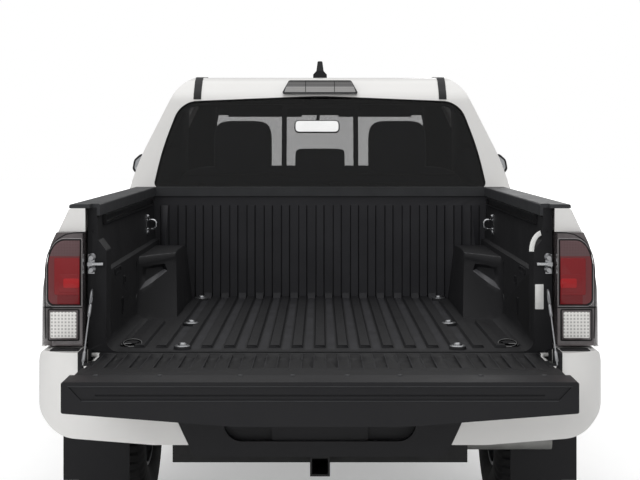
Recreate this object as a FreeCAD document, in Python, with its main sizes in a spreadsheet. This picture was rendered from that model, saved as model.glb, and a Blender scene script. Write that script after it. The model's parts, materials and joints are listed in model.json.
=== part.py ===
"""Double-cab pickup truck with a composite load bed, standing with its tailgate open.

Frame: millimetres, +X to the truck's right, +Y forward, +Z up.  The origin is
on the ground under the middle of the truck, measured with the tailgate open.
"""
import FreeCAD
import Part
import Sketcher
import math
import os

os.makedirs("parts", exist_ok=True)
Vector = FreeCAD.Vector

# Driving sizes in millimetres (angles in degrees), one group for each piece.
SIZES = {
    # stance
    "wheelbase": 3236, "front_overhang": 925, "axle_to_hinge": 1080, "gate_reach": 550,
    "front_track": 1600, "rear_track": 1605, "roof_height": 1793, "body_half_width": 905,
    "overrun": 60, "seam": 0.3, "shut_gap": 0.8, "panel_gap": 7, "part_gap": 5, "bolt_gap": 1,
    # tyres and rims
    "tyre_diameter": 776, "tyre_width": 265, "tread_width": 216, "shoulder_depth": 62,
    "rim_diameter": 432, "rim_width": 220, "rim_wall": 12, "rim_face_depth": 46,
    "rim_face_wall": 28, "rim_hub_radius": 80, "rim_window_in": 96, "rim_window_out": 180,
    "rim_window_foot": 34, "rim_window_head": 92, "rim_windows": 6, "lip_step": 26,
    # knuckles, brakes and front suspension
    "kingpin_inset": 40, "ball_rise": 116, "ball_radius": 20, "hub_radius": 62,
    "disc_radius": 138, "disc_wall": 16, "disc_out": 12, "knuckle_wall": 26, "knuckle_width": 60,
    "spindle_radius": 26, "calliper_length": 120, "calliper_height": 54, "calliper_depth": 66,
    "arm_root": 300, "arm_spread": 176, "arm_foot": 60, "arm_neck": 30, "arm_reach": 170,
    "arm_wall": 28, "steer_angle": 34,
    # rear axle and springs
    "axle_radius": 45, "diff_radius": 145, "drum_radius": 150, "drum_wall": 70,
    "spring_spacing": 1080, "spring_half_length": 640, "spring_width": 62, "spring_wall": 34,
    "spring_rise": 70, "pad_wall": 24,
    # chassis
    "rail_width": 76, "rail_height": 130, "rail_front_x": 355, "rail_mid_x": 470,
    "rail_mid_z": 430, "rail_rear_z": 590, "rail_front_z": 540, "rail_bend": 160,
    "kick_near": 230, "kick_run": 260, "kick_ahead": 275, "kick_ahead_run": 200,
    "rail_nose_back": 110, "rail_tail": 55, "beam_width": 70, "beam_height": 80,
    "beam_wall": 28, "mount_radius": 36,
    "bumper_beam_half": 560,
    # engine, exhaust, shaft and tank
    "engine_width": 480, "engine_length": 640, "engine_height": 420, "engine_z": 480,
    "engine_back": 210, "shaft_radius": 38, "shaft_front_y": 900, "gearbox_width": 200,
    "gearbox_z": 502,
    "exhaust_radius": 32, "exhaust_bend": 90, "muffler_radius": 78, "hanger_radius": 6, "muffler_length": 620,
    "exhaust_x": 250, "exhaust_z": 440, "tailpipe_x": 836, "tailpipe_z": 395, "tailpipe_y": 590,
    "tank_width": 300, "tank_length": 900, "tank_height": 120, "tank_z": 400,
    "radiator_half": 300, "radiator_height": 420, "radiator_wall": 40, "radiator_z": 500,
    # cab
    "cab_wall": 46, "glass_wall": 5, "glass_depth": 8, "cab_back_gap": 30, "cowl_back": 450,
    "cab_foot": 430, "cab_floor": 606, "hinge_leaf_in": 58, "hinge_leaf_out": 20,
    "hinge_leaf_low": 620, "hinge_leaf_high": 980, "hinge_leaf_height": 70,
    "hood_stop_x": 560, "hood_stop_z": 1166, "cab_floor_wall": 18, "tunnel_half": 640,
    "window_base": 1262, "windshield_top_y": 1250, "roof_rear_y": 195, "header_drop": 28,
    "belt_height": 1245, "door_draft_share": 0.12, "frame_wall": 26, "door_wall": 58,
    "front_door_front": 570, "front_door_back": 1620, "rear_door_back": 2560, "door_foot": 462,
    "door_radius": 60, "door_glass_inset": 46, "pillar_wall": 40,
    "rear_glass_half": 740, "rear_glass_waist_half": 703, "rear_glass_waist": 1445,
    "rear_glass_top_half": 626, "rear_glass_edge_top": 1654, "rear_glass_top": 1680,
    "rear_glass_base": 1268, "rear_glass_radius": 110, "rear_glass_foot_radius": 24,
    "moulding_x": 552, "moulding_width": 34, "moulding_wall": 3, "moulding_foot": 1664,
    "windshield_half": 735, "windshield_top_half": 585, "windshield_base": 1205,
    "windshield_head": 1722, "windshield_radius": 60,
    "handle_length": 190, "handle_height": 28, "handle_depth": 36, "handle_wall": 14,
    "handle_z": 1096, "handle_inset": 62, "handle_foot": 34,
    "mirror_reach": 1102, "mirror_width": 205, "mirror_height": 122, "mirror_depth": 96,
    "mirror_z": 1337, "mirror_back": 690, "mirror_stalk": 34,
    # cab furniture
    "seat_width": 500, "seat_pitch": 760, "seat_length": 520, "cushion_wall": 150,
    "seat_z": 700, "seat_front_y": 640, "back_wall": 120, "back_height": 570,
    "headrest_width": 260, "headrest_height": 165, "headrest_wall": 90, "headrest_gap": 36,
    "rear_back_height": 590, "rear_rest_x": 350, "middle_rest_width": 220, "middle_rest_height": 68,
    "middle_rest_gap": 6,
    "rear_seat_y": 1960, "rear_seat_width": 1300, "seat_round": 40, "seat_base_wall": 70,
    "dash_depth": 330, "dash_height": 330, "dash_z": 860, "dash_half": 700, "console_half": 110,
    "wheel_ring_radius": 185, "wheel_ring_wall": 14, "wheel_x": 380, "wheel_y": 930,
    "wheel_z": 1090, "wheel_rake": 26, "column_radius": 28, "column_length": 200,
    "wheel_hub_radius": 62, "wheel_hub_wall": 40, "wheel_spoke": 34, "wheel_turn": 480,
    "inner_mirror_width": 245, "inner_mirror_height": 70, "inner_mirror_wall": 24,
    "inner_mirror_x": -16, "inner_mirror_z": 1517, "inner_mirror_y": 640, "antenna_length": 165, "antenna_height": 55,
    "antenna_foot": 64, "antenna_neck": 34, "antenna_tip": 22, "antenna_neck_rise": 8,
    "antenna_tip_back": 22, "antenna_tip_length": 36, "antenna_y": 2420,
    "brake_lamp_width": 344, "brake_lamp_top": 281, "brake_lamp_height": 61,
    "brake_lamp_depth": 52, "brake_lamp_z": 1690, "brake_lamp_lean": 34, "brake_lamp_round": 14,
    # front end
    "skin_wall": 12, "hood_wall": 24, "hood_half": 735, "hood_back": 440, "hood_front": 770,
    "hood_peak": 1190, "nose_height": 1030, "fender_back": 558, "arch_radius": 450,
    "liner_wall": 6, "liner_inner": 470, "flare_radius": 530, "flare_reach": 950,
    "flare_lip": 26, "flare_root": 870, "hood_opening": 52,
    "bumper_top": 730, "bumper_wall": 40, "bumper_back": 500, "bumper_foot": 410,
    "grille_half": 590, "grille_top": 1000, "grille_foot": 745, "grille_frame": 34,
    "grille_depth": 40, "grille_bars": 6, "grille_bar": 14, "grille_posts": 12,
    "headlamp_in": 600, "headlamp_top": 1005, "headlamp_foot": 830, "headlamp_back": 620,
    "intake_half": 420, "intake_top": 660, "intake_foot": 500, "fog_in": 560, "fog_out": 760,
    # load bed
    "bed_length": 1537, "bed_floor": 790, "tub_wall": 14, "tub_top": 1262, "tub_half": 735,
    "tub_foot_half": 700, "shelf_low_half": 707, "shelf_half": 721, "shelf_z": 1050, "shelf_rise": 8,
    "well_half": 557, "well_top_half": 583, "well_top": 1027, "well_front": 22, "well_back": 890,
    "well_crown": 1165, "well_wall_back": 715, "well_wall_crown": 745, "well_lean": 30,
    "well_round": 46, "well_pocket_depth": 34, "well_pocket_chamfer": 15,
    "pocket_out": 698, "pocket_in": 604, "pocket_in_top": 616, "pocket_top": 992, "pocket_mid": 962,
    "pocket_foot": 902,
    "rib_pitch": 75.5, "rib_width": 40, "rib_rise": 9, "rib_draft": 5, "rib_back": 84,
    "rib_count": 19, "bulkhead_rib_top": 1195,
    "bed_skin": 14, "bed_rail_half": 814, "post_inner": 700, "post_upper": 737, "post_neck": 748,
    "post_neck_z": 1184, "post_shoulder_z": 1121, "post_round": 14, "post_depth": 120,
    "post_hole": 8, "post_hole_x": 716, "post_hole_z": 1024,
    "post_setback": 14, "cap_wall": 13, "cap_inner": 721, "cap_round": 6, "cap_lip": 10, "cap_drop": 26,
    "deck_rail_height": 32, "deck_rail_depth": 14, "deck_rail_z": 1202, "deck_rail_inset": 90,
    "cup_radius": 33, "cup_x": 642, "cup_y": 150, "cup_depth": 6, "bed_foot": 500,
    # bed hardware
    "loop_reach": 40, "loop_height": 38, "loop_bar": 5, "loop_z": 1128, "loop_y": 1255, "loop_bend": 14,
    "loop_plate": 84, "loop_plate_width": 26, "loop_plate_wall": 4, "loop_bolt": 8, "loop_bolt_pitch": 62,
    "striker_plate_in": 738, "striker_plate_out": 759, "striker_plate_height": 64, "striker_wall": 4,
    "striker_radius": 6, "striker_in": 708, "striker_z": 1078, "striker_stand": 15,
    "striker_bolt": 7, "striker_bolt_pitch": 40, "notch_gap": 7,
    # tailgate
    "gate_half": 725, "gate_wall": 60, "gate_top_face": 8, "bed_face_back": 30, "gate_skin": 20,
    "hinge_z": 782, "trunnion_radius": 7, "trunnion_length": 20, "bracket_height": 34, "stud_radius": 8, "gate_gap": 6,
    "channel_width": 38, "channel_depth": 9, "channel_back": 30, "channel_front": 300,
    "spoiler_half": 743, "spoiler_end_height": 90, "spoiler_mid_height": 128,
    "spoiler_length": 120, "spoiler_recess_half": 724, "spoiler_recess_foot_half": 684,
    "spoiler_recess_drop": 12, "spoiler_recess_height": 42, "spoiler_recess_depth": 4,
    "spoiler_groove_half": 645, "spoiler_groove_drop": 36, "spoiler_groove": 5, "cable_radius": 4, "cable_x": 742, "cable_top_z": 998,
    "cable_foot_y": 190, "cable_foot_z": 778, "anchor_radius": 11, "anchor_length": 26,
    # lamps, rear bumper and hitch
    "lamp_in": 766, "lamp_out": 888, "lamp_top": 1186, "lamp_foot": 819, "lamp_split": 944,
    "lamp_proud": 56, "lamp_depth": 110, "lamp_round": 24, "lamp_gap": 0.8,
    "bumper_half": 914, "bumper_top_half": 896, "bumper_waist_z": 735, "bumper_hip_half": 908,
    "bumper_hip_z": 618, "bumper_foot_half": 830, "bumper_rear": 150, "bumper_corner_top": 812,
    "bumper_mid_top": 700, "bumper_corner_foot": 545, "bumper_mid_foot": 521, "bumper_step_half": 752,
    "rear_bumper_wall": 44, "bumper_wrap": 330, "step_half": 526, "step_foot_half": 369, "step_foot": 484,
    "step_recess": 30, "step_recess_half": 303, "step_recess_top": 668, "step_recess_foot": 532,
    "step_recess_round": 56, "step_pad_half": 152, "step_pad_depth": 14,
    "receiver_bore": 50.8, "receiver_wall": 6.35, "receiver_length": 260, "receiver_z": 446,
    "cross_pin": 16, "pin_back": 57, "plate_spacing": 177.8, "plate_bore": 6, "plate_z": 640,
    # spare wheel
    "spare_ahead": 462, "spare_z": 612, "hoist_z": 748, "hoist_radius": 8,
    # mud guards
    "guard_width": 246, "guard_out": 956, "guard_wall": 8, "guard_foot": 215, "guard_gap": 10,
}

doc = FreeCAD.newDocument("pickup_truck")
sheet = doc.addObject("Spreadsheet::Sheet", "sizes")
for row, (alias, value) in enumerate(SIZES.items(), start=1):
    sheet.set(f"A{row}", alias.replace("_", " "))
    sheet.set(f"B{row}", str(value))
    sheet.setAlias(f"B{row}", alias)
doc.recompute()


def words(value):
    """Formula of a size, or the plain text of a number."""
    return value.formula if isinstance(value, Size) else repr(float(value))


class Size(float):
    """A number that keeps the sheet formula it is worked out from."""

    def __new__(cls, value, formula):
        size = float.__new__(cls, value)
        size.formula = formula
        return size

    def __add__(self, other):
        return Size(float(self) + float(other), f"({self.formula} + {words(other)})")

    def __radd__(self, other):
        return Size(float(other) + float(self), f"({words(other)} + {self.formula})")

    def __sub__(self, other):
        return Size(float(self) - float(other), f"({self.formula} - {words(other)})")

    def __rsub__(self, other):
        return Size(float(other) - float(self), f"({words(other)} - {self.formula})")

    def __mul__(self, other):
        return Size(float(self) * float(other), f"({self.formula} * {words(other)})")

    def __rmul__(self, other):
        return Size(float(other) * float(self), f"({words(other)} * {self.formula})")

    def __truediv__(self, other):
        return Size(float(self) / float(other), f"({self.formula} / {words(other)})")

    def __neg__(self):
        return Size(-float(self), f"(0 - {self.formula})")


class Sheet:
    """The sheet's cells, read by their names."""

    def __getattr__(self, alias):
        return Size(float(sheet.get(alias)), f"sizes.{alias}")


s = Sheet()

# Places that follow from the driving sizes.
tyre_radius = s.tyre_diameter / 2
rim_radius = s.rim_diameter / 2
nose_y = (s.gate_reach + s.axle_to_hinge + s.wheelbase + s.front_overhang) / 2
front_axle_y = nose_y - s.front_overhang
rear_axle_y = front_axle_y - s.wheelbase
hinge_y = rear_axle_y - s.axle_to_hinge
bulkhead_y = hinge_y + s.bed_length
bed_front_y = bulkhead_y + s.tub_wall + s.bed_skin + s.part_gap
cab_back_y = bed_front_y + s.cab_back_gap
cowl_y = front_axle_y - s.cowl_back
door_front_y = front_axle_y - s.front_door_front
door_middle_y = front_axle_y - s.front_door_back
door_rear_y = front_axle_y - s.rear_door_back
kingpin_x = s.front_track / 2 - s.kingpin_inset
far = s.body_half_width + s.overrun


# Outlines and solids.
PLANES = {
    "XY": lambda u, v, w: Vector(u, v, w),
    "XZ": lambda u, v, w: Vector(u, w, v),
    "YZ": lambda u, v, w: Vector(w, u, v),
}


def counter_clockwise(corners):
    """Same corners, turned to run counter-clockwise."""
    area = 0
    for (u0, v0, _), (u1, v1, _) in zip(corners, corners[1:] + corners[:1]):
        area += u0 * v1 - u1 * v0
    return list(corners) if area > 0 else list(reversed(corners))


def inset_corners(corners, inset):
    """Move every edge of an outline inwards, and its corner radii with it."""
    ring = counter_clockwise([(float(c[0]), float(c[1]), float(c[2]) if len(c) > 2 else 0) for c in corners])
    moved = []
    for index, (u, v, radius) in enumerate(ring):
        before = ring[index - 1]
        after = ring[(index + 1) % len(ring)]
        au, av = u - before[0], v - before[1]
        bu, bv = after[0] - u, after[1] - v
        a_length = math.hypot(au, av)
        b_length = math.hypot(bu, bv)
        au, av, bu, bv = au / a_length, av / a_length, bu / b_length, bv / b_length
        reach = inset / (1 + au * bu + av * bv)
        turn = au * bv - av * bu
        softened = radius - inset if turn > 0 else radius + inset
        moved.append((u - (av + bv) * reach, v + (au + bu) * reach, max(softened, 0) if radius else 0))
    return moved


def outline(plane, corners, level, inset=0):
    """Closed wire of straight runs and tangent corner arcs."""
    ring = inset_corners(corners, float(inset))
    place = PLANES[plane]
    runs = []
    for index, (u, v, radius) in enumerate(ring):
        before = ring[index - 1]
        after = ring[(index + 1) % len(ring)]
        au, av = before[0] - u, before[1] - v
        bu, bv = after[0] - u, after[1] - v
        a_length = math.hypot(au, av)
        b_length = math.hypot(bu, bv)
        au, av, bu, bv = au / a_length, av / a_length, bu / b_length, bv / b_length
        half = math.acos(max(-1, min(1, au * bu + av * bv))) / 2
        reach = min(radius / math.tan(half), a_length * 0.49, b_length * 0.49) if radius else 0
        if reach <= a_length / 10000:
            runs.append([(u, v)])
            continue
        bend = reach * math.tan(half)
        mu, mv = au + bu, av + bv
        middle = math.hypot(mu, mv)
        sag = bend / math.sin(half) - bend
        runs.append([(u + au * reach, v + av * reach),
                     (u + mu / middle * sag, v + mv / middle * sag),
                     (u + bu * reach, v + bv * reach)])
    edges = []
    for index, run in enumerate(runs):
        here = [place(u, v, float(level)) for u, v in run]
        if len(here) == 3:
            edges.append(Part.Arc(*here).toShape())
        following = runs[(index + 1) % len(runs)][0]
        target = place(following[0], following[1], float(level))
        edges.append(Part.makeLine(here[-1], target))
    return Part.Wire(edges)


def prism(plane, corners, start, end, inset=0):
    """Straight extrusion of a rounded outline from one level to another."""
    face = Part.Face(outline(plane, corners, start, inset))
    return face.extrude(PLANES[plane](0, 0, float(end) - float(start)))


def drafted(plane, corners, start, end, draft_share, inset=0):
    """Extrusion whose sides close in by a share of the way to the end."""
    shrink = abs(float(end) - float(start)) * float(draft_share)
    wide = outline(plane, corners, start, inset)
    narrow = outline(plane, corners, end, float(inset) + shrink)
    return Part.makeLoft([wide, narrow], True, True)


def block(x0, x1, y0, y1, z0, z1):
    """Box between two corners."""
    return Part.makeBox(float(x1) - float(x0), float(y1) - float(y0), float(z1) - float(z0),
                        Vector(float(x0), float(y0), float(z0)))


def rod(radius, start, end):
    """Round bar from one point to another."""
    way = end - start
    return Part.makeCylinder(float(radius), way.Length, start, way)


def mirrored(shape):
    """The same shape on the other side of the centre plane."""
    return shape.mirror(Vector(0, 0, 0), Vector(1, 0, 0))


def both_sides(shape):
    """A shape with its mirror image."""
    return Part.makeCompound(shape.Solids + mirrored(shape).Solids)


NODES = []


def node(label, thing):
    """Name a finished sub-part and keep it for the export."""
    thing.Label = label
    NODES.append(thing)
    return thing


def feature(label, shape):
    """Sub-part whose shape is worked out here from the sheet."""
    thing = doc.addObject("Part::Feature", label)
    thing.Shape = shape
    thing.Placement = FreeCAD.Placement()
    return node(label, thing)


def bind(thing, prop, value):
    """Bind a property to the formula of a size."""
    if isinstance(value, Size):
        thing.setExpression(prop, value.formula)
    else:
        setattr(thing, prop, value)


def move(thing, x=0, y=0, z=0):
    """Bind the position of an object."""
    for axis, value in (("x", x), ("y", y), ("z", z)):
        if isinstance(value, Size):
            thing.setExpression(f"Placement.Base.{axis}", value.formula)


def bar(name, x0, x1, y0, y1, z0, z1):
    """Bound box between two corners."""
    thing = doc.addObject("Part::Box", name)
    bind(thing, "Length", x1 - x0)
    bind(thing, "Width", y1 - y0)
    bind(thing, "Height", z1 - z0)
    move(thing, x0, y0, z0)
    return thing


TURNS = {"X": FreeCAD.Rotation(Vector(0, 1, 0), 90), "Y": FreeCAD.Rotation(Vector(1, 0, 0), -90),
         "Z": FreeCAD.Rotation()}


def pin(name, axis, radius, length, x=0, y=0, z=0):
    """Bound cylinder along one axis from its start point."""
    thing = doc.addObject("Part::Cylinder", name)
    bind(thing, "Radius", radius)
    bind(thing, "Height", length)
    thing.Placement = FreeCAD.Placement(Vector(0, 0, 0), TURNS[axis])
    move(thing, x, y, z)
    return thing


def join(name, things):
    """Fuse of several objects."""
    thing = doc.addObject("Part::MultiFuse", name)
    thing.Shapes = things
    thing.Refine = True
    return thing


def cut(name, base, tool):
    """One object less another."""
    thing = doc.addObject("Part::Cut", name)
    thing.Base = base
    thing.Tool = tool
    thing.Refine = True
    return thing


def twin(name, source):
    """Mirror image of an object across the centre plane."""
    thing = doc.addObject("Part::Mirroring", name)
    thing.Source = source
    thing.Normal = Vector(1, 0, 0)
    return thing


def pair(name, source):
    """An object with its mirror image."""
    thing = doc.addObject("Part::Compound", name)
    thing.Links = [source, twin(name + "_twin", source)]
    return thing


def sketched(body, name, plane, points):
    """Closed sketch on an origin plane, each corner bound to the sheet."""
    sketch = body.newObject("Sketcher::SketchObject", name)
    origin = next(item for item in body.Origin.OriginFeatures if item.Role == plane + "_Plane")
    sketch.AttachmentSupport = [(origin, "")]
    sketch.MapMode = "FlatFace"
    count = len(points)
    for index in range(count):
        here, there = points[index], points[(index + 1) % count]
        sketch.addGeometry(Part.LineSegment(Vector(float(here[0]), float(here[1]), 0),
                                            Vector(float(there[0]), float(there[1]), 0)), False)
    for index in range(count):
        sketch.addConstraint(Sketcher.Constraint("Coincident", index, 2, (index + 1) % count, 1))
    for index, (u, v) in enumerate(points):
        for kind, value, axis in (("DistanceX", u, -2), ("DistanceY", v, -1)):
            if not isinstance(value, Size):
                sketch.addConstraint(Sketcher.Constraint("PointOnObject", index, 1, axis))
                continue
            place = sketch.addConstraint(Sketcher.Constraint(kind, -1, 1, index, 1, float(value)))
            sketch.setExpression(f"Constraints[{place}]", value.formula)
    return sketch


def revolved(name, plane, points, axis):
    """Body of revolution about an origin axis."""
    body = doc.addObject("PartDesign::Body", name)
    sketch = sketched(body, name + "_outline", plane, points)
    turn = body.newObject("PartDesign::Revolution", name + "_turn")
    turn.Profile = sketch
    line = next(item for item in body.Origin.OriginFeatures if item.Role == axis + "_Axis")
    turn.ReferenceAxis = (line, [""])
    turn.Angle = 360
    return body


# Wheels: the tyre and the rim are each one revolved section about the X axis.
def tyre_body(name):
    """Tyre section with its tread, shoulders and side walls."""
    half = s.tyre_width / 2
    shoulder = tyre_radius - s.shoulder_depth
    bead = s.rim_width / 2
    return revolved(name, "XY", [
        (-s.tread_width / 2, tyre_radius), (s.tread_width / 2, tyre_radius),
        (half, shoulder), (bead, rim_radius), (-bead, rim_radius), (-half, shoulder)], "X")


def rim_body(name):
    """Rim barrel with a dished face and a ring of windows."""
    half = s.rim_width / 2
    inner = rim_radius - s.rim_wall
    face = s.rim_face_depth
    back = s.rim_face_depth - s.rim_face_wall
    body = revolved(name, "XY", [
        (-half, rim_radius), (half, rim_radius), (half, inner), (half - s.lip_step, inner - s.rim_wall),
        (face, s.rim_hub_radius), (face, 0), (back, 0), (back, s.rim_hub_radius),
        (half - s.lip_step - s.rim_face_wall, inner - s.rim_wall), (-half, inner)], "X")
    window = sketched(body, name + "_window", "YZ", [
        (-s.rim_window_foot / 2, s.rim_window_in), (s.rim_window_foot / 2, s.rim_window_in),
        (s.rim_window_head / 2, s.rim_window_out), (-s.rim_window_head / 2, s.rim_window_out)])
    pocket = body.newObject("PartDesign::Pocket", name + "_pocket")
    pocket.Profile = window
    pocket.Type = "ThroughAll"
    pocket.Midplane = True
    pattern = body.newObject("PartDesign::PolarPattern", name + "_ring")
    pattern.Originals = [pocket]
    pattern.Axis = (next(i for i in body.Origin.OriginFeatures if i.Role == "X_Axis"), [""])
    pattern.Angle = 360
    pattern.setExpression("Occurrences", s.rim_windows.formula)
    body.Tip = pattern
    return body


SIDES = (("left", -1), ("right", 1))
AXLES = (("front", front_axle_y, s.front_track / 2), ("rear", rear_axle_y, s.rear_track / 2))
for end, axle_y, track in AXLES:
    for side, sign in SIDES:
        for make, kind in ((tyre_body, "tyre"), (rim_body, "rim")):
            body = make(f"{kind}_{end}_{side}")
            if sign < 0:
                body.Placement = FreeCAD.Placement(Vector(0, 0, 0), FreeCAD.Rotation(Vector(0, 0, 1), 180))
            move(body, sign * track, axle_y, tyre_radius)
            node(f"{kind}_{end}_{side}", body)

spare_y = hinge_y + s.spare_ahead
spare_turn = FreeCAD.Placement(Vector(0, 0, 0), FreeCAD.Rotation(Vector(0, 1, 0), 90))
spare_tyre = tyre_body("spare_tyre")
spare_tyre.Placement = spare_turn
move(spare_tyre, 0, spare_y, s.spare_z)
spare_rim = rim_body("spare_rim")
spare_rim.Placement = spare_turn
move(spare_rim, 0, spare_y, s.spare_z)
spare_wheel = doc.addObject("Part::Compound", "spare_wheel")
spare_wheel.Links = [spare_tyre, spare_rim]
node("spare_wheel", spare_wheel)

# Steering knuckles: an upright with its spindle, hub flange, brake disc and calliper.
hub_face = s.rim_face_depth - s.rim_face_wall - s.seam
for side, sign in SIDES:
    centre = s.front_track / 2
    upright_x = kingpin_x - s.knuckle_wall / 2
    upright = bar(f"upright_{side}", upright_x, upright_x + s.knuckle_wall,
                  front_axle_y - s.knuckle_width / 2, front_axle_y + s.knuckle_width / 2,
                  tyre_radius - s.ball_rise, tyre_radius + s.ball_rise)
    spindle = pin(f"spindle_{side}", "X", s.spindle_radius, centre + hub_face - kingpin_x,
                  kingpin_x, front_axle_y, tyre_radius)
    hub = pin(f"hub_{side}", "X", s.hub_radius, s.disc_wall, centre + hub_face - s.disc_wall,
              front_axle_y, tyre_radius)
    disc = pin(f"disc_{side}", "X", s.disc_radius, s.disc_wall, centre + hub_face - s.disc_wall * 2,
               front_axle_y, tyre_radius)
    calliper = bar(f"calliper_{side}", kingpin_x - s.knuckle_wall / 2,
                   kingpin_x - s.knuckle_wall / 2 + s.calliper_depth,
                   front_axle_y - s.disc_radius - s.calliper_height / 2,
                   front_axle_y - s.disc_radius + s.calliper_height / 2,
                   tyre_radius - s.calliper_length / 2, tyre_radius + s.calliper_length / 2)
    bracket = bar(f"calliper_bracket_{side}", upright_x, upright_x + s.knuckle_wall,
                  front_axle_y - s.disc_radius, front_axle_y,
                  tyre_radius - s.knuckle_width / 2, tyre_radius + s.knuckle_width / 2)
    knuckle = join(f"knuckle_solid_{side}", [upright, spindle, hub, disc, calliper, bracket])
    if sign < 0:
        knuckle = twin(f"knuckle_twin_{side}", knuckle)
    node(f"knuckle_{side}", knuckle)

# Control arms: a lower and an upper wishbone, from the frame to the ball joints.
def wishbone(x_root, x_ball, z_low):
    """Triangular arm with an open middle and a round ball seat."""
    y = front_axle_y
    neck_x = x_ball - s.arm_reach
    outer = [(x_root, y - s.arm_spread), (x_root + s.arm_foot, y - s.arm_spread),
             (neck_x, y - s.arm_neck), (x_ball, y - s.ball_radius), (x_ball, y + s.ball_radius),
             (neck_x, y + s.arm_neck), (x_root + s.arm_foot, y + s.arm_spread), (x_root, y + s.arm_spread)]
    inner = [(x_root - s.overrun, y - s.arm_spread + s.arm_foot), (x_root + s.arm_foot, y - s.arm_spread + s.arm_foot),
             (neck_x - s.arm_foot, y), (x_root + s.arm_foot, y + s.arm_spread - s.arm_foot),
             (x_root - s.overrun, y + s.arm_spread - s.arm_foot)]
    z_high = z_low + s.arm_wall
    arm = prism("XY", outer, z_low, z_high)
    arm = arm.fuse(rod(s.ball_radius, Vector(x_ball, y, z_low), Vector(x_ball, y, z_high)))
    return arm.cut(prism("XY", inner, z_low - s.overrun, z_high + s.overrun)).removeSplitter()


lower_z = tyre_radius - s.ball_rise - s.seam - s.arm_wall
upper_z = tyre_radius + s.ball_rise + s.seam
arms = [wishbone(s.arm_root, kingpin_x, lower_z), wishbone(s.arm_root, kingpin_x, upper_z)]
feature("control_arms", both_sides(Part.makeCompound(arms)))


# Chassis: two rails with kicks over the axles, tied by cross beams.
rail_nose = nose_y - s.rail_nose_back
rail_tail_y = hinge_y - s.rail_tail
kick_rear_y = rear_axle_y + s.kick_near
kick_front_y = front_axle_y - s.kick_ahead


def rail_side():
    """Side view of a rail: low under the cab, high over the rear axle."""
    lower = [(rail_tail_y, s.rail_rear_z), (kick_rear_y, s.rail_rear_z),
             (kick_rear_y + s.kick_run, s.rail_mid_z), (kick_front_y - s.kick_ahead_run, s.rail_mid_z),
             (kick_front_y, s.rail_front_z), (rail_nose, s.rail_front_z)]
    upper = [(y, z + s.rail_height) for y, z in reversed(lower)]
    return lower + upper


rail_profile = prism("YZ", [(y, z, s.rail_height) if 0 < i % 6 < 5 else (y, z, 0)
                            for i, (y, z) in enumerate(rail_side())], 0, far)
rail_plan = prism("XY", [
    (s.rail_front_x - s.rail_width / 2, rail_nose + s.overrun), (s.rail_front_x - s.rail_width / 2, kick_front_y, s.rail_bend),
    (s.rail_mid_x - s.rail_width / 2, kick_front_y - s.kick_ahead_run * 2, s.rail_bend),
    (s.rail_mid_x - s.rail_width / 2, rail_tail_y - s.overrun), (s.rail_mid_x + s.rail_width / 2, rail_tail_y - s.overrun),
    (s.rail_mid_x + s.rail_width / 2, kick_front_y - s.kick_ahead_run * 2, s.rail_bend),
    (s.rail_front_x + s.rail_width / 2, kick_front_y, s.rail_bend), (s.rail_front_x + s.rail_width / 2, rail_nose + s.overrun)],
    0, s.roof_height)
rail = rail_profile.common(rail_plan)
pieces = [rail, mirrored(rail)]
mid_half = s.rail_mid_x
for beam_y, beam_z in ((kick_rear_y - s.beam_width, s.rail_rear_z), (hinge_y + s.beam_width / 4, s.rail_rear_z),
                       (kick_rear_y + s.kick_run + s.beam_width, s.rail_mid_z), (cab_back_y + s.wheelbase / 3, s.rail_mid_z)):
    beam_top = beam_z + s.rail_height - s.part_gap / 2
    pieces.append(block(-mid_half, mid_half, beam_y - s.beam_width / 2, beam_y + s.beam_width / 2,
                        beam_top - s.beam_wall, beam_top))
cab_mounts = (cab_back_y + s.beam_width, door_middle_y, door_front_y - s.beam_height)
bed_mounts = (hinge_y + s.beam_height, rear_axle_y - tyre_radius, kick_rear_y - s.beam_height)
for mount_y in cab_mounts:
    mount = rod(s.mount_radius, Vector(s.rail_mid_x, mount_y, s.rail_mid_z + s.rail_height / 2),
                Vector(s.rail_mid_x, mount_y, s.cab_floor - s.seam))
    pieces += [mount, mirrored(mount)]
for mount_y in bed_mounts:
    mount = rod(s.mount_radius, Vector(s.rail_mid_x, mount_y, s.rail_rear_z + s.rail_height / 2),
                Vector(s.rail_mid_x, mount_y, s.bed_floor - s.tub_wall - s.seam))
    pieces += [mount, mirrored(mount)]
hoist_y = hinge_y + s.spare_ahead
pieces.append(block(-mid_half, mid_half, hoist_y - s.beam_wall, hoist_y + s.beam_wall, s.hoist_z, s.hoist_z + s.beam_wall / 2))
for sign in (-1, 1):
    pieces.append(block(sign * mid_half - s.rail_width / 4, sign * mid_half + s.rail_width / 4, hoist_y - s.beam_wall, hoist_y + s.beam_wall,
                        s.rail_rear_z + s.rail_height / 2, s.hoist_z + s.beam_wall / 2))
hoist_foot = s.spare_z - s.rim_face_depth + s.rim_face_wall + s.seam
pieces.append(rod(s.hoist_radius, Vector(0, hoist_y, hoist_foot), Vector(0, hoist_y, s.hoist_z + s.beam_wall / 4)))
engine_mid_y = front_axle_y + s.engine_back
engine_foot = block(s.engine_width / 2 + s.seam, s.rail_front_x, engine_mid_y - s.beam_width / 2, engine_mid_y + s.beam_width / 2,
                    s.rail_front_z + s.part_gap, s.rail_front_z + s.beam_width)
pieces += [engine_foot, mirrored(engine_foot)]
front_half = s.rail_front_x
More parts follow.
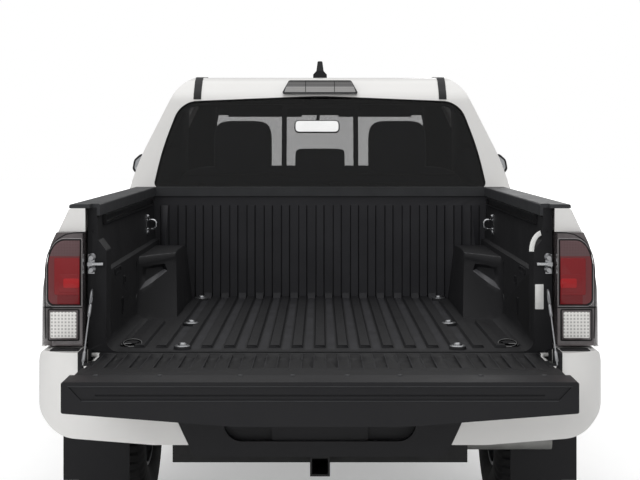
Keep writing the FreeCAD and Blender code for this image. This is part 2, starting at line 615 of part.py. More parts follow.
for beam_y in (front_axle_y - s.arm_spread + s.arm_foot / 2, front_axle_y + s.arm_spread - s.arm_foot / 2):
    pieces.append(block(-s.arm_root, s.arm_root, beam_y - s.arm_foot / 2, beam_y + s.arm_foot / 2,
                        lower_z, lower_z + s.beam_width))
    tower = block(s.arm_root - s.arm_foot, s.arm_root, beam_y - s.arm_foot / 2, beam_y + s.arm_foot / 2,
                  lower_z, s.rail_front_z + s.beam_height)
    foot = block(s.arm_root - s.arm_foot, front_half, beam_y - s.arm_foot / 2, beam_y + s.arm_foot / 2,
                 s.rail_front_z + s.part_gap, s.rail_front_z + s.beam_height)
    pieces += [tower, mirrored(tower), foot, mirrored(foot)]
pieces.append(block(-s.bumper_beam_half, s.bumper_beam_half, rail_nose - s.beam_width, rail_nose,
                    s.rail_front_z, s.rail_front_z + s.beam_height))
frame = pieces[0].multiFuse(pieces[1:]).removeSplitter()
feature("chassis_frame", frame)

# Rear axle with its differential, drums and spring seats.
diff = doc.addObject("Part::Sphere", "differential")
bind(diff, "Radius", s.diff_radius)
move(diff, 0, rear_axle_y, tyre_radius)
drum_face = s.rear_track / 2 + hub_face
tube = pin("axle_tube", "X", s.axle_radius, drum_face * 2, -drum_face, rear_axle_y, tyre_radius)
drum_right = pin("drum_right", "X", s.drum_radius, s.drum_wall, drum_face - s.drum_wall, rear_axle_y, tyre_radius)
drum_left = pin("drum_left", "X", s.drum_radius, s.drum_wall, -drum_face, rear_axle_y, tyre_radius)
seat_z = tyre_radius + s.axle_radius
spring_x = s.spring_spacing / 2
pads = []
for side, sign in SIDES:
    pads.append(bar(f"spring_pad_{side}", sign * spring_x - s.spring_width / 2, sign * spring_x + s.spring_width / 2,
                    rear_axle_y - s.spring_width, rear_axle_y + s.spring_width, tyre_radius, seat_z + s.pad_wall))
pinion = doc.addObject("Part::Cone", "pinion_nose")
bind(pinion, "Radius1", s.axle_radius * 2)
bind(pinion, "Radius2", s.axle_radius)
bind(pinion, "Height", s.diff_radius + s.drum_radius / 2)
pinion.Placement = FreeCAD.Placement(Vector(0, 0, 0), TURNS["Y"])
move(pinion, 0, rear_axle_y, tyre_radius)
node("rear_axle", join("rear_axle", [diff, tube, drum_right, drum_left, pinion] + pads))

# Leaf springs: an arched leaf pack on each side with hangers under the rails.
arch_z = seat_z + s.pad_wall
leaf_ends = s.spring_half_length
eye_z = arch_z + s.spring_rise


def arc_strip(half_span, low, rise, wall):
    """Arched strip in the YZ plane, lowest in the middle."""
    y = float(rear_axle_y)
    a = [Vector(0, y - half_span, low + rise), Vector(0, y, low), Vector(0, y + half_span, low + rise)]
    b = [p + Vector(0, 0, float(wall)) for p in a]
    edges = [Part.Arc(*a).toShape(), Part.makeLine(a[2], b[2]), Part.Arc(b[2], b[1], b[0]).toShape(),
             Part.makeLine(b[0], a[0])]
    return Part.Face(Part.Wire(edges))


leaf = arc_strip(float(leaf_ends), float(arch_z), float(s.spring_rise), s.spring_wall)
leaf = leaf.extrude(Vector(float(s.spring_width), 0, 0))
leaf.translate(Vector(float(spring_x - s.spring_width / 2), 0, 0))
hangers = []
for way in (-1, 1):
    eye_y = rear_axle_y + way * leaf_ends
    hanger_top = s.rail_rear_z + s.beam_height if way < 0 else s.rail_mid_z + s.rail_height
    hanger = block(s.rail_mid_x + s.rail_width / 2, spring_x + s.spring_width / 2, eye_y - s.spring_wall,
                   eye_y + s.spring_wall, eye_z - s.spring_wall / 2, hanger_top)
    hangers.append(hanger)
spring = leaf.multiFuse(hangers).removeSplitter()
feature("leaf_springs", both_sides(spring))

# Engine, gearbox and drive shaft, fuel tank, radiator.
engine_y = front_axle_y + s.engine_back
engine = bar("engine", -s.engine_width / 2, s.engine_width / 2, engine_y - s.engine_length / 2,
             engine_y + s.engine_length / 2, s.engine_z, s.engine_z + s.engine_height)
pinion_y = rear_axle_y + s.diff_radius + s.drum_radius / 2
gearbox = doc.addObject("Part::Cone", "gearbox")
bind(gearbox, "Radius1", s.gearbox_width / 4)
bind(gearbox, "Radius2", s.gearbox_width / 2)
gear_end = engine_y - s.engine_length / 2
bind(gearbox, "Height", gear_end - s.shaft_front_y)
gearbox.Placement = FreeCAD.Placement(Vector(0, 0, 0), TURNS["Y"])
move(gearbox, 0, s.shaft_front_y, s.gearbox_z)
shaft_start = Vector(0, float(pinion_y + s.part_gap / 2), float(tyre_radius))
shaft_end = Vector(0, float(s.shaft_front_y - s.part_gap / 2), float(s.gearbox_z))
feature("drive_shaft", rod(s.shaft_radius, shaft_start, shaft_end))
tank_x = s.rail_mid_x - s.rail_width / 2 - s.seam
tank = prism("XZ", [(-tank_x, s.tank_z, s.seat_round), (-tank_x + s.tank_width, s.tank_z, s.seat_round),
                    (-tank_x + s.tank_width, s.tank_z + s.tank_height, s.seat_round),
                    (-tank_x, s.tank_z + s.tank_height, s.seat_round)], -s.tank_length / 2, s.tank_length / 2)
feature("fuel_tank", tank)
radiator = bar("radiator", -s.radiator_half, s.radiator_half, rail_nose - s.beam_width - s.radiator_wall - s.seam,
               rail_nose - s.beam_width - s.seam, s.radiator_z, s.radiator_z + s.radiator_height)
power_unit = doc.addObject("Part::Compound", "engine_block")
power_unit.Links = [join("engine_and_gearbox", [engine, gearbox]), radiator]
node("engine_block", power_unit)


# Exhaust: muffler and a pipe that runs over the axle and out behind the right wheel.
def pipe(radius, points, bend):
    """Round pipe along straight runs joined by tangent arcs."""
    edges = []
    last = points[0]
    for before, corner, after in zip(points, points[1:], points[2:]):
        a = (before - corner).normalize()
        b = (after - corner).normalize()
        half = a.getAngle(b) / 2
        reach = float(bend) / math.tan(half)
        start = corner + a * reach
        end = corner + b * reach
        middle = corner + (a + b).normalize() * (float(bend) / math.sin(half) - float(bend))
        edges.append(Part.makeLine(last, start))
        edges.append(Part.Arc(start, middle, end).toShape())
        last = end
    edges.append(Part.makeLine(last, points[-1]))
    path = Part.Wire(edges)
    ring = Part.Wire([Part.makeCircle(float(radius), points[0], points[1] - points[0])])
    return path.makePipeShell([ring], True, False, 2)


exhaust_points = [
    Vector(s.exhaust_x, s.muffler_length, s.exhaust_z), Vector(s.exhaust_x, rear_axle_y - s.drum_radius * 4 / 3, s.exhaust_z + s.exhaust_radius),
    Vector(s.exhaust_x, rear_axle_y - s.tailpipe_y, s.tailpipe_z), Vector(s.tailpipe_x, rear_axle_y - s.tailpipe_y, s.tailpipe_z)]
exhaust = pipe(s.exhaust_radius, exhaust_points, s.exhaust_bend)
muffler_y = cab_back_y + s.muffler_length / 4
muffler = rod(s.muffler_radius, Vector(s.exhaust_x, muffler_y, s.exhaust_z), Vector(s.exhaust_x, muffler_y + s.muffler_length, s.exhaust_z))
hangers = []
for beam_y in (kick_rear_y + s.kick_run + s.beam_width, cab_back_y + s.wheelbase / 3):
    hangers.append(rod(s.hanger_radius, Vector(s.exhaust_x, beam_y, s.exhaust_z),
                       Vector(s.exhaust_x, beam_y, s.rail_mid_z + s.rail_height - s.part_gap / 2 - s.beam_wall - s.seam)))
feature("exhaust", exhaust.fuse(muffler).multiFuse(hangers).removeSplitter())


# Cab: the side outline and the cross section are extruded and their common part
# is the outer form; the same outlines moved inwards give the hollow.
CAB_SECTION_SHARES = ((0.685, 0.990, 0.19), (0.885, 0.781, 0.9), (0.940, 0.694, 0.07), (0.994, 0.600, 0.2),
                      (1.0, 0.446, 0.2), (0.972, 0.279, 0.1), (0.930, 0.2398, 0.02))


def cab_section():
    """Cross section of the cab, both halves."""
    half = [(x * s.body_half_width, z * s.roof_height, r * s.body_half_width) for x, z, r in CAB_SECTION_SHARES]
    crown = [(0, s.roof_height, s.roof_height * 3)]
    return crown + half + [(-x, z, r) for x, z, r in reversed(half)]


roof_front_y = front_axle_y - s.windshield_top_y
roof_rear_y = cab_back_y + s.roof_rear_y


def cab_side():
    """Side view of the cab from the firewall over the roof to the rear wall."""
    return [
        (cab_back_y, s.cab_foot, s.seat_round), (cowl_y - s.cab_wall, s.cab_foot, s.seat_round),
        (cowl_y - s.cab_wall, s.windshield_base - s.cab_wall * 2, s.seat_round),
        (cowl_y, s.windshield_base - s.cab_wall, s.skin_wall),
        (roof_front_y, s.roof_height - s.header_drop, s.roof_height / 6),
        ((roof_front_y + roof_rear_y) / 2, s.roof_height, s.roof_height * 2),
        (roof_rear_y, s.roof_height - s.header_drop, s.roof_height / 12),
        (cab_back_y + s.roof_rear_y / 2, s.rear_glass_top, s.roof_height / 20),
        (cab_back_y, s.window_base, s.seat_round)]


def cab_form(inset):
    """Outer form of the cab moved inwards by a wall."""
    side = prism("YZ", cab_side(), -far, far, inset)
    section = prism("XZ", cab_section(), cab_back_y - s.overrun, cowl_y + s.overrun, inset)
    return side.common(section)


def doors_outline(front, back):
    """Side view of a door up to the roof rail."""
    return [(back, s.door_foot, s.door_radius * 2), (front, s.door_foot, s.door_radius),
            (front, s.belt_height, s.door_radius), (front, s.belt_height, 0)]


DOOR_HEAD_SHARE = 0.965
head_z = s.roof_height * DOOR_HEAD_SHARE
rake_y = (cowl_y - roof_front_y) / (s.roof_height - s.windshield_base)
pillar_top_y = roof_front_y + rake_y * s.header_drop * 2 - s.pillar_wall * 3
front_door = [
    (door_middle_y, s.door_foot, s.door_radius), (door_front_y, s.door_foot, s.door_radius),
    (door_front_y, s.belt_height - s.pillar_wall, s.door_radius),
    (pillar_top_y, head_z, s.door_radius * 2), (door_middle_y, head_z, s.door_radius / 3)]
rear_door = [
    (door_rear_y + s.arch_radius / 3, s.door_foot, s.door_radius * 2), (door_middle_y, s.door_foot, s.door_radius),
    (door_middle_y, head_z, s.door_radius / 3), (door_rear_y + s.pillar_wall * 3, head_z, s.door_radius),
    (door_rear_y, s.belt_height - s.pillar_wall, s.door_radius * 2), (door_rear_y, s.well_top, s.door_radius * 3)]

outer_x = s.body_half_width
reference_x = outer_x + s.overrun
inner_x = outer_x - s.overrun * 7


def door_tool(corners, inset):
    """Drafted cutter through one side of the cab, for a door seen from the side."""
    return drafted("YZ", corners, reference_x, inner_x, s.door_draft_share, inset - s.overrun * s.door_draft_share)


cab_outer = cab_form(0)
cab_inner = cab_form(s.cab_wall)
belt_box = block(0, far, door_rear_y - s.overrun, cowl_y, s.cab_foot, s.belt_height)
head_box = block(0, far, door_rear_y - s.overrun, cowl_y, s.belt_height, s.roof_height)
door_inner = cab_form(s.door_wall)
frame_inner = cab_form(s.frame_wall)
glass_outer = cab_form(s.glass_depth)
glass_inner = cab_form(s.glass_depth + s.glass_wall)
glass_skin = glass_outer.cut(glass_inner)
door_skin = cab_outer.cut(door_inner).common(belt_box).fuse(cab_outer.cut(frame_inner).common(head_box))
sill_room = block(0, outer_x - s.door_wall * 2, door_rear_y - s.overrun, cowl_y, s.cab_foot - s.overrun,
                  s.door_foot + s.door_wall * 2)
door_skin = door_skin.cut(sill_room).removeSplitter()


def window_outline(corners, inset):
    """Door outline above the belt, moved inwards to the glass edge."""
    return inset_corners(corners, inset)


grip_outer = cab_form(-s.handle_depth)
grip_shell = grip_outer.cut(cab_form(s.handle_wall - s.handle_depth))
grip_room = grip_outer.cut(door_inner)


def door_handle(edge_y):
    """Pull handle on two feet, at the rear edge of a door."""
    y0, y1 = edge_y + s.handle_inset, edge_y + s.handle_inset + s.handle_length
    z0, z1 = s.handle_z - s.handle_height / 2, s.handle_z + s.handle_height / 2
    face = [(y0, z0, s.handle_wall), (y1, z0, s.handle_wall), (y1, z1, s.handle_wall), (y0, z1, s.handle_wall)]
    grip = grip_shell.common(prism("YZ", face, outer_x - s.overrun * 2, far))
    feet = [block(outer_x - s.overrun * 2, far, y, y + s.handle_foot, z0 + s.handle_wall / 3, z1 - s.handle_wall / 3)
            for y in (y0 + s.handle_wall / 2, y1 - s.handle_foot - s.handle_wall / 2)]
    return grip.multiFuse([foot.common(grip_room) for foot in feet])


doors = {}
for name, corners, edge_y in (("front", front_door, door_middle_y), ("rear", rear_door, door_rear_y + s.arch_radius / 8)):
    tool = door_tool(corners, s.panel_gap / 2)
    panel = door_skin.common(tool).fuse(door_handle(edge_y)).removeSplitter()
    glass_tool = door_tool(corners, s.door_glass_inset).common(
        block(0, far, door_rear_y - s.overrun, cowl_y, s.belt_height + s.seat_round, s.roof_height))
    doors[name] = (panel.cut(glass_tool), glass_skin.common(glass_tool))

# Cab shell, with its floor raised over the chassis rails.
under = block(-s.tunnel_half, s.tunnel_half, cab_back_y - s.overrun, cowl_y + s.overrun, 0, s.cab_floor)
over_floor = block(-far, far, cab_back_y, cowl_y, s.cab_floor + s.cab_floor_wall, s.roof_height)
cab = cab_outer.cut(cab_inner.common(over_floor)).cut(under)
for corners in (front_door, rear_door):
    opening = door_tool(corners, -s.panel_gap / 2)
    cab = cab.cut(opening).cut(mirrored(opening))
windshield_face = [
    (-s.windshield_half, s.windshield_base, s.windshield_radius), (s.windshield_half, s.windshield_base, s.windshield_radius),
    (s.windshield_top_half, s.windshield_head, s.windshield_radius), (-s.windshield_top_half, s.windshield_head, s.windshield_radius)]
rear_face_half = [
    (s.rear_glass_half, s.rear_glass_base, s.rear_glass_foot_radius),
    (s.rear_glass_waist_half, s.rear_glass_waist, s.roof_height),
    (s.rear_glass_top_half, s.rear_glass_edge_top, s.rear_glass_radius)]
rear_face = rear_face_half + [(0, s.rear_glass_top, s.roof_height)]
rear_face += [(-x, z, r) for x, z, r in reversed(rear_face_half)]
windshield_tool = prism("XZ", windshield_face, roof_front_y - s.overrun, cowl_y + s.overrun)
rear_tool = prism("XZ", rear_face, cab_back_y - s.overrun, roof_rear_y + s.overrun)
cab = cab.cut(windshield_tool).cut(rear_tool)
fender_room = block(outer_x - s.skin_wall * 4, far, door_front_y + s.panel_gap / 2, cowl_y + s.overrun, 0,
                    s.windshield_base - s.seat_round)
cab = cab.cut(fender_room).cut(mirrored(fender_room))
front_opening = door_tool(front_door, -s.panel_gap / 2)
for corners, edge_y in ((front_door, door_front_y), (rear_door, door_middle_y)):
    shut_tool = door_tool(corners, s.panel_gap / 2 - s.seam)
    leaf_gap = door_tool(corners, -s.panel_gap / 2).cut(shut_tool)
    for low in (s.hinge_leaf_low, s.hinge_leaf_high):
        leaf_piece = leaf_gap.common(block(
            outer_x - s.hinge_leaf_in, outer_x - s.hinge_leaf_out, edge_y - s.panel_gap * 2,
            edge_y + s.panel_gap, low, low + s.hinge_leaf_height))
        pillar_piece = block(
            outer_x - s.hinge_leaf_in, outer_x - s.hinge_leaf_out,
            edge_y + s.panel_gap / 2 - s.door_draft_share * s.hinge_leaf_in, edge_y + s.panel_gap * 3 / 2,
            low, low + s.hinge_leaf_height)
        for shape in (leaf_piece, pillar_piece.cut(shut_tool).cut(front_opening)):
            cab = cab.fuse(shape).fuse(mirrored(shape))
hood_stop = block(s.hood_stop_x, s.hood_stop_x + s.beam_height, cowl_y - s.cab_wall, front_axle_y - s.hood_back + s.part_gap / 2 - s.seam,
                  s.hood_stop_z, s.hood_stop_z + s.skin_wall)
cab = cab.fuse(hood_stop).fuse(mirrored(hood_stop))
feature("cab_shell", cab.removeSplitter())
moulding_zone = block(s.moulding_x - s.moulding_width / 2, s.moulding_x + s.moulding_width / 2,
                      cab_back_y, roof_front_y, s.moulding_foot, s.roof_height + s.overrun)
moulding = cab_form(-s.moulding_wall).cut(cab_form(-s.seam)).common(moulding_zone)
feature("roof_mouldings", both_sides(moulding))
feature("windshield", glass_skin.common(windshield_tool))
feature("rear_window", glass_skin.common(rear_tool))
for side, sign in SIDES:
    for name, (panel, glass) in doors.items():
        shapes = (panel, glass) if sign > 0 else (mirrored(panel), mirrored(glass))
        feature(f"door_{name}_{side}", shapes[0])
        feature(f"glass_{name}_{side}", shapes[1])

# Door mirrors.
mirror_y = front_axle_y - s.mirror_back
MIRROR_SHARES = ((-0.12, -0.5, 0.3), (0.0, -0.24, 0.25), (-0.05, 0.22, 0.5), (-0.24, 0.5, 0.35),
                 (-1.0, 0.44, 0.25), (-1.0, -0.5, 0.25))
MIRROR_DRAFT_SHARE = 0.3
mirror_face = [(s.mirror_reach + x * s.mirror_width, s.mirror_z + z * s.mirror_height, r * s.mirror_height)
               for x, z, r in MIRROR_SHARES]
cap = drafted("XZ", mirror_face, mirror_y - s.mirror_depth / 2, mirror_y + s.mirror_depth / 2, MIRROR_DRAFT_SHARE)
stalk = block(outer_x - s.overrun, s.mirror_reach - s.mirror_width / 2, mirror_y - s.mirror_stalk / 2, mirror_y + s.mirror_stalk / 2,
              s.mirror_z - s.mirror_height / 2 - s.mirror_stalk, s.mirror_z - s.mirror_height / 2 + s.mirror_stalk / 2)
mirror = cap.fuse(stalk).cut(cab_outer).removeSplitter()
mirror = max(mirror.Solids, key=lambda part: part.Volume)
feature("mirror_right", mirror)
feature("mirror_left", mirrored(mirror))


# Front end: cross sections lofted from the door edge to the nose.
FRONT_STATION_SHARES = ((0.0, 1.0, 1.0), (0.35, 0.985, 1.005), (0.65, 0.955, 1.0), (0.85, 0.92, 0.965), (1.0, 0.84, 0.86))
FRONT_SECTION_SHARES = ((0.62, 0.990, 0.9), (0.90, 0.945, 0.14), (0.995, 0.80, 0.14), (1.0, 0.62, 0.2),
                        (0.985, 0.42, 0.2), (0.965, 0.345, 0.03))
fender_back_y = front_axle_y - s.fender_back
front_half = s.body_half_width + s.liner_wall * 3


def front_section(height_share, width_share, y, inset):
    """Cross section of the front end at one station."""
    half = [(x * front_half * width_share, z * s.windshield_base * (height_share if z > 0.5 else 1), r * front_half)
            for x, z, r in FRONT_SECTION_SHARES]
    crown = [(0, s.windshield_base * height_share, front_half * 4)]
    return outline("XZ", crown + half + [(-x, z, r) for x, z, r in reversed(half)], y, inset)


def front_form(inset):
    """Front end as one closed form, moved inwards by a wall."""
    end = nose_y - s.panel_gap * 4 - float(inset)
    start = fender_back_y - (s.overrun if inset else 0)
    wires = []
    for along, high, wide in FRONT_STATION_SHARES:
        wires.append(front_section(high, wide, start + (end - start) * along, inset))
    return Part.makeLoft(wires, True, False)


front_outer = front_form(0)
front_inner = front_form(s.skin_wall)
hood_inner = front_form(s.hood_wall)
hood_back_y = front_axle_y - s.hood_back
hood_front_y = front_axle_y + s.hood_front
hood_plan = [(-s.hood_half, hood_back_y, s.seat_round / 2), (s.hood_half, hood_back_y, s.seat_round / 2),
             (s.hood_half * 0.94, hood_front_y, s.seat_round), (-s.hood_half * 0.94, hood_front_y, s.seat_round)]
hood_floor = s.headlamp_foot
hood_tool = prism("XY", hood_plan, hood_floor, s.windshield_base + s.overrun, s.part_gap / 2)
hood_opening = prism("XY", hood_plan, hood_floor, s.windshield_base + s.overrun, -s.part_gap / 2)
feature("hood", front_outer.cut(hood_inner).common(hood_tool).removeSplitter())

lamp_back_y = front_axle_y + s.headlamp_back
lamp_zone = prism("XZ", [(s.headlamp_in, s.headlamp_foot + s.seat_round, s.seat_round / 2), (far, s.headlamp_foot, s.seat_round / 2),
                         (far, s.headlamp_top, s.seat_round / 2), (s.headlamp_in, s.headlamp_top, s.seat_round / 2)],
                  lamp_back_y, nose_y + s.overrun)
lamp_depth_form = front_form(s.bumper_wall * 3)
lamp = front_outer.common(lamp_zone).cut(lamp_depth_form).cut(hood_opening)
lamp = max(lamp.Solids, key=lambda part: part.Volume)
feature("headlamps", both_sides(lamp))

bumper_zone = block(-far, far, nose_y - s.bumper_back, nose_y + s.overrun, 0, s.bumper_top)
bumper_inner = front_form(s.bumper_wall)
intake = prism("XZ", [(-s.intake_half, s.intake_foot, s.seat_round), (s.intake_half, s.intake_foot, s.seat_round),
                      (s.intake_half * 0.9, s.intake_top, s.seat_round), (-s.intake_half * 0.9, s.intake_top, s.seat_round)],
               nose_y - s.bumper_back, nose_y + s.overrun)
fog = prism("XZ", [(s.fog_in, s.intake_foot, s.seat_round), (s.fog_out, s.intake_foot, s.seat_round),
                   (s.fog_out, s.intake_top, s.seat_round), (s.fog_in, s.intake_top, s.seat_round)],
            nose_y - s.bumper_back, nose_y + s.overrun)
bumper_lift = s.panel_gap * 4


def arch_tool(y, radius):
    """Round cutter through the body at one axle."""
    return rod(radius, Vector(-far - s.overrun, y, tyre_radius), Vector(far + s.overrun, y, tyre_radius))


front_bumper = front_outer.cut(bumper_inner).common(bumper_zone).cut(intake).cut(fog).cut(mirrored(fog))
front_bumper = front_bumper.cut(arch_tool(front_axle_y, s.flare_radius + s.part_gap))
front_bumper = max(front_bumper.Solids, key=lambda part: part.Volume)
front_bumper.translate(Vector(0, float(bumper_lift), 0))
feature("front_bumper", front_bumper.removeSplitter())

grille_face = [(-s.grille_half, s.grille_top, s.seat_round), (-s.grille_half * 0.9, s.grille_foot, s.seat_round),
               (s.grille_half * 0.9, s.grille_foot, s.seat_round), (s.grille_half, s.grille_top, s.seat_round)]
grille_y = nose_y - s.panel_gap * 4 - s.grille_depth
grille = prism("XZ", grille_face, grille_y - s.grille_depth, grille_y, 0)
grille = grille.cut(prism("XZ", grille_face, grille_y - s.overrun * 2, grille_y + s.overrun, s.grille_frame))
bars = []
grille_step = (s.grille_top - s.grille_foot) / s.grille_bars
for index in range(1, int(s.grille_bars)):
    z = s.grille_foot + grille_step * index
    bars.append(block(-s.grille_half, s.grille_half, grille_y - s.grille_depth * 0.75, grille_y - s.grille_depth * 0.25,
                      z - s.grille_bar / 2, z + s.grille_bar / 2))
mesh = bars[0].multiFuse(bars[1:]).common(prism("XZ", grille_face, grille_y - s.grille_depth, grille_y, s.grille_frame / 2))
grille = grille.fuse(mesh).common(front_outer)
feature("grille", grille.removeSplitter())

fender = front_outer.cut(front_inner).cut(hood_opening)
fender = fender.cut(block(-far, far, fender_back_y - s.overrun, nose_y + s.overrun, 0, s.cab_foot))
fender = fender.cut(block(-far, far, nose_y - s.bumper_back - s.shut_gap, nose_y + s.overrun, 0, s.bumper_top + s.shut_gap))
fender = fender.cut(prism("XZ", grille_face, nose_y - s.bumper_back / 2, nose_y + s.overrun, -s.shut_gap))
lamp_room = prism("XZ", [(s.headlamp_in - s.shut_gap, s.headlamp_foot - s.shut_gap + s.seat_round, s.seat_round / 2),
                         (far, s.headlamp_foot - s.shut_gap, s.seat_round / 2), (far, s.headlamp_top + s.shut_gap, s.seat_round / 2),
                         (s.headlamp_in - s.shut_gap, s.headlamp_top + s.shut_gap, s.seat_round / 2)],
                  lamp_back_y - s.shut_gap, nose_y + s.overrun)
fender = fender.cut(lamp_room).cut(mirrored(lamp_room))
fender = fender.cut(arch_tool(front_axle_y, s.arch_radius))
fender = fender.cut(block(-s.hood_half, s.hood_half, fender_back_y - s.overrun, hood_back_y, s.cab_floor, s.windshield_base + s.overrun))
cab_room = cab_form(-s.part_gap).cut(fender_room).cut(mirrored(fender_room))
fender = fender.cut(cab_room)
fender = fender.cut(block(-s.hood_half / 2, s.hood_half / 2, fender_back_y - s.overrun, nose_y + s.overrun, 0, s.bumper_top))


def flare(y, sign=1):
    """Bulged lip round a wheel arch, on the right side."""
    inner, outer = float(s.arch_radius), float(s.flare_radius)
    root, reach, lip = float(s.flare_root), float(s.flare_reach), float(s.flare_lip)
    points = [Vector(root, y, tyre_radius + inner), Vector(reach, y, tyre_radius + inner),
              Vector(reach, y, tyre_radius + inner + lip), Vector(reach - lip, y, tyre_radius + outer),
              Vector(root, y, tyre_radius + outer)]
    face = Part.Face(Part.makePolygon(points + points[:1]))
    ring = face.revolve(Vector(0, y, tyre_radius), Vector(1, 0, 0), 360)
    low = block(0, far + s.overrun, y - s.flare_radius * 2, y + s.flare_radius * 2, -s.flare_radius, s.bed_foot)
    return ring.cut(low)


front_flare = flare(front_axle_y).cut(front_inner)
front_flare = front_flare.cut(block(0, far + s.overrun, nose_y - s.bumper_back - s.shut_gap, nose_y, 0, s.bumper_top + s.shut_gap))
fender = fender.fuse(front_flare).fuse(mirrored(front_flare)).removeSplitter()
halves = [part for part in fender.Solids if part.Volume > fender.Volume / 20]
feature("front_fenders", Part.makeCompound(halves))

# Wheel liners and mud guards.
liner = rod(s.arch_radius + s.part_gap, Vector(s.liner_inner, front_axle_y, tyre_radius), Vector(far, front_axle_y, tyre_radius))
liner = liner.cut(rod(s.arch_radius + s.part_gap - s.liner_wall, Vector(0, front_axle_y, tyre_radius), Vector(far, front_axle_y, tyre_radius)))
liner = liner.common(front_form(s.skin_wall + s.seam))
liner = liner.cut(block(0, far, front_axle_y - s.flare_radius, front_axle_y + s.flare_radius, -s.flare_radius, s.rail_front_z + s.rail_height / 2))
guard_y = rear_axle_y - s.arch_radius + s.guard_gap
guard = bar("mud_guard", s.guard_out - s.guard_width, s.guard_out, guard_y - s.guard_wall, guard_y,
            s.guard_foot, s.bed_foot - s.seam)
doc.recompute()
feature("wheel_liners", both_sides(Part.makeCompound([liner, guard.Shape])))

# Load bed: outer sides, each a sheet that follows one cross section.
BED_SECTION_SHARES = ((0.900, 0.985, 0.03), (0.962, 0.905, 0.16), (0.994, 0.79, 0.3), (1.0, 0.60, 0.4), (0.98, 0.39, 0.1))


def bed_section():
    """Cross section of the bed's outer sides, both halves."""
    top = s.tub_top
    half = [(x * s.body_half_width, z * top, r * s.body_half_width) for x, z, r in BED_SECTION_SHARES]
    half[0] = (s.bed_rail_half, top, s.bed_skin)
    half[-1] = (half[-1][0], s.bed_foot, half[-1][2])
    return half + [(-x, z, r) for x, z, r in reversed(half)]


rear_face_y = hinge_y - s.bed_face_back
bed_outer = prism("XZ", bed_section(), rear_face_y, bed_front_y)
bed_hollow = prism("XZ", bed_section(), rear_face_y - s.overrun, bed_front_y - s.bed_skin, s.bed_skin)
bed_sides = bed_outer.cut(bed_hollow)
bed_middle = block(-s.bed_rail_half + s.bed_skin * 2, s.bed_rail_half - s.bed_skin * 2, rear_face_y - s.overrun, bed_front_y + s.overrun,
                   0, s.tub_top + s.overrun)
bed_sides = bed_sides.cut(bed_middle)
lamp_rear_y = hinge_y - s.lamp_proud
lamp_opening = block(0, far, rear_face_y - s.overrun, lamp_rear_y + s.lamp_depth, s.lamp_foot, s.lamp_top)
bed_sides = bed_sides.cut(lamp_opening).cut(mirrored(lamp_opening))
bed_sides = bed_sides.cut(arch_tool(rear_axle_y, s.arch_radius))
corner_panel = prism("XZ", bed_section(), rear_face_y, rear_face_y + s.bed_skin).common(
    block(s.lamp_in - s.part_gap + s.shut_gap, far, rear_face_y - s.overrun, hinge_y, s.lamp_top, s.tub_top))
bed_sides = bed_sides.multiFuse([corner_panel, mirrored(corner_panel)])
rear_wrap = block(-far, far, rear_face_y - s.overrun, hinge_y + s.bumper_wrap - s.bumper_rear + s.shut_gap, 0, s.lamp_foot - s.part_gap)
bed_sides = bed_sides.cut(rear_wrap)
rear_flare = flare(rear_axle_y).cut(bed_hollow)
bed_sides = bed_sides.fuse(rear_flare).fuse(mirrored(rear_flare)).removeSplitter()
sides = [part for part in bed_sides.Solids if part.Volume > bed_sides.Volume / 20]
feature("bed_outer", Part.makeCompound(sides))

# Composite tub: floor, side walls, bulkhead, wheel wells and end posts.
tub_back_y = hinge_y + s.post_setback
wall_half = [(s.tub_foot_half, s.bed_floor, s.seat_round), (s.shelf_low_half, s.shelf_z - s.shelf_rise / 2, 0),
             (s.shelf_half, s.shelf_z + s.shelf_rise / 2, 0), (s.tub_half, s.tub_top + s.overrun, 0)]
inner_section = wall_half + [(-x, z, r) for x, z, r in reversed(wall_half)]
tub_form = prism("XZ", [(-s.tub_foot_half - s.tub_wall, s.bed_floor - s.tub_wall), (s.tub_foot_half + s.tub_wall, s.bed_floor - s.tub_wall),
                        (s.tub_half + s.tub_wall, s.tub_top), (-s.tub_half - s.tub_wall, s.tub_top)],
                 tub_back_y, bulkhead_y + s.tub_wall)
tub_room = prism("XZ", inner_section, tub_back_y - s.overrun, bulkhead_y)
tub = tub_form.cut(tub_room)
well_foot = s.bed_floor - s.tub_wall
well_y1 = bulkhead_y - s.well_front
well_x1 = s.tub_half + s.tub_wall / 2


def well_side(foot_y, crown_y, drop):
    """Side view of a wheel well, its feet carried down by a drop."""
    lean = (crown_y - foot_y) / (s.well_top - well_foot)
    return [(foot_y - lean * drop, well_foot - drop, 0), (crown_y, s.well_top, s.well_round),
            (well_y1 - s.well_lean, s.well_top, s.well_round),
            (well_y1 + s.well_lean * drop / (s.well_top - well_foot), well_foot - drop, 0)]


def well_form(inset, drop):
    """Wheel well, its rear face turned from the side wall to the inner side."""
    inner = outline("YZ", well_side(hinge_y + s.well_back, hinge_y + s.well_crown, drop), s.well_half - s.overrun / 2, inset)
    outer = outline("YZ", well_side(hinge_y + s.well_wall_back, hinge_y + s.well_wall_crown, drop), well_x1 + s.overrun / 2, inset)
    body = Part.makeLoft([inner, outer], True, True)
    lean = (s.well_top_half - s.well_half) / (s.well_top - well_foot)
    face = [(s.well_half - lean * drop, well_foot - drop, 0), (well_x1 + s.overrun, well_foot - drop, 0),
            (well_x1 + s.overrun, s.well_top + s.overrun, 0), (s.well_top_half + lean * s.overrun, s.well_top + s.overrun, 0)]
    room = prism("XZ", face, hinge_y, bulkhead_y + s.overrun, inset)
    return body.common(room)


def well_rear_y(x, z):
    """Place of the well's rear face at one width and height."""
    across = (x - s.well_half + s.overrun / 2) / (well_x1 - s.well_half + s.overrun)
    up = (z - well_foot) / (s.well_top - well_foot)
    inner = s.well_back + (s.well_crown - s.well_back) * up
    outer = s.well_wall_back + (s.well_wall_crown - s.well_wall_back) * up
    return float(hinge_y + inner + (outer - inner) * across)


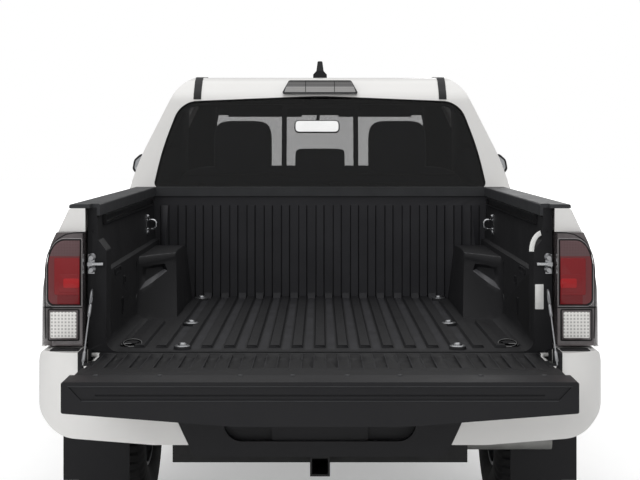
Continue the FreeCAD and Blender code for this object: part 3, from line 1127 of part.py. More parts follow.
def pocket_form(mouth_grow, floor_grow, mouth_depth, floor_depth):
    """Four-cornered cavity behind the well's rear face, closed with flat triangles."""
    corners = [(s.pocket_out, s.pocket_foot, 0), (s.pocket_out, s.pocket_top, 0),
               (s.pocket_in_top, s.pocket_top, 0), (s.pocket_in, s.pocket_mid, 0)]
    rings = []
    for grow, depth in ((mouth_grow, mouth_depth), (floor_grow, floor_depth)):
        rings.append([Vector(x, well_rear_y(x, z) + float(depth), z)
                      for x, z, _ in inset_corners(corners, -float(grow))])
    mouth, floor = rings
    faces = [(mouth[0], mouth[1], mouth[2]), (mouth[0], mouth[2], mouth[3]),
             (floor[0], floor[1], floor[2]), (floor[0], floor[2], floor[3])]
    for index in range(len(mouth)):
        following = (index + 1) % len(mouth)
        faces.append((mouth[index], mouth[following], floor[index]))
        faces.append((mouth[following], floor[following], floor[index]))
    shell = Part.Shell([Part.Face(Part.makePolygon(list(face) + [face[0]])) for face in faces])
    solid = Part.Solid(shell)
    if solid.Volume < 0:
        solid.reverse()
    return solid


well = well_form(0, 0)
well_hole = well_form(s.tub_wall, s.overrun)
chamfer_rate = s.well_pocket_chamfer / s.well_pocket_depth
pocket_back = pocket_form(s.tub_wall, s.tub_wall, s.tub_wall / 2, s.well_pocket_depth + s.tub_wall / 2)
pocket = pocket_form(chamfer_rate * s.overrun, -s.well_pocket_chamfer, -s.overrun, s.well_pocket_depth)
for way in (1, -1):
    shapes = [well, well_hole, pocket_back, pocket]
    if way < 0:
        shapes = [mirrored(shape) for shape in shapes]
    body, hole, backing, cavity = shapes
    tub = tub.fuse(body.common(tub_form.fuse(tub_room))).cut(hole).fuse(backing).cut(cavity)
ribs = []
half_count = (int(s.rib_count) - 1) // 2
for index in range(-half_count, half_count + 1):
    x = s.rib_pitch * index
    foot = s.rib_width / 2
    crest = foot - s.rib_draft
    reach = abs(float(x)) + float(foot)
    if reach < float(s.tub_foot_half - s.seat_round / 2):
        end_y = bulkhead_y - s.rib_rise if reach < float(s.well_half) else hinge_y + s.well_wall_back
        rib = prism("XZ", [(x - foot, s.bed_floor), (x + foot, s.bed_floor), (x + crest, s.bed_floor + s.rib_rise), (x - crest, s.bed_floor + s.rib_rise)],
                    tub_back_y + s.rib_back, end_y)
        ribs.append(rib)
    wall_rib = prism("XY", [(x - foot, bulkhead_y), (x + foot, bulkhead_y), (x + crest, bulkhead_y - s.rib_rise), (x - crest, bulkhead_y - s.rib_rise)],
                     s.bed_floor, s.bulkhead_rib_top)
    ribs.append(wall_rib)
tub = tub.multiFuse(ribs)
post = prism("XZ", [
    (s.post_inner, s.bed_floor, 0), (s.lamp_in - s.part_gap, s.bed_floor, 0), (s.lamp_in - s.part_gap, s.tub_top, 0),
    (s.post_upper, s.tub_top, 0), (s.post_upper, s.post_neck_z + s.post_round, s.post_round),
    (s.post_neck, s.post_neck_z, s.post_round), (s.post_inner, s.post_shoulder_z, s.post_round)],
    tub_back_y, hinge_y + s.post_depth)
post_hole = rod(s.post_hole, Vector(s.post_hole_x, tub_back_y - s.overrun, s.post_hole_z),
                Vector(s.post_hole_x, tub_back_y + s.tub_wall, s.post_hole_z))
post = post.cut(post_hole)
tub = tub.fuse(post).fuse(mirrored(post))
bracket = block(s.gate_half + s.trunnion_length + s.seam, s.lamp_in - s.part_gap, hinge_y - s.trunnion_radius * 2,
                hinge_y + s.post_depth, s.hinge_z - s.bracket_height / 2, s.hinge_z + s.bracket_height / 2)
tub = tub.fuse(bracket).fuse(mirrored(bracket))
cup = rod(s.cup_radius, Vector(s.cup_x, hinge_y + s.cup_y, s.bed_floor - s.cup_depth), Vector(s.cup_x, hinge_y + s.cup_y, s.tub_top))
tub = tub.cut(cup).cut(mirrored(cup))
feature("bed_tub", tub.removeSplitter())

# Rail caps over the side walls and the bulkhead.
cap_section = [(s.cap_inner, s.tub_top, 0), (s.bed_rail_half, s.tub_top, 0), (s.bed_rail_half, s.tub_top + s.cap_wall, s.cap_round),
               (s.cap_inner, s.tub_top + s.cap_wall, s.cap_round)]
rail_cap = prism("XZ", cap_section, rear_face_y, bed_front_y)
spoiler_room = block(0, s.spoiler_half + s.part_gap, rear_face_y - s.overrun, tub_back_y, s.tub_top - s.overrun,
                     s.tub_top + s.overrun)
rail_cap = rail_cap.cut(spoiler_room)
lip = block(s.cap_inner, s.cap_inner + s.cap_lip, tub_back_y, bulkhead_y, s.tub_top - s.cap_drop, s.tub_top + s.cap_wall / 2)
front_cap = block(-s.cap_inner, s.cap_inner, bulkhead_y - s.cap_lip, bed_front_y, s.tub_top, s.tub_top + s.cap_wall)
front_lip = block(-s.cap_inner, s.cap_inner, bulkhead_y - s.cap_lip, bulkhead_y, s.tub_top - s.cap_drop, s.tub_top + s.cap_wall / 2)
caps = rail_cap.multiFuse([mirrored(rail_cap), lip, mirrored(lip), front_cap, front_lip])
tub_walls = tub_form.cut(tub_room)
feature("bed_rail_caps", caps.cut(tub_walls).removeSplitter())

# Deck rails on the side walls, each an open channel.
wall_lean = (s.tub_half - s.shelf_half) / (s.tub_top + s.overrun - s.shelf_z)


def wall_face(z):
    """Half width between the upper side walls at one height."""
    return s.shelf_half + wall_lean * (z - s.shelf_z)


rail_face = wall_face(s.deck_rail_z + s.deck_rail_height)
deck_y0 = hinge_y + s.post_depth + s.part_gap
deck_y1 = bulkhead_y - s.deck_rail_inset
channel = block(rail_face - s.deck_rail_depth, rail_face, deck_y0, deck_y1, s.deck_rail_z, s.deck_rail_z + s.deck_rail_height)
slot = block(rail_face - s.deck_rail_depth - s.overrun, rail_face - s.deck_rail_depth / 3, deck_y0 + s.cap_wall, deck_y1 - s.cap_wall,
             s.deck_rail_z + s.deck_rail_height / 5, s.deck_rail_z + s.deck_rail_height * 4 / 5)
channel = channel.cut(slot).cut(tub_walls)
feature("deck_rails", both_sides(channel))

# Tie-down loops, latch strikers and floor bolts.
loop_x = wall_face(s.loop_z)
loop_y = hinge_y + s.loop_y
loop_tip = loop_x - s.loop_reach
loop_low, loop_high = s.loop_z - s.loop_height / 2, s.loop_z + s.loop_height / 2
loop = pipe(s.loop_bar, [Vector(loop_x, loop_y, loop_low), Vector(loop_tip, loop_y, loop_low),
                         Vector(loop_tip, loop_y, loop_high), Vector(loop_x, loop_y, loop_high)], s.loop_bend)
plate = block(loop_x - s.loop_plate_wall, loop_x + s.tub_wall, loop_y - s.loop_plate_width / 2, loop_y + s.loop_plate_width / 2,
              s.loop_z - s.loop_plate / 2, s.loop_z + s.loop_plate / 2)
loop_parts = [plate]
for way in (-1, 1):
    bolt_z = s.loop_z + way * s.loop_bolt_pitch / 2
    loop_parts.append(rod(s.loop_bolt, Vector(loop_x - s.loop_plate_wall * 3, loop_y, bolt_z), Vector(loop_x, loop_y, bolt_z)))
loops = loop.multiFuse(loop_parts).cut(tub_walls).removeSplitter()
loops = max(loops.Solids, key=lambda part: part.Volume)
striker_y = tub_back_y - s.striker_stand
striker_plate = block(s.striker_plate_in, s.striker_plate_out, tub_back_y - s.striker_wall, tub_back_y,
                      s.striker_z - s.striker_plate_height / 2, s.striker_z + s.striker_plate_height / 2)
striker_bar = rod(s.striker_radius, Vector(s.striker_in, striker_y, s.striker_z), Vector(s.striker_plate_out, striker_y, s.striker_z))
striker_boss = block(s.striker_plate_out - s.striker_plate_height / 4, s.striker_plate_out, striker_y - s.striker_radius, tub_back_y,
                     s.striker_z - s.striker_radius, s.striker_z + s.striker_radius)
striker_parts = [striker_bar, striker_boss]
for way in (-1, 1):
    bolt_z = s.striker_z + way * s.striker_bolt_pitch / 2
    bolt_x = (s.striker_plate_in + s.striker_plate_out) / 2
    striker_parts.append(rod(s.striker_bolt, Vector(bolt_x, tub_back_y - s.striker_wall * 3, bolt_z), Vector(bolt_x, tub_back_y, bolt_z)))
striker = striker_plate.multiFuse(striker_parts).removeSplitter()

# Tailgate, lying open: a hollow skin with a channelled inner face, hinge trunnions
# and the moulded cap along its top edge.
gate_y1 = hinge_y - s.gate_gap / 2
gate_y0 = hinge_y - s.gate_reach + s.spoiler_length
gate_z1 = s.hinge_z + s.gate_top_face
gate_z0 = gate_z1 - s.gate_wall
gate = prism("YZ", [(gate_y0, gate_z0, 0), (gate_y1, gate_z0, s.gate_skin), (gate_y1, gate_z1, s.cap_round), (gate_y0, gate_z1, 0)],
             -s.gate_half, s.gate_half)
channels = []
for index in range(-half_count - 1, half_count + 1):
    x = s.rib_pitch * index + s.rib_pitch / 2
    channels.append(block(x - s.channel_width / 2, x + s.channel_width / 2, hinge_y - s.channel_front, hinge_y - s.channel_back,
                          gate_z1 - s.channel_depth, gate_z1 + s.overrun))
gate = gate.cut(channels[0].multiFuse(channels[1:]))
notch_y = hinge_y - (s.striker_z - s.hinge_z)
notch_z = s.hinge_z + striker_y - hinge_y
notch = block(s.striker_in - s.notch_gap, far, notch_y - s.striker_radius - s.notch_gap, notch_y + s.striker_radius + s.notch_gap,
              notch_z - s.striker_radius - s.notch_gap, gate_z1 + s.overrun)
gate = gate.cut(notch).cut(mirrored(notch))
stud_y, stud_z = hinge_y - s.cable_foot_y, s.cable_foot_z
pivot_x = s.gate_half - s.trunnion_radius
pivot = rod(s.trunnion_radius, Vector(pivot_x, hinge_y, s.hinge_z), Vector(s.gate_half + s.trunnion_length, hinge_y, s.hinge_z))
stud = rod(s.stud_radius, Vector(pivot_x, stud_y, stud_z), Vector(s.cable_x - s.cable_radius - s.seam, stud_y, stud_z))
gate = gate.multiFuse([pivot, mirrored(pivot), stud, mirrored(stud)])
feature("tailgate", gate.removeSplitter())
spoiler_foot = gate_z1 - s.spoiler_mid_height
spoiler_face = [(-s.spoiler_half, gate_z1, s.cap_round), (s.spoiler_half, gate_z1, s.cap_round),
                (s.spoiler_half, gate_z1 - s.spoiler_end_height, s.cap_round), (s.spoiler_half / 3, spoiler_foot, s.body_half_width),
                (-s.spoiler_half / 3, spoiler_foot, s.body_half_width), (-s.spoiler_half, gate_z1 - s.spoiler_end_height, s.cap_round)]
spoiler_y = gate_y0 - s.spoiler_length
spoiler = prism("XZ", spoiler_face, spoiler_y, gate_y0)
recess_top = gate_z1 - s.spoiler_recess_drop
recess_face = [(-s.spoiler_recess_half, recess_top, 0), (s.spoiler_recess_half, recess_top, 0),
               (s.spoiler_recess_foot_half, recess_top - s.spoiler_recess_height, 0),
               (-s.spoiler_recess_foot_half, recess_top - s.spoiler_recess_height, 0)]
groove_top = gate_z1 - s.spoiler_groove_drop
groove = block(-s.spoiler_groove_half, s.spoiler_groove_half, spoiler_y - s.overrun, spoiler_y + s.spoiler_recess_depth * 2,
               groove_top - s.spoiler_groove, groove_top)
spoiler = spoiler.cut(prism("XZ", recess_face, spoiler_y - s.overrun, spoiler_y + s.spoiler_recess_depth)).cut(groove)
feature("tailgate_spoiler", spoiler)

# Tailgate cables, pulled tight between the end posts and the gate.
cable_top = Vector(s.cable_x, hinge_y + s.post_setback - s.anchor_length, s.cable_top_z)
cable_foot = Vector(s.cable_x, hinge_y - s.cable_foot_y, s.cable_foot_z)
feature("tailgate_cables", both_sides(rod(s.cable_radius, cable_foot, cable_top)))
doc.recompute()
anchor_reach = s.cable_radius + s.seam
anchor_top = pin("cable_anchor", "Y", s.anchor_radius, s.anchor_length - anchor_reach, s.cable_x,
                 hinge_y + s.post_setback - s.anchor_length + anchor_reach, s.cable_top_z)
feature("bed_hardware", both_sides(Part.makeCompound([loops, striker, anchor_top.Shape])))

# Tail lamps and reversing lamps.
def rear_lamp(low, high):
    """Lamp block between two heights, rounded towards the outside."""
    zone = block(s.lamp_in, far, lamp_rear_y, lamp_rear_y + s.lamp_depth - s.lamp_gap, low, high)
    edge = prism("XY", [(s.lamp_in, lamp_rear_y, 0), (s.body_half_width, lamp_rear_y, s.lamp_round * 2),
                        (s.body_half_width, lamp_rear_y + s.lamp_depth, 0), (s.lamp_in, lamp_rear_y + s.lamp_depth, 0)], low, high)
    side = prism("XZ", bed_section(), lamp_rear_y - s.overrun, bed_front_y)
    return zone.common(edge).common(side)


feature("tail_lamps", both_sides(rear_lamp(s.lamp_split, s.lamp_top - s.lamp_gap)))
feature("reversing_lamps", both_sides(rear_lamp(s.lamp_foot + s.lamp_gap, s.lamp_split)))

# Rear bumper: white wings and a black middle with the step and the hitch.
bumper_y = hinge_y - s.bumper_rear
bumper_plan = [(-s.bumper_half, bumper_y + s.bumper_wrap, 0), (-s.bumper_half, bumper_y, s.bumper_rear), (s.bumper_half, bumper_y, s.bumper_rear),
               (s.bumper_half, bumper_y + s.bumper_wrap, 0)]
bumper_side = s.bumper_half + s.panel_gap
bumper_face_half = [
    (s.bumper_step_half, s.bumper_mid_top, s.seat_round / 4), (s.bumper_step_half, s.bumper_corner_top - s.lamp_gap, s.seat_round / 4),
    (s.bumper_top_half, s.bumper_corner_top - s.lamp_gap, s.seat_round * 2 / 3), (bumper_side, s.bumper_waist_z, s.bumper_rear),
    (s.bumper_hip_half, s.bumper_hip_z, s.bumper_rear / 2), (s.bumper_foot_half, s.bumper_corner_foot, s.bumper_rear),
    (s.step_half, s.bumper_mid_foot, s.bumper_rear)]
bumper_rear_face = bumper_face_half + [(-x, z, r) for x, z, r in reversed(bumper_face_half)]
step_rear_face = [(-s.step_half, s.bumper_mid_top, 0), (s.step_half, s.bumper_mid_top, 0), (s.step_half, s.step_foot, 0),
                  (-s.step_half, s.step_foot, 0)]
bumper_solid = prism("XY", bumper_plan, s.bumper_mid_foot - s.overrun, s.bumper_corner_top).common(
    prism("XZ", bumper_rear_face, bumper_y - s.overrun, bumper_y + s.bumper_wrap))
bumper_core = prism("XY", [(u, v + s.overrun if v > bumper_y else v, r) for u, v, r in bumper_plan], s.step_foot - s.overrun * 2,
                    s.bumper_mid_top - s.rear_bumper_wall / 2, s.rear_bumper_wall)
step_solid = prism("XY", bumper_plan, s.step_foot, s.bumper_mid_top).common(
    prism("XZ", step_rear_face, bumper_y - s.overrun, bumper_y + s.bumper_wrap))
rear_bumper = bumper_solid.cut(bumper_core)
corner_room = block(-s.bumper_step_half + s.rear_bumper_wall, s.bumper_step_half - s.rear_bumper_wall, bumper_y + s.rear_bumper_wall * 2, bumper_y + s.bumper_wrap + s.overrun, 0, s.bumper_corner_top)
rear_bumper = rear_bumper.cut(corner_room)
bed_corner = block(-far, far, rear_face_y - s.part_gap, bumper_y + s.bumper_wrap + s.overrun, s.lamp_foot - s.part_gap * 2, s.bumper_corner_top + s.overrun)
inner_corner = block(-s.lamp_in, s.lamp_in, rear_face_y - s.part_gap, bumper_y + s.bumper_wrap + s.overrun, s.bumper_mid_top, s.bumper_corner_top + s.overrun)
rear_bumper = rear_bumper.cut(bed_corner).cut(inner_corner)
step_face = [(-s.step_half, s.bumper_mid_top + s.overrun), (s.step_half, s.bumper_mid_top + s.overrun), (s.step_foot_half, s.step_foot - s.overrun),
             (-s.step_foot_half, s.step_foot - s.overrun)]
step_tool = prism("XZ", step_face, bumper_y - s.overrun, bumper_y + s.bumper_wrap + s.overrun)
step_gap = prism("XZ", step_face, bumper_y - s.overrun, bumper_y + s.bumper_wrap + s.overrun, -s.bolt_gap)
step = step_solid.cut(bumper_core).cut(corner_room).cut(bed_corner).cut(inner_corner).common(step_tool)
wings = rear_bumper.cut(step_gap)
recess = prism("XZ", [(-s.step_recess_half, s.step_recess_top, s.step_recess_round), (s.step_recess_half, s.step_recess_top, s.step_recess_round),
                      (s.step_recess_half, s.step_recess_foot, s.step_recess_round), (-s.step_recess_half, s.step_recess_foot, s.step_recess_round)],
               bumper_y - s.overrun, bumper_y + s.step_recess)
pad = prism("XZ", [(-s.step_pad_half, s.step_recess_top, s.cap_round), (s.step_pad_half, s.step_recess_top, s.cap_round),
                   (s.step_pad_half, s.step_recess_foot, s.cap_round), (-s.step_pad_half, s.step_recess_foot, s.cap_round)],
            bumper_y + s.step_pad_depth, bumper_y + s.step_recess + s.seam)
step = step.cut(recess).fuse(pad)
for sign in (-1, 1):
    x = sign * s.plate_spacing / 2
    step = step.cut(rod(s.plate_bore / 2, Vector(x, bumper_y - s.overrun, s.plate_z), Vector(x, bumper_y + s.overrun, s.plate_z)))
feature("rear_step", step.removeSplitter())
feature("rear_bumper", Part.makeCompound([part for part in wings.removeSplitter().Solids if part.Volume > wings.Volume / 20]))

# Hitch receiver: a square tube with a cross pin bore on a beam between the rails.
half_bore = s.receiver_bore / 2
half_out = half_bore + s.receiver_wall
receiver_y = bumper_y + s.step_recess
outer_tube = bar("receiver_outer", -half_out, half_out, receiver_y, receiver_y + s.receiver_length, s.receiver_z - half_out, s.receiver_z + half_out)
hollow = bar("receiver_hollow", -half_bore, half_bore, receiver_y - s.overrun, receiver_y + s.receiver_length - s.beam_width, s.receiver_z - half_bore, s.receiver_z + half_bore)
cross = pin("receiver_pin", "X", s.cross_pin / 2, half_out * 2 + s.overrun * 2, -half_out - s.overrun, receiver_y + s.pin_back, s.receiver_z)
beam = bar("receiver_beam", -s.rail_mid_x, s.rail_mid_x, receiver_y + s.receiver_length - s.beam_width, receiver_y + s.receiver_length, s.receiver_z - half_out, s.receiver_z + half_out)
ears = []
for side, sign in SIDES:
    ears.append(bar(f"receiver_ear_{side}", sign * s.rail_mid_x - s.rail_width / 4, sign * s.rail_mid_x + s.rail_width / 4, receiver_y + s.receiver_length - s.beam_width,
                    receiver_y + s.receiver_length, s.receiver_z - half_out, s.rail_rear_z))
hitch = cut("hitch_bored", cut("hitch_hollow", join("hitch_solid", [outer_tube, beam] + ears), hollow), cross)
node("hitch_receiver", hitch)


# Cabin furniture: seats, dashboard, steering wheel, mirror.
def padded(x0, x1, y0, y1, z0, z1):
    """Cushion block with rounded long edges."""
    body = block(x0, x1, y0, y1, z0, z1)
    round_share = 0.45
    softened = min(float(s.seat_round), float(z1 - z0) * round_share, float(y1 - y0) * round_share)
    return body.makeFillet(softened, [edge for edge in body.Edges])


def seat_set(x_mid, width, y_front, back_height, rests):
    """Cushion, back, headrests and base of one seat; a rest is its place, width, height and gap."""
    y_back = y_front - s.seat_length
    x0, x1 = x_mid - width / 2, x_mid + width / 2
    cushion = padded(x0, x1, y_back, y_front, s.seat_z, s.seat_z + s.cushion_wall)
    back_z = s.seat_z + s.cushion_wall / 2
    back_top = back_z + back_height
    back = padded(x0, x1, y_back - s.back_wall - s.seam, y_back - s.seam, back_z, back_top)
    post_y = y_back - s.back_wall / 2
    for rest_x, rest_width, rest_height, gap in rests:
        middle = x_mid + rest_x
        rest_z = back_top + gap
        rest = padded(middle - rest_width / 2, middle + rest_width / 2, y_back - s.back_wall,
                      y_back - s.back_wall + s.headrest_wall, rest_z, rest_z + rest_height)
        posts = []
        for way in (-1, 1):
            post_x = middle + way * rest_width / 4
            posts.append(rod(s.cap_round, Vector(post_x, post_y, back_top - s.seat_round), Vector(post_x, post_y, rest_z + s.seat_round / 2)))
        back = back.fuse(rest).multiFuse(posts)
    base = block(x0 + s.seat_round, x1 - s.seat_round, y_back + s.seat_round, y_front - s.seat_round * 2, s.cab_floor + s.cab_floor_wall + s.seam, s.seat_z - s.seam)
    return Part.makeCompound([cushion, back, base])


front_y = front_axle_y - s.front_door_front - s.seat_front_y
front_rest = (0, s.headrest_width, s.headrest_height, s.headrest_gap)
for side, sign in SIDES:
    feature(f"seat_{side}", seat_set(sign * s.seat_pitch / 2, s.seat_width, front_y, s.back_height, [front_rest]))
rear_y = front_axle_y - s.rear_seat_y
rear_rests = [(way * s.rear_rest_x, s.headrest_width, s.headrest_height, s.headrest_gap) for way in (-1, 1)]
rear_rests.append((0, s.middle_rest_width, s.middle_rest_height, s.middle_rest_gap))
feature("rear_seat", seat_set(0, s.rear_seat_width, rear_y, s.rear_back_height, rear_rests))

dash_back_y = cowl_y - s.cab_wall * 2 - s.part_gap
dash = prism("YZ", [(dash_back_y, s.dash_z, 0), (dash_back_y, s.dash_z + s.dash_height - s.seat_round, s.seat_round), (dash_back_y - s.dash_depth, s.dash_z + s.dash_height - s.seat_round, s.seat_round * 2),
                    (dash_back_y - s.dash_depth, s.dash_z + s.seat_round, s.seat_round)], -s.dash_half, s.dash_half)
console = prism("YZ", [(dash_back_y, s.cab_floor + s.cab_floor_wall, 0), (dash_back_y, s.dash_z + s.seat_round), (dash_back_y - s.dash_depth, s.dash_z + s.seat_round, s.seat_round),
                       (front_y - s.seat_length, s.seat_z + s.cushion_wall, s.seat_round), (front_y - s.seat_length, s.cab_floor + s.cab_floor_wall, 0)], -s.console_half, s.console_half)
rake = math.radians(float(s.wheel_rake))
axis = Vector(0, math.cos(rake), -math.sin(rake))
wheel_centre = Vector(-s.wheel_x, s.wheel_y, s.wheel_z)
column_start = wheel_centre + axis * float(s.wheel_hub_wall + s.bolt_gap)
column = rod(s.column_radius, column_start, column_start + axis * float(s.column_length))
feature("dashboard", dash.multiFuse([console, column]).removeSplitter())

ring = Part.makeTorus(float(s.wheel_ring_radius), float(s.wheel_ring_wall), wheel_centre, axis)
hub_shape = rod(s.wheel_hub_radius, wheel_centre, wheel_centre + axis * float(s.wheel_hub_wall))
upward = axis.cross(Vector(1, 0, 0))
spokes = []
for angle in (90, 210, 330):
    turn = math.radians(angle + 180)
    out = Vector(1, 0, 0) * math.cos(turn) + upward * math.sin(turn)
    spoke = rod(s.wheel_ring_wall * 0.8, wheel_centre, wheel_centre + out * float(s.wheel_ring_radius))
    spokes.append(spoke)
feature("steering_wheel", ring.multiFuse([hub_shape] + spokes).removeSplitter())

inner_y = front_axle_y - s.windshield_top_y + s.header_drop
mirror_left, mirror_right = s.inner_mirror_x - s.inner_mirror_width / 2, s.inner_mirror_x + s.inner_mirror_width / 2
mirror_low, mirror_high = s.inner_mirror_z, s.inner_mirror_z + s.inner_mirror_height
mirror_round = s.inner_mirror_height / 3
glass_mirror = prism("XZ", [(mirror_left, mirror_low, mirror_round), (mirror_right, mirror_low, mirror_round),
                            (mirror_right, mirror_high, mirror_round), (mirror_left, mirror_high, mirror_round)],
                     s.inner_mirror_y, s.inner_mirror_y + s.inner_mirror_wall)
stem = rod(s.cap_round * 1.5, Vector(s.inner_mirror_x, s.inner_mirror_y + s.inner_mirror_wall / 2, mirror_low + s.inner_mirror_height / 2),
           Vector(0, s.inner_mirror_y + s.inner_mirror_width, s.windshield_head))
feature("cabin_mirror", glass_mirror.fuse(stem.common(cab_form(s.glass_depth + s.glass_wall + s.seam))).removeSplitter())

# Roof aerial and high brake lamp.
aerial_y = front_axle_y - s.antenna_y
aerial_foot = s.roof_height - s.header_drop * 2
aerial_top = s.roof_height + s.antenna_height
aerial_neck = s.roof_height + s.antenna_neck_rise
aerial_side = prism("YZ", [
    (aerial_y, aerial_foot, 0), (aerial_y, aerial_neck, s.cap_round), (aerial_y + s.antenna_tip_back, aerial_top, s.cap_round),
    (aerial_y + s.antenna_tip_back + s.antenna_tip_length, aerial_top, s.cap_round * 3),
    (aerial_y + s.antenna_length, aerial_neck - s.antenna_neck_rise * 2, s.seat_round), (aerial_y + s.antenna_length, aerial_foot, 0)],
    -s.antenna_foot, s.antenna_foot)
aerial_half = [(s.antenna_foot / 2, aerial_foot, 0), (s.antenna_foot / 2, s.roof_height - s.antenna_neck_rise, s.cap_round),
               (s.antenna_neck / 2, aerial_neck, s.cap_round * 2), (s.antenna_tip / 2, aerial_top, s.cap_round)]
aerial = aerial_side.common(prism("XZ", aerial_half + [(-x, z, r) for x, z, r in reversed(aerial_half)], aerial_y - s.overrun,
                                  aerial_y + s.antenna_length + s.overrun)).cut(cab_outer)
feature("roof_aerial", max(aerial.Solids, key=lambda part: part.Volume))
lamp_y = cab_back_y + s.roof_rear_y
brake_top = s.brake_lamp_z + s.brake_lamp_height
brake_half = [(s.brake_lamp_width / 2, s.brake_lamp_z, s.cap_round), (s.brake_lamp_top / 2, brake_top, s.brake_lamp_round)]
brake = prism("XZ", brake_half + [(-x, z, r) for x, z, r in reversed(brake_half)], lamp_y - s.overrun * 3, lamp_y + s.overrun)
brake_side = prism("YZ", [
    (lamp_y + s.overrun, s.brake_lamp_z - s.overrun, 0), (lamp_y - s.overrun - s.brake_lamp_depth, s.brake_lamp_z - s.overrun, 0),
    (lamp_y - s.overrun - s.brake_lamp_depth, s.brake_lamp_z, 0),
    (lamp_y - s.overrun - s.brake_lamp_depth + s.brake_lamp_lean, brake_top, s.brake_lamp_round), (lamp_y + s.overrun, brake_top + s.cap_round, 0)],
    -s.brake_lamp_width, s.brake_lamp_width)
brake = brake.common(brake_side).cut(cab_outer)
feature("high_brake_lamp", max(brake.Solids, key=lambda part: part.Volume))

doc.recompute()

for thing in doc.Objects:
    if "Invalid" in thing.State or "Error" in thing.State:
        raise RuntimeError(f"{thing.Label} failed: {thing.State}")
for thing in NODES:
    shape = thing.Shape
    if shape.isNull() or not shape.isValid() or not shape.Solids:
        raise RuntimeError(f"{thing.Label} has no valid solid")
for thing in NODES:
    thing.Shape.exportStep(f"parts/{thing.Label}.step")
print(len(NODES), "pieces")
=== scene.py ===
"""Looks of a double-cab pickup truck with a composite load bed and an open tailgate.

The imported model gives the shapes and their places; this script dresses them,
adds the fine pieces and sets up the studio.  Metres, +Y forward, +Z up.
"""

from __future__ import annotations

import json
import logging
import math
from dataclasses import dataclass, field
from enum import Enum
from typing import Any, Callable, Iterable, Sequence

import bmesh
import bpy
import numpy as np
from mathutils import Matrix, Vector
from mathutils.bvhtree import BVHTree


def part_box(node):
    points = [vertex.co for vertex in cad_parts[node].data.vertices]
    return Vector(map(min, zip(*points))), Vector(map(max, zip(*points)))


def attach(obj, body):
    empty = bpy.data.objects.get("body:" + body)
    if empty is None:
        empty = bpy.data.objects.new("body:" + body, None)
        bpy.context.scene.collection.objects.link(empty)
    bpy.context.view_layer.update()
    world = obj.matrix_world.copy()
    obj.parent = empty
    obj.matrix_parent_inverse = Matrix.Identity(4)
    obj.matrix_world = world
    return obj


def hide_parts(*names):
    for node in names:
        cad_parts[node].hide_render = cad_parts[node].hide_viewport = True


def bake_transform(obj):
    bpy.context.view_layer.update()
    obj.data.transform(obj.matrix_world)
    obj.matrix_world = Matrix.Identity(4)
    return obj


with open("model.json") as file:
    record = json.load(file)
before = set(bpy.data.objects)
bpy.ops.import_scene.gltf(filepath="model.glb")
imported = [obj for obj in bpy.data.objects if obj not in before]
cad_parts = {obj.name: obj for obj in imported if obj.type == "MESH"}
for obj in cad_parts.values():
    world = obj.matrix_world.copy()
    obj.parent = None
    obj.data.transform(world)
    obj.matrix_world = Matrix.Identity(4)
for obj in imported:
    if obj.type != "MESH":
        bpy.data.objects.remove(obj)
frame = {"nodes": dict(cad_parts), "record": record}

log = logging.getLogger("pickup")
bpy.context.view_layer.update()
Part = tuple[np.ndarray, Iterable[Sequence[int]]]
Mesh = tuple[np.ndarray, list[list[int]]]
Outline = Sequence[tuple[float, float]]
MM = 0.001
# Points closer than this are one point.
MERGE = 1e-5
# Radius at which a turned profile closes on its axis.
TIP = 0.0001
# Nearly all values of a noise lie in this span.
NOISE_SPAN = {"From Min": 0.3, "From Max": 0.7}


# Tools
def linear(code: str, alpha: float = 1.0) -> tuple[float, float, float, float]:
    """Turn an sRGB hex colour into the linear values that shaders take.

    Args:
        code: Six hex digits.
        alpha: Fourth value of the result.

    Returns:
        Linear red, green and blue, with alpha.
    """
    channels = [int(code[i:i + 2], 16) / 255 for i in (0, 2, 4)]
    lit = [c / 12.92 if c <= 0.04045 else ((c + 0.055) / 1.055) ** 2.4 for c in channels]
    return lit[0], lit[1], lit[2], alpha


def add(tree: bpy.types.NodeTree, kind: str, settings: dict[str, Any] | None = None,
        links: dict[str, Any] | None = None) -> bpy.types.Node:
    """Add one shader node with its settings and its incoming links.

    Args:
        tree: Node tree of a material or world.
        kind: Node type, without the ShaderNode prefix.
        settings: Attribute or input name to value.
        links: Input name to an output socket of another node.

    Returns:
        The new node.
    """
    node = tree.nodes.new("ShaderNode" + kind)
    for key, value in (settings or {}).items():
        if key in node.inputs:
            node.inputs[key].default_value = value
        elif key.isdigit():
            node.inputs[int(key)].default_value = value
        else:
            setattr(node, key, value)
    for key, socket in (links or {}).items():
        tree.links.new(socket, node.inputs[int(key) if key.isdigit() else key])
    return node


def new_material(name: str) -> tuple[bpy.types.Material, bpy.types.NodeTree, bpy.types.Node]:
    """Make an empty node material.

    Args:
        name: Material name.

    Returns:
        The material, its tree and its output node.
    """
    material = bpy.data.materials.new(name)
    material.use_nodes = True
    material.node_tree.nodes.clear()
    out = add(material.node_tree, "OutputMaterial")
    return material, material.node_tree, out


def grid_faces(rows: int, columns: int, close_rows: bool = False, close_columns: bool = False) -> np.ndarray:
    """Quads of a grid of points numbered row by row.

    Args:
        rows: Points along the first parameter.
        columns: Points along the second parameter.
        close_rows: Join the last row to the first.
        close_columns: Join the last column to the first.

    Returns:
        Array of point numbers, four to a face.
    """
    r = np.arange(rows if close_rows else rows - 1)[:, None]
    c = np.arange(columns if close_columns else columns - 1)[None, :]
    r2, c2 = (r + 1) % rows, (c + 1) % columns
    return np.stack(np.broadcast_arrays(r * columns + c, r * columns + c2, r2 * columns + c2,
                                        r2 * columns + c), -1).reshape(-1, 4)


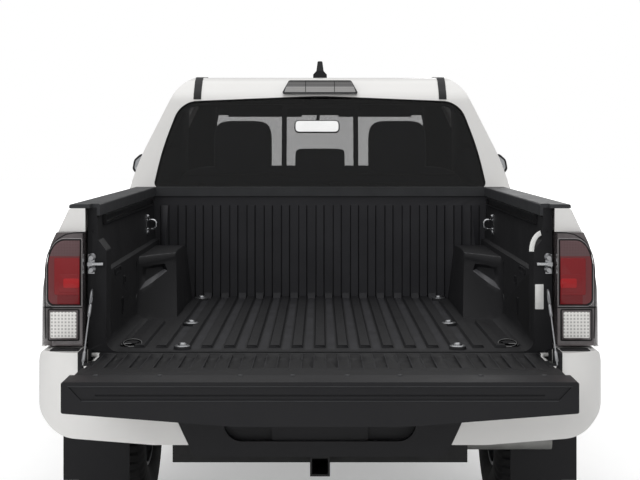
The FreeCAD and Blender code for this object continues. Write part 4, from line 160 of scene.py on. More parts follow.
def make_object(name: str, points: np.ndarray, faces: Iterable[Sequence[int]],
                material: bpy.types.Material | None,
                smooth: bool = True, sharp_angle: float = 40.0) -> bpy.types.Object:
    """Put points and faces into a new mesh object with outward normals.

    Args:
        name: Object name.
        points: Array of positions in metres.
        faces: Point numbers of each face.
        material: Finish of the piece.
        smooth: Shade the faces smooth.
        sharp_angle: Edges that turn more than this many degrees stay sharp.

    Returns:
        The object, at the origin.
    """
    mesh = bpy.data.meshes.new(name)
    mesh.from_pydata(np.asarray(points, float).reshape(-1, 3).tolist(), [],
                     [list(map(int, f)) for f in faces])
    mesh.validate()
    thing = bpy.data.objects.new(name, mesh)
    bpy.context.scene.collection.objects.link(thing)
    if material is not None:
        mesh.materials.append(material)
    work = bmesh.new()
    work.from_mesh(mesh)
    bmesh.ops.remove_doubles(work, verts=work.verts, dist=1e-6)
    bmesh.ops.recalc_face_normals(work, faces=work.faces)
    work.to_mesh(mesh)
    work.free()
    if smooth:
        mesh.polygons.foreach_set("use_smooth", np.ones(len(mesh.polygons), bool))
        mesh.set_sharp_from_angle(angle=math.radians(sharp_angle))
    return thing


def dressed_copy(node: str, name: str, sharp_angle: float = 30.0) -> bpy.types.Object:
    """Merge the loose triangles of a CAD node into a smooth-shaded copy.

    Args:
        node: CAD node.
        name: Name of the copy.
        sharp_angle: Edges that turn more than this many degrees stay sharp.

    Returns:
        The copy, which the caller makes ride and replace the node.
    """
    source = frame["nodes"][node]
    mesh = source.data.copy()
    work = bmesh.new()
    work.from_mesh(mesh)
    bmesh.ops.remove_doubles(work, verts=work.verts, dist=MERGE)
    work.to_mesh(mesh)
    work.free()
    thing = bpy.data.objects.new(name, mesh)
    bpy.context.scene.collection.objects.link(thing)
    mesh.polygons.foreach_set("use_smooth", np.ones(len(mesh.polygons), bool))
    mesh.set_sharp_from_angle(angle=math.radians(sharp_angle))
    return thing


def sweep(path: np.ndarray, radius: float | np.ndarray, sides: int = 12,
          closed: bool = False) -> tuple[np.ndarray, np.ndarray]:
    """Round tube along a path: each ring is centre + r (cos a n + sin a b).

    Args:
        path: Points along the centre line.
        radius: One radius, or one for each point.
        sides: Points around each ring.
        closed: The path is a loop.

    Returns:
        Points and quads; an open tube gets a cap point at each end.
    """
    path = np.asarray(path, float)
    count = len(path)
    if closed:
        tangent = np.roll(path, -1, 0) - np.roll(path, 1, 0)
    else:
        tangent = np.gradient(path, axis=0)
    tangent /= np.linalg.norm(tangent, axis=1)[:, None]
    seed = np.array([0.0, 0.0, 1.0]) if abs(tangent[:, 2]).max() < 0.95 else np.array([1.0, 0.0, 0.0])
    if abs(tangent @ seed).max() > 0.95:
        seed = np.array([0.31, 0.87, 0.38])
    normal = np.cross(tangent, seed)
    normal /= np.linalg.norm(normal, axis=1)[:, None]
    binormal = np.cross(tangent, normal)
    angle = np.linspace(0, 2 * np.pi, sides, endpoint=False)
    r = np.broadcast_to(np.asarray(radius, float), (count,))
    rings = path[:, None] + r[:, None, None] * (np.cos(angle)[None, :, None] * normal[:, None]
                                                + np.sin(angle)[None, :, None] * binormal[:, None])
    points = rings.reshape(-1, 3)
    faces = grid_faces(count, sides, close_rows=closed, close_columns=True)
    if closed:
        return points, faces
    points = np.vstack([points, path[:1], path[-1:]])
    k = np.arange(sides)
    start = np.stack([k, (k + 1) % sides, np.full(sides, count * sides), np.full(sides, count * sides)], -1)
    stop = np.stack([(count - 1) * sides + (k + 1) % sides, (count - 1) * sides + k,
                     np.full(sides, count * sides + 1), np.full(sides, count * sides + 1)], -1)
    return points, np.vstack([faces, start, stop])


def tidy_faces(faces: np.ndarray) -> list[list[int]]:
    """Turn collapsed quads into triangles.

    Args:
        faces: Point numbers of each face, some of them repeated.

    Returns:
        The same faces without repeated point numbers.
    """
    return [list(dict.fromkeys(map(int, f))) for f in faces]


def lathe(profile: Outline, centre: Sequence[float], axis: int, segments: int = 48) -> Mesh:
    """Turn a profile of (along, radius) about an axis: p = c + u e_axis + r (cos a, sin a).

    Args:
        profile: Closed or open profile, along the axis and outwards.
        centre: A point on the axis.
        axis: 0, 1 or 2 for X, Y or Z.
        segments: Steps around.

    Returns:
        Points and faces.
    """
    outline = np.asarray(profile, float)
    angle = np.linspace(0, 2 * np.pi, segments, endpoint=False)
    first, second = [i for i in range(3) if i != axis]
    points = np.zeros((len(outline), segments, 3))
    points[..., axis] = outline[:, 0][:, None]
    points[..., first] = outline[:, 1][:, None] * np.cos(angle)
    points[..., second] = outline[:, 1][:, None] * np.sin(angle)
    points += np.asarray(centre, float)
    return points.reshape(-1, 3), [f for f in tidy_faces(grid_faces(len(outline), segments,
            close_columns=True)) if len(f) > 2]


def join_parts(parts: Sequence[Part]) -> Mesh:
    """Stack several point and face sets into one.

    Args:
        parts: Points and faces of each part.

    Returns:
        All points, and the faces with their numbers moved on.
    """
    points, faces, start = [], [], 0
    for part_points, part_faces in parts:
        part_points = np.asarray(part_points, float).reshape(-1, 3)
        points.append(part_points)
        faces += [[int(i) + start for i in f] for f in part_faces]
        start += len(part_points)
    return np.vstack(points), faces


def box_part(low: Sequence[float], high: Sequence[float]) -> Mesh:
    """Eight corners and six faces of a box.

    Args:
        low: Lowest corner.
        high: Highest corner.

    Returns:
        Points and faces.
    """
    x, y, z = zip(low, high)
    points = np.array([[x[i], y[j], z[k]] for i in (0, 1) for j in (0, 1) for k in (0, 1)])
    return points, [[0, 1, 3, 2], [4, 6, 7, 5], [0, 4, 5, 1], [2, 3, 7, 6], [0, 2, 6, 4], [1, 5, 7, 3]]


def bevel(thing: bpy.types.Object, width: float, segments: int = 2, angle: float = 35.0) -> bpy.types.Object:
    """Round the sharp edges of a piece with a bevel that stays live.

    Args:
        thing: The piece.
        width: Width of the bevel.
        segments: Steps across it.
        angle: Smallest turn of an edge that counts as sharp, in degrees.

    Returns:
        The same piece.
    """
    modifier = thing.modifiers.new("edge", "BEVEL")
    modifier.width = width
    modifier.segments = segments
    modifier.limit_method = "ANGLE"
    modifier.angle_limit = math.radians(angle)
    modifier.harden_normals = False
    return thing


def settle(thing: bpy.types.Object, body: str, slot: str, *nodes: str) -> bpy.types.Object:
    """Let a piece ride on a body and stand for CAD nodes.

    Args:
        thing: The piece.
        body: CAD body that it moves with.
        slot: Material slot of the record; not used.
        *nodes: CAD nodes that it replaces.

    Returns:
        The piece.
    """
    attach(thing, body)
    if nodes:
        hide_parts(*nodes)
    log.info("%s on %s, %d faces", thing.name, body, len(thing.data.polygons))
    return thing


def node_box(node: str) -> tuple[np.ndarray, np.ndarray]:
    """Lowest and highest corner of a CAD node as arrays."""
    low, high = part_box(node)
    return np.array(low), np.array(high)


# Finishes
@dataclass(frozen=True)
class Surface:
    """Common finish: a base colour that varies a little, with grain and gloss.

    The colour is a noise blend of two shades, the bump a second noise whose
    wavelength is the real grain size.
    """

    name: str
    light: str
    dark: str
    roughness: tuple[float, float] = (0.4, 0.5)
    metallic: float = 0.0
    coat: float = 0.0
    coat_roughness: float = 0.05
    specular: float = 0.5
    patch_mm: float = 120.0
    grain_mm: float = 1.5
    grain_depth_mm: float = 0.05
    cellular: bool = False
    sheen: float = 0.0

    def build(self) -> bpy.types.Material:
        """Build the node material.

        Returns:
            The material.
        """
        material, tree, out = new_material(self.name)
        place = add(tree, "TexCoord")
        patches = add(tree, "TexNoise", {"Scale": 1 / (self.patch_mm * MM), "Detail": 4.0, "Roughness": 0.6},
                      {"Vector": place.outputs["Object"]})
        shade = add(tree, "MapRange", NOISE_SPAN, {"Value": patches.outputs["Fac"]})
        colour = add(tree, "Mix", {"data_type": "RGBA", "6": linear(self.dark), "7": linear(self.light)},
                     {"0": shade.outputs["Result"]})
        gloss = add(tree, "MapRange", {**NOISE_SPAN, "To Min": self.roughness[0],
                                       "To Max": self.roughness[1]}, {"Value": patches.outputs["Fac"]})
        if self.cellular:
            grain = add(tree, "TexVoronoi", {"feature": "SMOOTH_F1", "Scale": 1 / (self.grain_mm * MM)},
                        {"Vector": place.outputs["Object"]})
            height = grain.outputs["Distance"]
        else:
            grain = add(tree, "TexNoise", {"Scale": 1 / (self.grain_mm * MM), "Detail": 2.0},
                        {"Vector": place.outputs["Object"]})
            height = grain.outputs["Fac"]
        bump = add(tree, "Bump", {"Strength": 1.0, "Distance": self.grain_depth_mm * MM}, {"Height": height})
        shader = add(tree, "BsdfPrincipled", {
            "Metallic": self.metallic, "Coat Weight": self.coat, "Coat Roughness": self.coat_roughness,
            "Specular IOR Level": self.specular, "Sheen Weight": self.sheen}, {
            "Base Color": colour.outputs["2"] if "2" in colour.outputs else colour.outputs[2],
            "Roughness": gloss.outputs["Result"], "Normal": bump.outputs["Normal"]})
        tree.links.new(shader.outputs["BSDF"], out.inputs["Surface"])
        return material


@dataclass(frozen=True)
class Pane:
    """Float glass, tinted in the melt: each face lets a share of light through."""

    name: str
    tint: str
    through: float
    roughness: float = 0.02

    def build(self) -> bpy.types.Material:
        """Build the glass as a glossy film that is partly clear, with the slow wave of drawn glass.

        Returns:
            The material.
        """
        material, tree, out = new_material(self.name)
        place = add(tree, "TexCoord")
        wave = add(tree, "TexNoise", {"Scale": 2.2, "Detail": 1.0}, {"Vector": place.outputs["Object"]})
        bump = add(tree, "Bump", {"Strength": 0.02, "Distance": 0.02}, {"Height": wave.outputs["Fac"]})
        shader = add(tree, "BsdfPrincipled", {
            "Base Color": linear(self.tint), "Roughness": self.roughness, "Alpha": 1 - self.through,
            "IOR": 1.52},
            {"Normal": bump.outputs["Normal"]})
        tree.links.new(shader.outputs["BSDF"], out.inputs["Surface"])
        return material


@dataclass(frozen=True)
class PaintedReflectionGlow:
    """Silvered glass that faces a bright sky: a plain gloss with a soft glow that paints in the sky's
    reflection.

    The glow fades towards the rim by a slow noise, as a sky with thin cloud does.
    """

    name: str
    colour: str
    strength: float

    def build(self) -> bpy.types.Material:
        """Build the gloss with its painted reflection glow.

        Returns:
            The material.
        """
        material, tree, out = new_material(self.name)
        place = add(tree, "TexCoord")
        cloud = add(tree, "TexNoise", {"Scale": 9.0, "Detail": 2.0}, {"Vector": place.outputs["Object"]})
        power = add(tree, "MapRange", {**NOISE_SPAN, "To Min": self.strength * 0.9, "To Max": self.strength},
                    {"Value": cloud.outputs["Fac"]})
        shader = add(tree, "BsdfPrincipled", {"Base Color": linear(self.colour), "Roughness": 0.08,
                                              "Emission Color": linear(self.colour)},
                     {"Emission Strength": power.outputs["Result"]})
        tree.links.new(shader.outputs["BSDF"], out.inputs["Surface"])
        return material


@dataclass(frozen=True)
class Prism:
    """Moulded lens with fine square prisms, seen as a lighter and a darker line.

    The prisms are two crossed cosine waves of the real pitch; the greater of
    the two drives both the shade and the relief, so dark spots stand in a grid.
    """

    name: str
    light: str
    dark: str
    pitch_mm: float
    contrast: float
    roughness: float = 0.22

    def build(self) -> bpy.types.Material:
        """Build the lens material.

        Returns:
            The material.
        """
        material, tree, out = new_material(self.name)
        place = add(tree, "TexCoord")
        axes = add(tree, "SeparateXYZ", links={"0": place.outputs["Object"]})
        waves = []
        for axis in ("X", "Z"):
            turn = add(tree, "Math", {"operation": "MULTIPLY", "1": 2 * math.pi / (self.pitch_mm * MM)},
                       {"0": axes.outputs[axis]})
            waves.append(add(tree, "Math", {"operation": "COSINE"}, {"0": turn.outputs["Value"]}))
        cell = add(tree, "Math", {"operation": "MAXIMUM"},
                   {"0": waves[0].outputs["Value"], "1": waves[1].outputs["Value"]})
        shade = add(tree, "MapRange", {"From Min": -1.0, "From Max": 1.0, "To Min": 0.5 - self.contrast / 2,
                                       "To Max": 0.5 + self.contrast / 2},
                    {"Value": cell.outputs["Value"]})
        colour = add(tree, "Mix", {"data_type": "RGBA", "6": linear(self.dark), "7": linear(self.light)},
                     {"0": shade.outputs["Result"]})
        bump = add(tree, "Bump", {"Strength": 0.30, "Distance": 0.0002}, {"Height": shade.outputs["Result"]})
        shader = add(tree, "BsdfPrincipled", {"Roughness": self.roughness, "Coat Weight": 0.15,
                                              "Coat Roughness": 0.04, "Specular IOR Level": 0.25},
                     {"Base Color": colour.outputs[2], "Normal": bump.outputs["Normal"]})
        tree.links.new(shader.outputs["BSDF"], out.inputs["Surface"])
        return material


FINISHES: dict[str, Any] = {
    # Two-stage white enamel: bright, faint orange peel under clear coat.
    "paint": Surface("white_enamel", "E8E7E5", "E3E2E0", (0.28, 0.34), coat=0.5, coat_roughness=0.04,
                     specular=0.35, patch_mm=600, grain_mm=4.0, grain_depth_mm=0.012),
    # Compression-moulded sheet composite: charcoal with a pebble grain.
    "composite": Surface("moulded_composite", "212123", "1A1A1C", (0.55, 0.66), specular=0.25, patch_mm=160,
                         grain_mm=2.4, grain_depth_mm=0.18, cellular=True),
    # Paler copies of the composite: pale stripes on the floor between the ribs, painted highlight on the
    # bulkhead's foot wedges and the gate's channel edges, and painted light on the bulkhead's rear faces.
    "pale_and_highlight": Surface("rubbed_composite", "37373A", "29292B", (0.6, 0.7), specular=0.2, patch_mm=70,
                    grain_mm=2.4, grain_depth_mm=0.18, cellular=True),
    # Painted light: a lighter copy of the composite on the bulkhead's rear-facing faces.
    "bulkhead": Surface("bulkhead_painted_light_composite", "333336", "2A2A2D", (0.5, 0.62), specular=0.3, patch_mm=200,
                        grain_mm=2.4, grain_depth_mm=0.18, cellular=True),
    # Painted highlight: a lighter copy of the composite on the sloped rims of the wells and their pockets,
    # and on the beads at their feet.
    "polished": Surface("composite_painted_edge_highlight", "505053", "424245", (0.4, 0.5), specular=0.4, patch_mm=60,
                        grain_mm=2.4, grain_depth_mm=0.08, cellular=True),
    # Gate liner: the same composite, darker, as painted shade on the open gate's top.
    "liner": Surface("gate_liner_composite_painted_shade", "19191B", "141416", (0.55, 0.66), specular=0.25, patch_mm=160,
                     grain_mm=2.4, grain_depth_mm=0.18, cellular=True),
    # Textured polypropylene trim.
    "trim": Surface("grained_polypropylene", "1D1D1F", "17171A", (0.45, 0.58), specular=0.3, patch_mm=140,
                    grain_mm=1.6, grain_depth_mm=0.08, cellular=True),
    # Scuffed, sun-faded polypropylene of the rail caps and small fittings; on the spoiler's edge beads it is
    # a painted highlight.
    "trim_light": Surface("faded_polypropylene", "3A3B3D", "303133", (0.5, 0.62), specular=0.3, patch_mm=90,
                          grain_mm=1.6, grain_depth_mm=0.08, cellular=True),
    # Piano-black moulded plastic.
    "gloss_black": Surface("gloss_black_plastic", "0C0C0E", "09090B", (0.12, 0.18), coat=0.5, patch_mm=200,
                           grain_mm=5, grain_depth_mm=0.005),
    # Smoked polycarbonate round the lamps.
    "bezel": Surface("smoked_polycarbonate", "5C5556", "484243", (0.10, 0.16), coat=0.8, patch_mm=40,
                     grain_mm=4, grain_depth_mm=0.006),
    "bezel_light": Surface("bright_lamp_edge", "9A9697", "858182", (0.15, 0.2), coat=0.4, patch_mm=30,
                           grain_mm=3, grain_depth_mm=0.004),
    # Chassis paint: electro-dipped black steel with dust.
    "chassis": Surface("dipped_chassis_steel", "1B1B1C", "121213", (0.45, 0.65), metallic=0.0, specular=0.4,
                       patch_mm=90, grain_mm=3, grain_depth_mm=0.1),
    "iron": Surface("sand_cast_iron", "4A4A4B", "333334", (0.6, 0.75), metallic=0.6, patch_mm=60,
                    grain_mm=1.5, grain_depth_mm=0.15),
    "exhaust": Surface("aluminised_steel_tube", "9B9B98", "858583", (0.35, 0.5), metallic=0.9, patch_mm=70,
                       grain_mm=1.2, grain_depth_mm=0.02),
    "alloy": Surface("painted_alloy", "9EA0A3", "94969A", (0.26, 0.34), metallic=0.85, coat=0.4, patch_mm=90,
                     grain_mm=1.5, grain_depth_mm=0.01),
    "chrome": Surface("chrome_plate", "C9CACC", "BDBEC1", (0.08, 0.16), metallic=1.0, patch_mm=30,
                      grain_mm=1.0, grain_depth_mm=0.004),
    "zinc": Surface("zinc_plated_steel", "A7A8AA", "8E8F92", (0.25, 0.4), metallic=0.9, patch_mm=20,
                    grain_mm=0.8, grain_depth_mm=0.02),
    # Silvered glass of the mirrors.
    "mirror_glass": Surface("silvered_mirror_glass", "C4C6C8", "BEC0C2", (0.02, 0.04), metallic=1.0,
                            patch_mm=200, grain_mm=20, grain_depth_mm=0.001),
    # Cab mirror glass: a glow that paints in its reflection of the bright sky behind the truck.
    "mirror_painted_reflection": PaintedReflectionGlow("mirror_glass_painted_reflection", "F4F4F4", 3.2),
    "anodised": Surface("black_anodised_aluminium", "1A1A1C", "141416", (0.3, 0.38), metallic=0.4,
                        patch_mm=80, grain_mm=0.8, grain_depth_mm=0.01),
    "rubber": Surface("tyre_rubber", "1C1C1D", "141415", (0.62, 0.78), specular=0.3, patch_mm=60,
                      grain_mm=1.2, grain_depth_mm=0.06),
    "seal": Surface("moulded_rubber_seal", "101011", "0B0B0C", (0.5, 0.65), specular=0.3, patch_mm=60,
                    grain_mm=1.0, grain_depth_mm=0.03),
    # Black enamel fired into the rim of a window.
    "ceramic": Surface("fired_black_ceramic", "0B0B0C", "080809", (0.25, 0.35), specular=0.3, patch_mm=120,
                       grain_mm=2.0, grain_depth_mm=0.004),
    "cloth": Surface("woven_seat_cloth", "2C2D32", "202126", (0.85, 0.95), specular=0.2, sheen=0.3,
                     patch_mm=40, grain_mm=1.8, grain_depth_mm=0.25, cellular=True),
    "webbing": Surface("polyester_webbing", "2A2A2C", "202022", (0.7, 0.8), specular=0.2, patch_mm=25,
                       grain_mm=1.2, grain_depth_mm=0.12),
    "lining": Surface("roof_lining_felt", "5A5A58", "4E4E4C", (0.9, 0.97), specular=0.1, patch_mm=80,
                      grain_mm=1.4, grain_depth_mm=0.1),
    "cabin": Surface("soft_dash_skin", "242528", "1B1C1F", (0.6, 0.7), specular=0.3, patch_mm=100,
                     grain_mm=1.5, grain_depth_mm=0.08, cellular=True),
    "label": Surface("white_label_and_painted_highlight", "F2F2F0", "EAEAE8", (0.4, 0.5), patch_mm=12, grain_mm=0.6,
                     grain_depth_mm=0.01),
    # Lenses: deep red polycarbonate with prism lines, and clear polycarbonate over a silvered bowl.
    "red_lens": Prism("red_polycarbonate", "7A1D21", "581015", 4.0, 0.35),
    "red_smoke": Prism("smoked_red_polycarbonate", "6A5456", "4A3335", 5.0, 0.50),
    "red_dim": Prism("dim_red_polycarbonate", "74383A", "5A2528", 4.0, 0.40),
    "red_guide": Prism("red_light_guide", "8A2226", "66151A", 3.2, 0.45),
    "red_bright": Prism("red_reflex_prism", "B02024", "8A171B", 2.6, 0.55),
    "lamp_red": Surface("red_polycarbonate_body", "5B1D1F", "451214", (0.1, 0.16), coat=0.8, patch_mm=30,
                        grain_mm=5.0, grain_depth_mm=0.02),
    "clear_lens": Prism("clear_fluted_polycarbonate", "F2F0ED", "9C9B99", 11.0, 0.90),
    "lamp_clear": Surface("clear_lamp_optic", "D5D7DA", "B4B7BC", (0.08, 0.16), coat=0.8, patch_mm=14,
                          grain_mm=5.0, grain_depth_mm=0.05),
    "brake_low": Prism("frosted_lamp_cover", "A4A3A2", "6C6B6A", 9.0, 0.80),
    "brake_high": Prism("frosted_lamp_cover_shaded", "6E6D6D", "3C3B3B", 9.0, 0.80),
    # Windows: dark glass behind the front doors, clear glass in front of them.
    "tinted": Pane("tinted_privacy_glass", "040505", 0.56),
    "clear": Pane("clear_laminated_glass", "0A0C0C", 0.93),
}
MATERIALS: dict[str, bpy.types.Material] = {}


def finish(key: str) -> bpy.types.Material:
    """Material of a named finish, built once.

    Args:
        key: Name in FINISHES.

    Returns:
        The material.
    """
    if key not in MATERIALS:
        MATERIALS[key] = FINISHES[key].build()
    return MATERIALS[key]


NODE_FINISH = {
    "paint": ("cab_shell hood front_fenders bed_outer rear_bumper tailgate door_front_left door_front_right "
              "door_rear_left door_rear_right mirror_left mirror_right"),
    "composite": "bed_tub",
    "trim_light": "bed_rail_caps",
    "trim": "tailgate_spoiler rear_step front_bumper grille wheel_liners roof_aerial roof_mouldings",
    "cabin": "dashboard steering_wheel cabin_mirror",
    "tinted": "rear_window glass_rear_left glass_rear_right",
    "clear": "windshield glass_front_left glass_front_right",
    "lamp_clear": "headlamps reversing_lamps high_brake_lamp",
    "lamp_red": "tail_lamps",
    "chassis": "chassis_frame control_arms rear_axle leaf_springs drive_shaft hitch_receiver fuel_tank",
    "iron": "engine_block knuckle_left knuckle_right",
    "exhaust": "exhaust",
    "anodised": "deck_rails",
    "chrome": "bed_hardware",
    "zinc": "tailgate_cables",
    "cloth": "seat_left seat_right rear_seat",
    "rubber": "tyre_front_left tyre_front_right tyre_rear_left tyre_rear_right spare_wheel",
    "alloy": "rim_front_left rim_front_right rim_rear_left rim_rear_right",
}


def dress_nodes() -> None:
    """Give every carried-over CAD node its finish."""
    for key, names in NODE_FINISH.items():
        for name in names.split():
            if name not in frame["nodes"]:
                continue
            mesh = frame["nodes"][name].data
            mesh.materials.clear()
            mesh.materials.append(finish(key))


# Studio
@dataclass
class Studio:
    """White sweep floor, soft lamps and the camera behind the truck."""

    camera_place: tuple[float, float, float] = (0.0, -6.8355, 1.49)
    horizon_px: float = 102.0
    focal_px: float = 1375.0
    frame_px: tuple[int, int] = (640, 480)
    floor_half: float = 40.0

    def build(self) -> None:
        """Build floor, world, lamps and camera."""
        self.floor()
        self.world()
        self.lamps()
        self.camera()

    def floor(self) -> None:
        """Lay a flat white floor that keeps the truck's shadow."""
        h = self.floor_half
        thing = make_object("studio_floor", np.array([[-h, -h, 0], [h, -h, 0], [h, h, 0], [-h, h, 0]]),
                            [[0, 1, 2, 3]], None, smooth=False)
        material, tree, out = new_material("white_floor_paint")
        place = add(tree, "TexCoord")
        speck = add(tree, "TexNoise", {"Scale": 6.0}, {"Vector": place.outputs["Object"]})
        tone = add(tree, "MapRange", {"To Min": 0.86, "To Max": 0.9}, {"Value": speck.outputs["Fac"]})
        base = add(tree, "BsdfPrincipled", {"Roughness": 0.9, "Specular IOR Level": 0.1},
                   {"Base Color": tone.outputs["Result"]})
        ray = add(tree, "LightPath")
        seen = add(tree, "Math", {"operation": "MAXIMUM"},
                   {"0": ray.outputs["Is Camera Ray"], "1": ray.outputs["Is Transmission Ray"]})
        reach = add(tree, "VectorMath", {"operation": "LENGTH"}, {"0": place.outputs["Object"]})
        far = add(tree, "MapRange", {"From Min": 2.0, "From Max": 9.0, "To Min": 0.35, "To Max": 1.0},
                  {"Value": reach.outputs["Value"]})
        strength = add(tree, "Math", {"operation": "MULTIPLY"},
                       {"0": seen.outputs["Value"], "1": far.outputs["Result"]})
        glow = add(tree, "Emission", {"Color": (1, 1, 1, 1)}, {"Strength": strength.outputs["Value"]})
        both = add(tree, "AddShader", links={"0": base.outputs["BSDF"], "1": glow.outputs["Emission"]})
        tree.links.new(both.outputs["Shader"], out.inputs["Surface"])
        thing.data.materials.append(material)

    def world(self) -> None:
        """White surroundings: full white to the eye, softer as a light."""
        world = bpy.data.worlds.new("studio_white")
        bpy.context.scene.world = world
        world.use_nodes = True
        tree = world.node_tree
        tree.nodes.clear()
        out = add(tree, "OutputWorld")
        ray = add(tree, "LightPath")
        seen = add(tree, "Math", {"operation": "MAXIMUM"},
                   {"0": ray.outputs["Is Camera Ray"], "1": ray.outputs["Is Transmission Ray"]})
        strength = add(tree, "MapRange", {"To Min": 0.56, "To Max": 1.0}, {"Value": seen.outputs["Value"]})
        light = add(tree, "Background", {"Color": (1, 1, 1, 1)}, {"Strength": strength.outputs["Result"]})
        tree.links.new(light.outputs["Background"], out.inputs["Surface"])

    def lamps(self) -> None:
        """Three large soft boxes: overhead, behind and in front."""
        for name, place, target, size, power in (
                ("overhead_box", (0.0, -1.0, 6.0), (0.0, -0.8, 0.8), (6.0, 7.0), 130.0),
                ("rear_box", (-2.5, -8.5, 3.6), (0.0, -2.2, 0.9), (4.0, 3.0), 150.0),
                ("front_box", (3.0, 7.5, 4.0), (0.0, 1.0, 0.8), (4.0, 3.0), 90.0)):
            data = bpy.data.lights.new(name, "AREA")
            data.shape = "RECTANGLE"
            data.size, data.size_y = size
            data.energy = power
            lamp = bpy.data.objects.new(name, data)
            bpy.context.scene.collection.objects.link(lamp)
            lamp.visible_glossy = name != "rear_box"
            lamp.location = place
            lamp.rotation_euler = (Vector(target) - Vector(place)).to_track_quat("-Z", "Y").to_euler()

    def camera(self) -> None:
        """Place a level camera on the centre line; the shift puts the horizon above the middle."""
        data = bpy.data.cameras.new("rear_camera")
        data.sensor_fit = "HORIZONTAL"
        data.sensor_width = 36.0
        data.lens = self.focal_px / self.frame_px[0] * data.sensor_width
        data.shift_y = -self.horizon_px / self.frame_px[0]
        data.clip_end = 200.0
        camera = bpy.data.objects.new("rear_camera", data)
        bpy.context.scene.collection.objects.link(camera)
        camera.location = self.camera_place
        camera.rotation_euler = (math.radians(90), 0.0, 0.0)
        bpy.context.scene.camera = camera


# Sub-assemblies
def joint_place(name: str) -> np.ndarray:
    """Place of a joint in metres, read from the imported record.

    Args:
        name: Name of the joint.

    Returns:
        The place.
    """
    for joint in frame["record"]["behaviour"]["joints"]:
        if joint["name"] == name:
            return np.array(joint["pos_m"], float)
    raise KeyError(name)


def mirror_x(part: Part) -> Mesh:
    """The same part on the other side of the middle plane, its faces turned back.

    Args:
        part: Points and faces.

    Returns:
        Mirrored points and faces.
    """
    points, faces = part
    return np.asarray(points) * np.array([-1.0, 1.0, 1.0]), [list(reversed([int(i) for i in f]))
                                                             for f in faces]


def both_sides(part: Part) -> Mesh:
    """A piece and its mirror image in one mesh."""
    return join_parts([part, mirror_x(part)])


def slab(outline: Outline, low: float, high: float, axis: int) -> Mesh:
    """Flat plate: a closed outline carried straight along one axis.

    Args:
        outline: Corners in the two other axes, in order.
        low: First place along the axis.
        high: Second place along the axis.
        axis: 0, 1 or 2.

    Returns:
        Points and faces.
    """
    first, second = [i for i in range(3) if i != axis]
    flat = np.asarray(outline, float)
    count = len(flat)
    points = np.zeros((2, count, 3))
    points[:, :, first] = flat[:, 0]
    points[:, :, second] = flat[:, 1]
    points[0, :, axis], points[1, :, axis] = low, high
    faces = [[i, (i + 1) % count, count + (i + 1) % count, count + i] for i in range(count)]
    return points.reshape(-1, 3), faces + [list(range(count))[::-1], list(range(count, 2 * count))]


def rounded(corners: Outline, radius: float, steps: int = 5) -> list[tuple[float, float]]:
    """Turn each corner of an outline into a curve p(t) between its two edges.

    The curve is the quadratic one with the corner as its middle control point,
    and takes up at most 0.45 of either edge.

    Args:
        corners: Corners in order.
        radius: Radius of the rounding.
        steps: Points of each curve.

    Returns:
        The rounded outline.
    """
    ring = np.asarray(corners, float)
    out: list[tuple[float, float]] = []
    for i in range(len(ring)):
        p, a, b = ring[i], ring[i - 1], ring[(i + 1) % len(ring)]
        u, v = (a - p) / np.linalg.norm(a - p), (b - p) / np.linalg.norm(b - p)
        half = math.acos(float(np.clip(u @ v, -1, 1))) / 2
        reach = min(radius / math.tan(half), 0.45 * float(np.linalg.norm(a - p)),
                    0.45 * float(np.linalg.norm(b - p)))
        t = np.linspace(0, 1, steps)[:, None]
        curve = (1 - t) ** 2 * (p + u * reach) + 2 * t * (1 - t) * p + t ** 2 * (p + v * reach)
        out += [tuple(c) for c in curve]
    return out


def ring_band(outer: Outline, inner: Outline, low: float, high: float, axis: int) -> Mesh:
    """Frame between two outlines, carried along one axis.

    Args:
        outer: Outer outline.
        inner: Inner outline, with as many points.
        low: First place along the axis.
        high: Second place along the axis.
        axis: 0, 1 or 2.

    Returns:
        Points and faces.
    """
    first, second = [i for i in range(3) if i != axis]
    count = len(outer)
    points = np.zeros((4, count, 3))
    for row, (flat, level) in enumerate(((outer, low), (outer, high), (inner, high), (inner, low))):
        points[row, :, first] = np.asarray(flat)[:, 0]
        points[row, :, second] = np.asarray(flat)[:, 1]
        points[row, :, axis] = level
    return points.reshape(-1, 3), grid_faces(4, count, close_rows=True, close_columns=True).tolist()


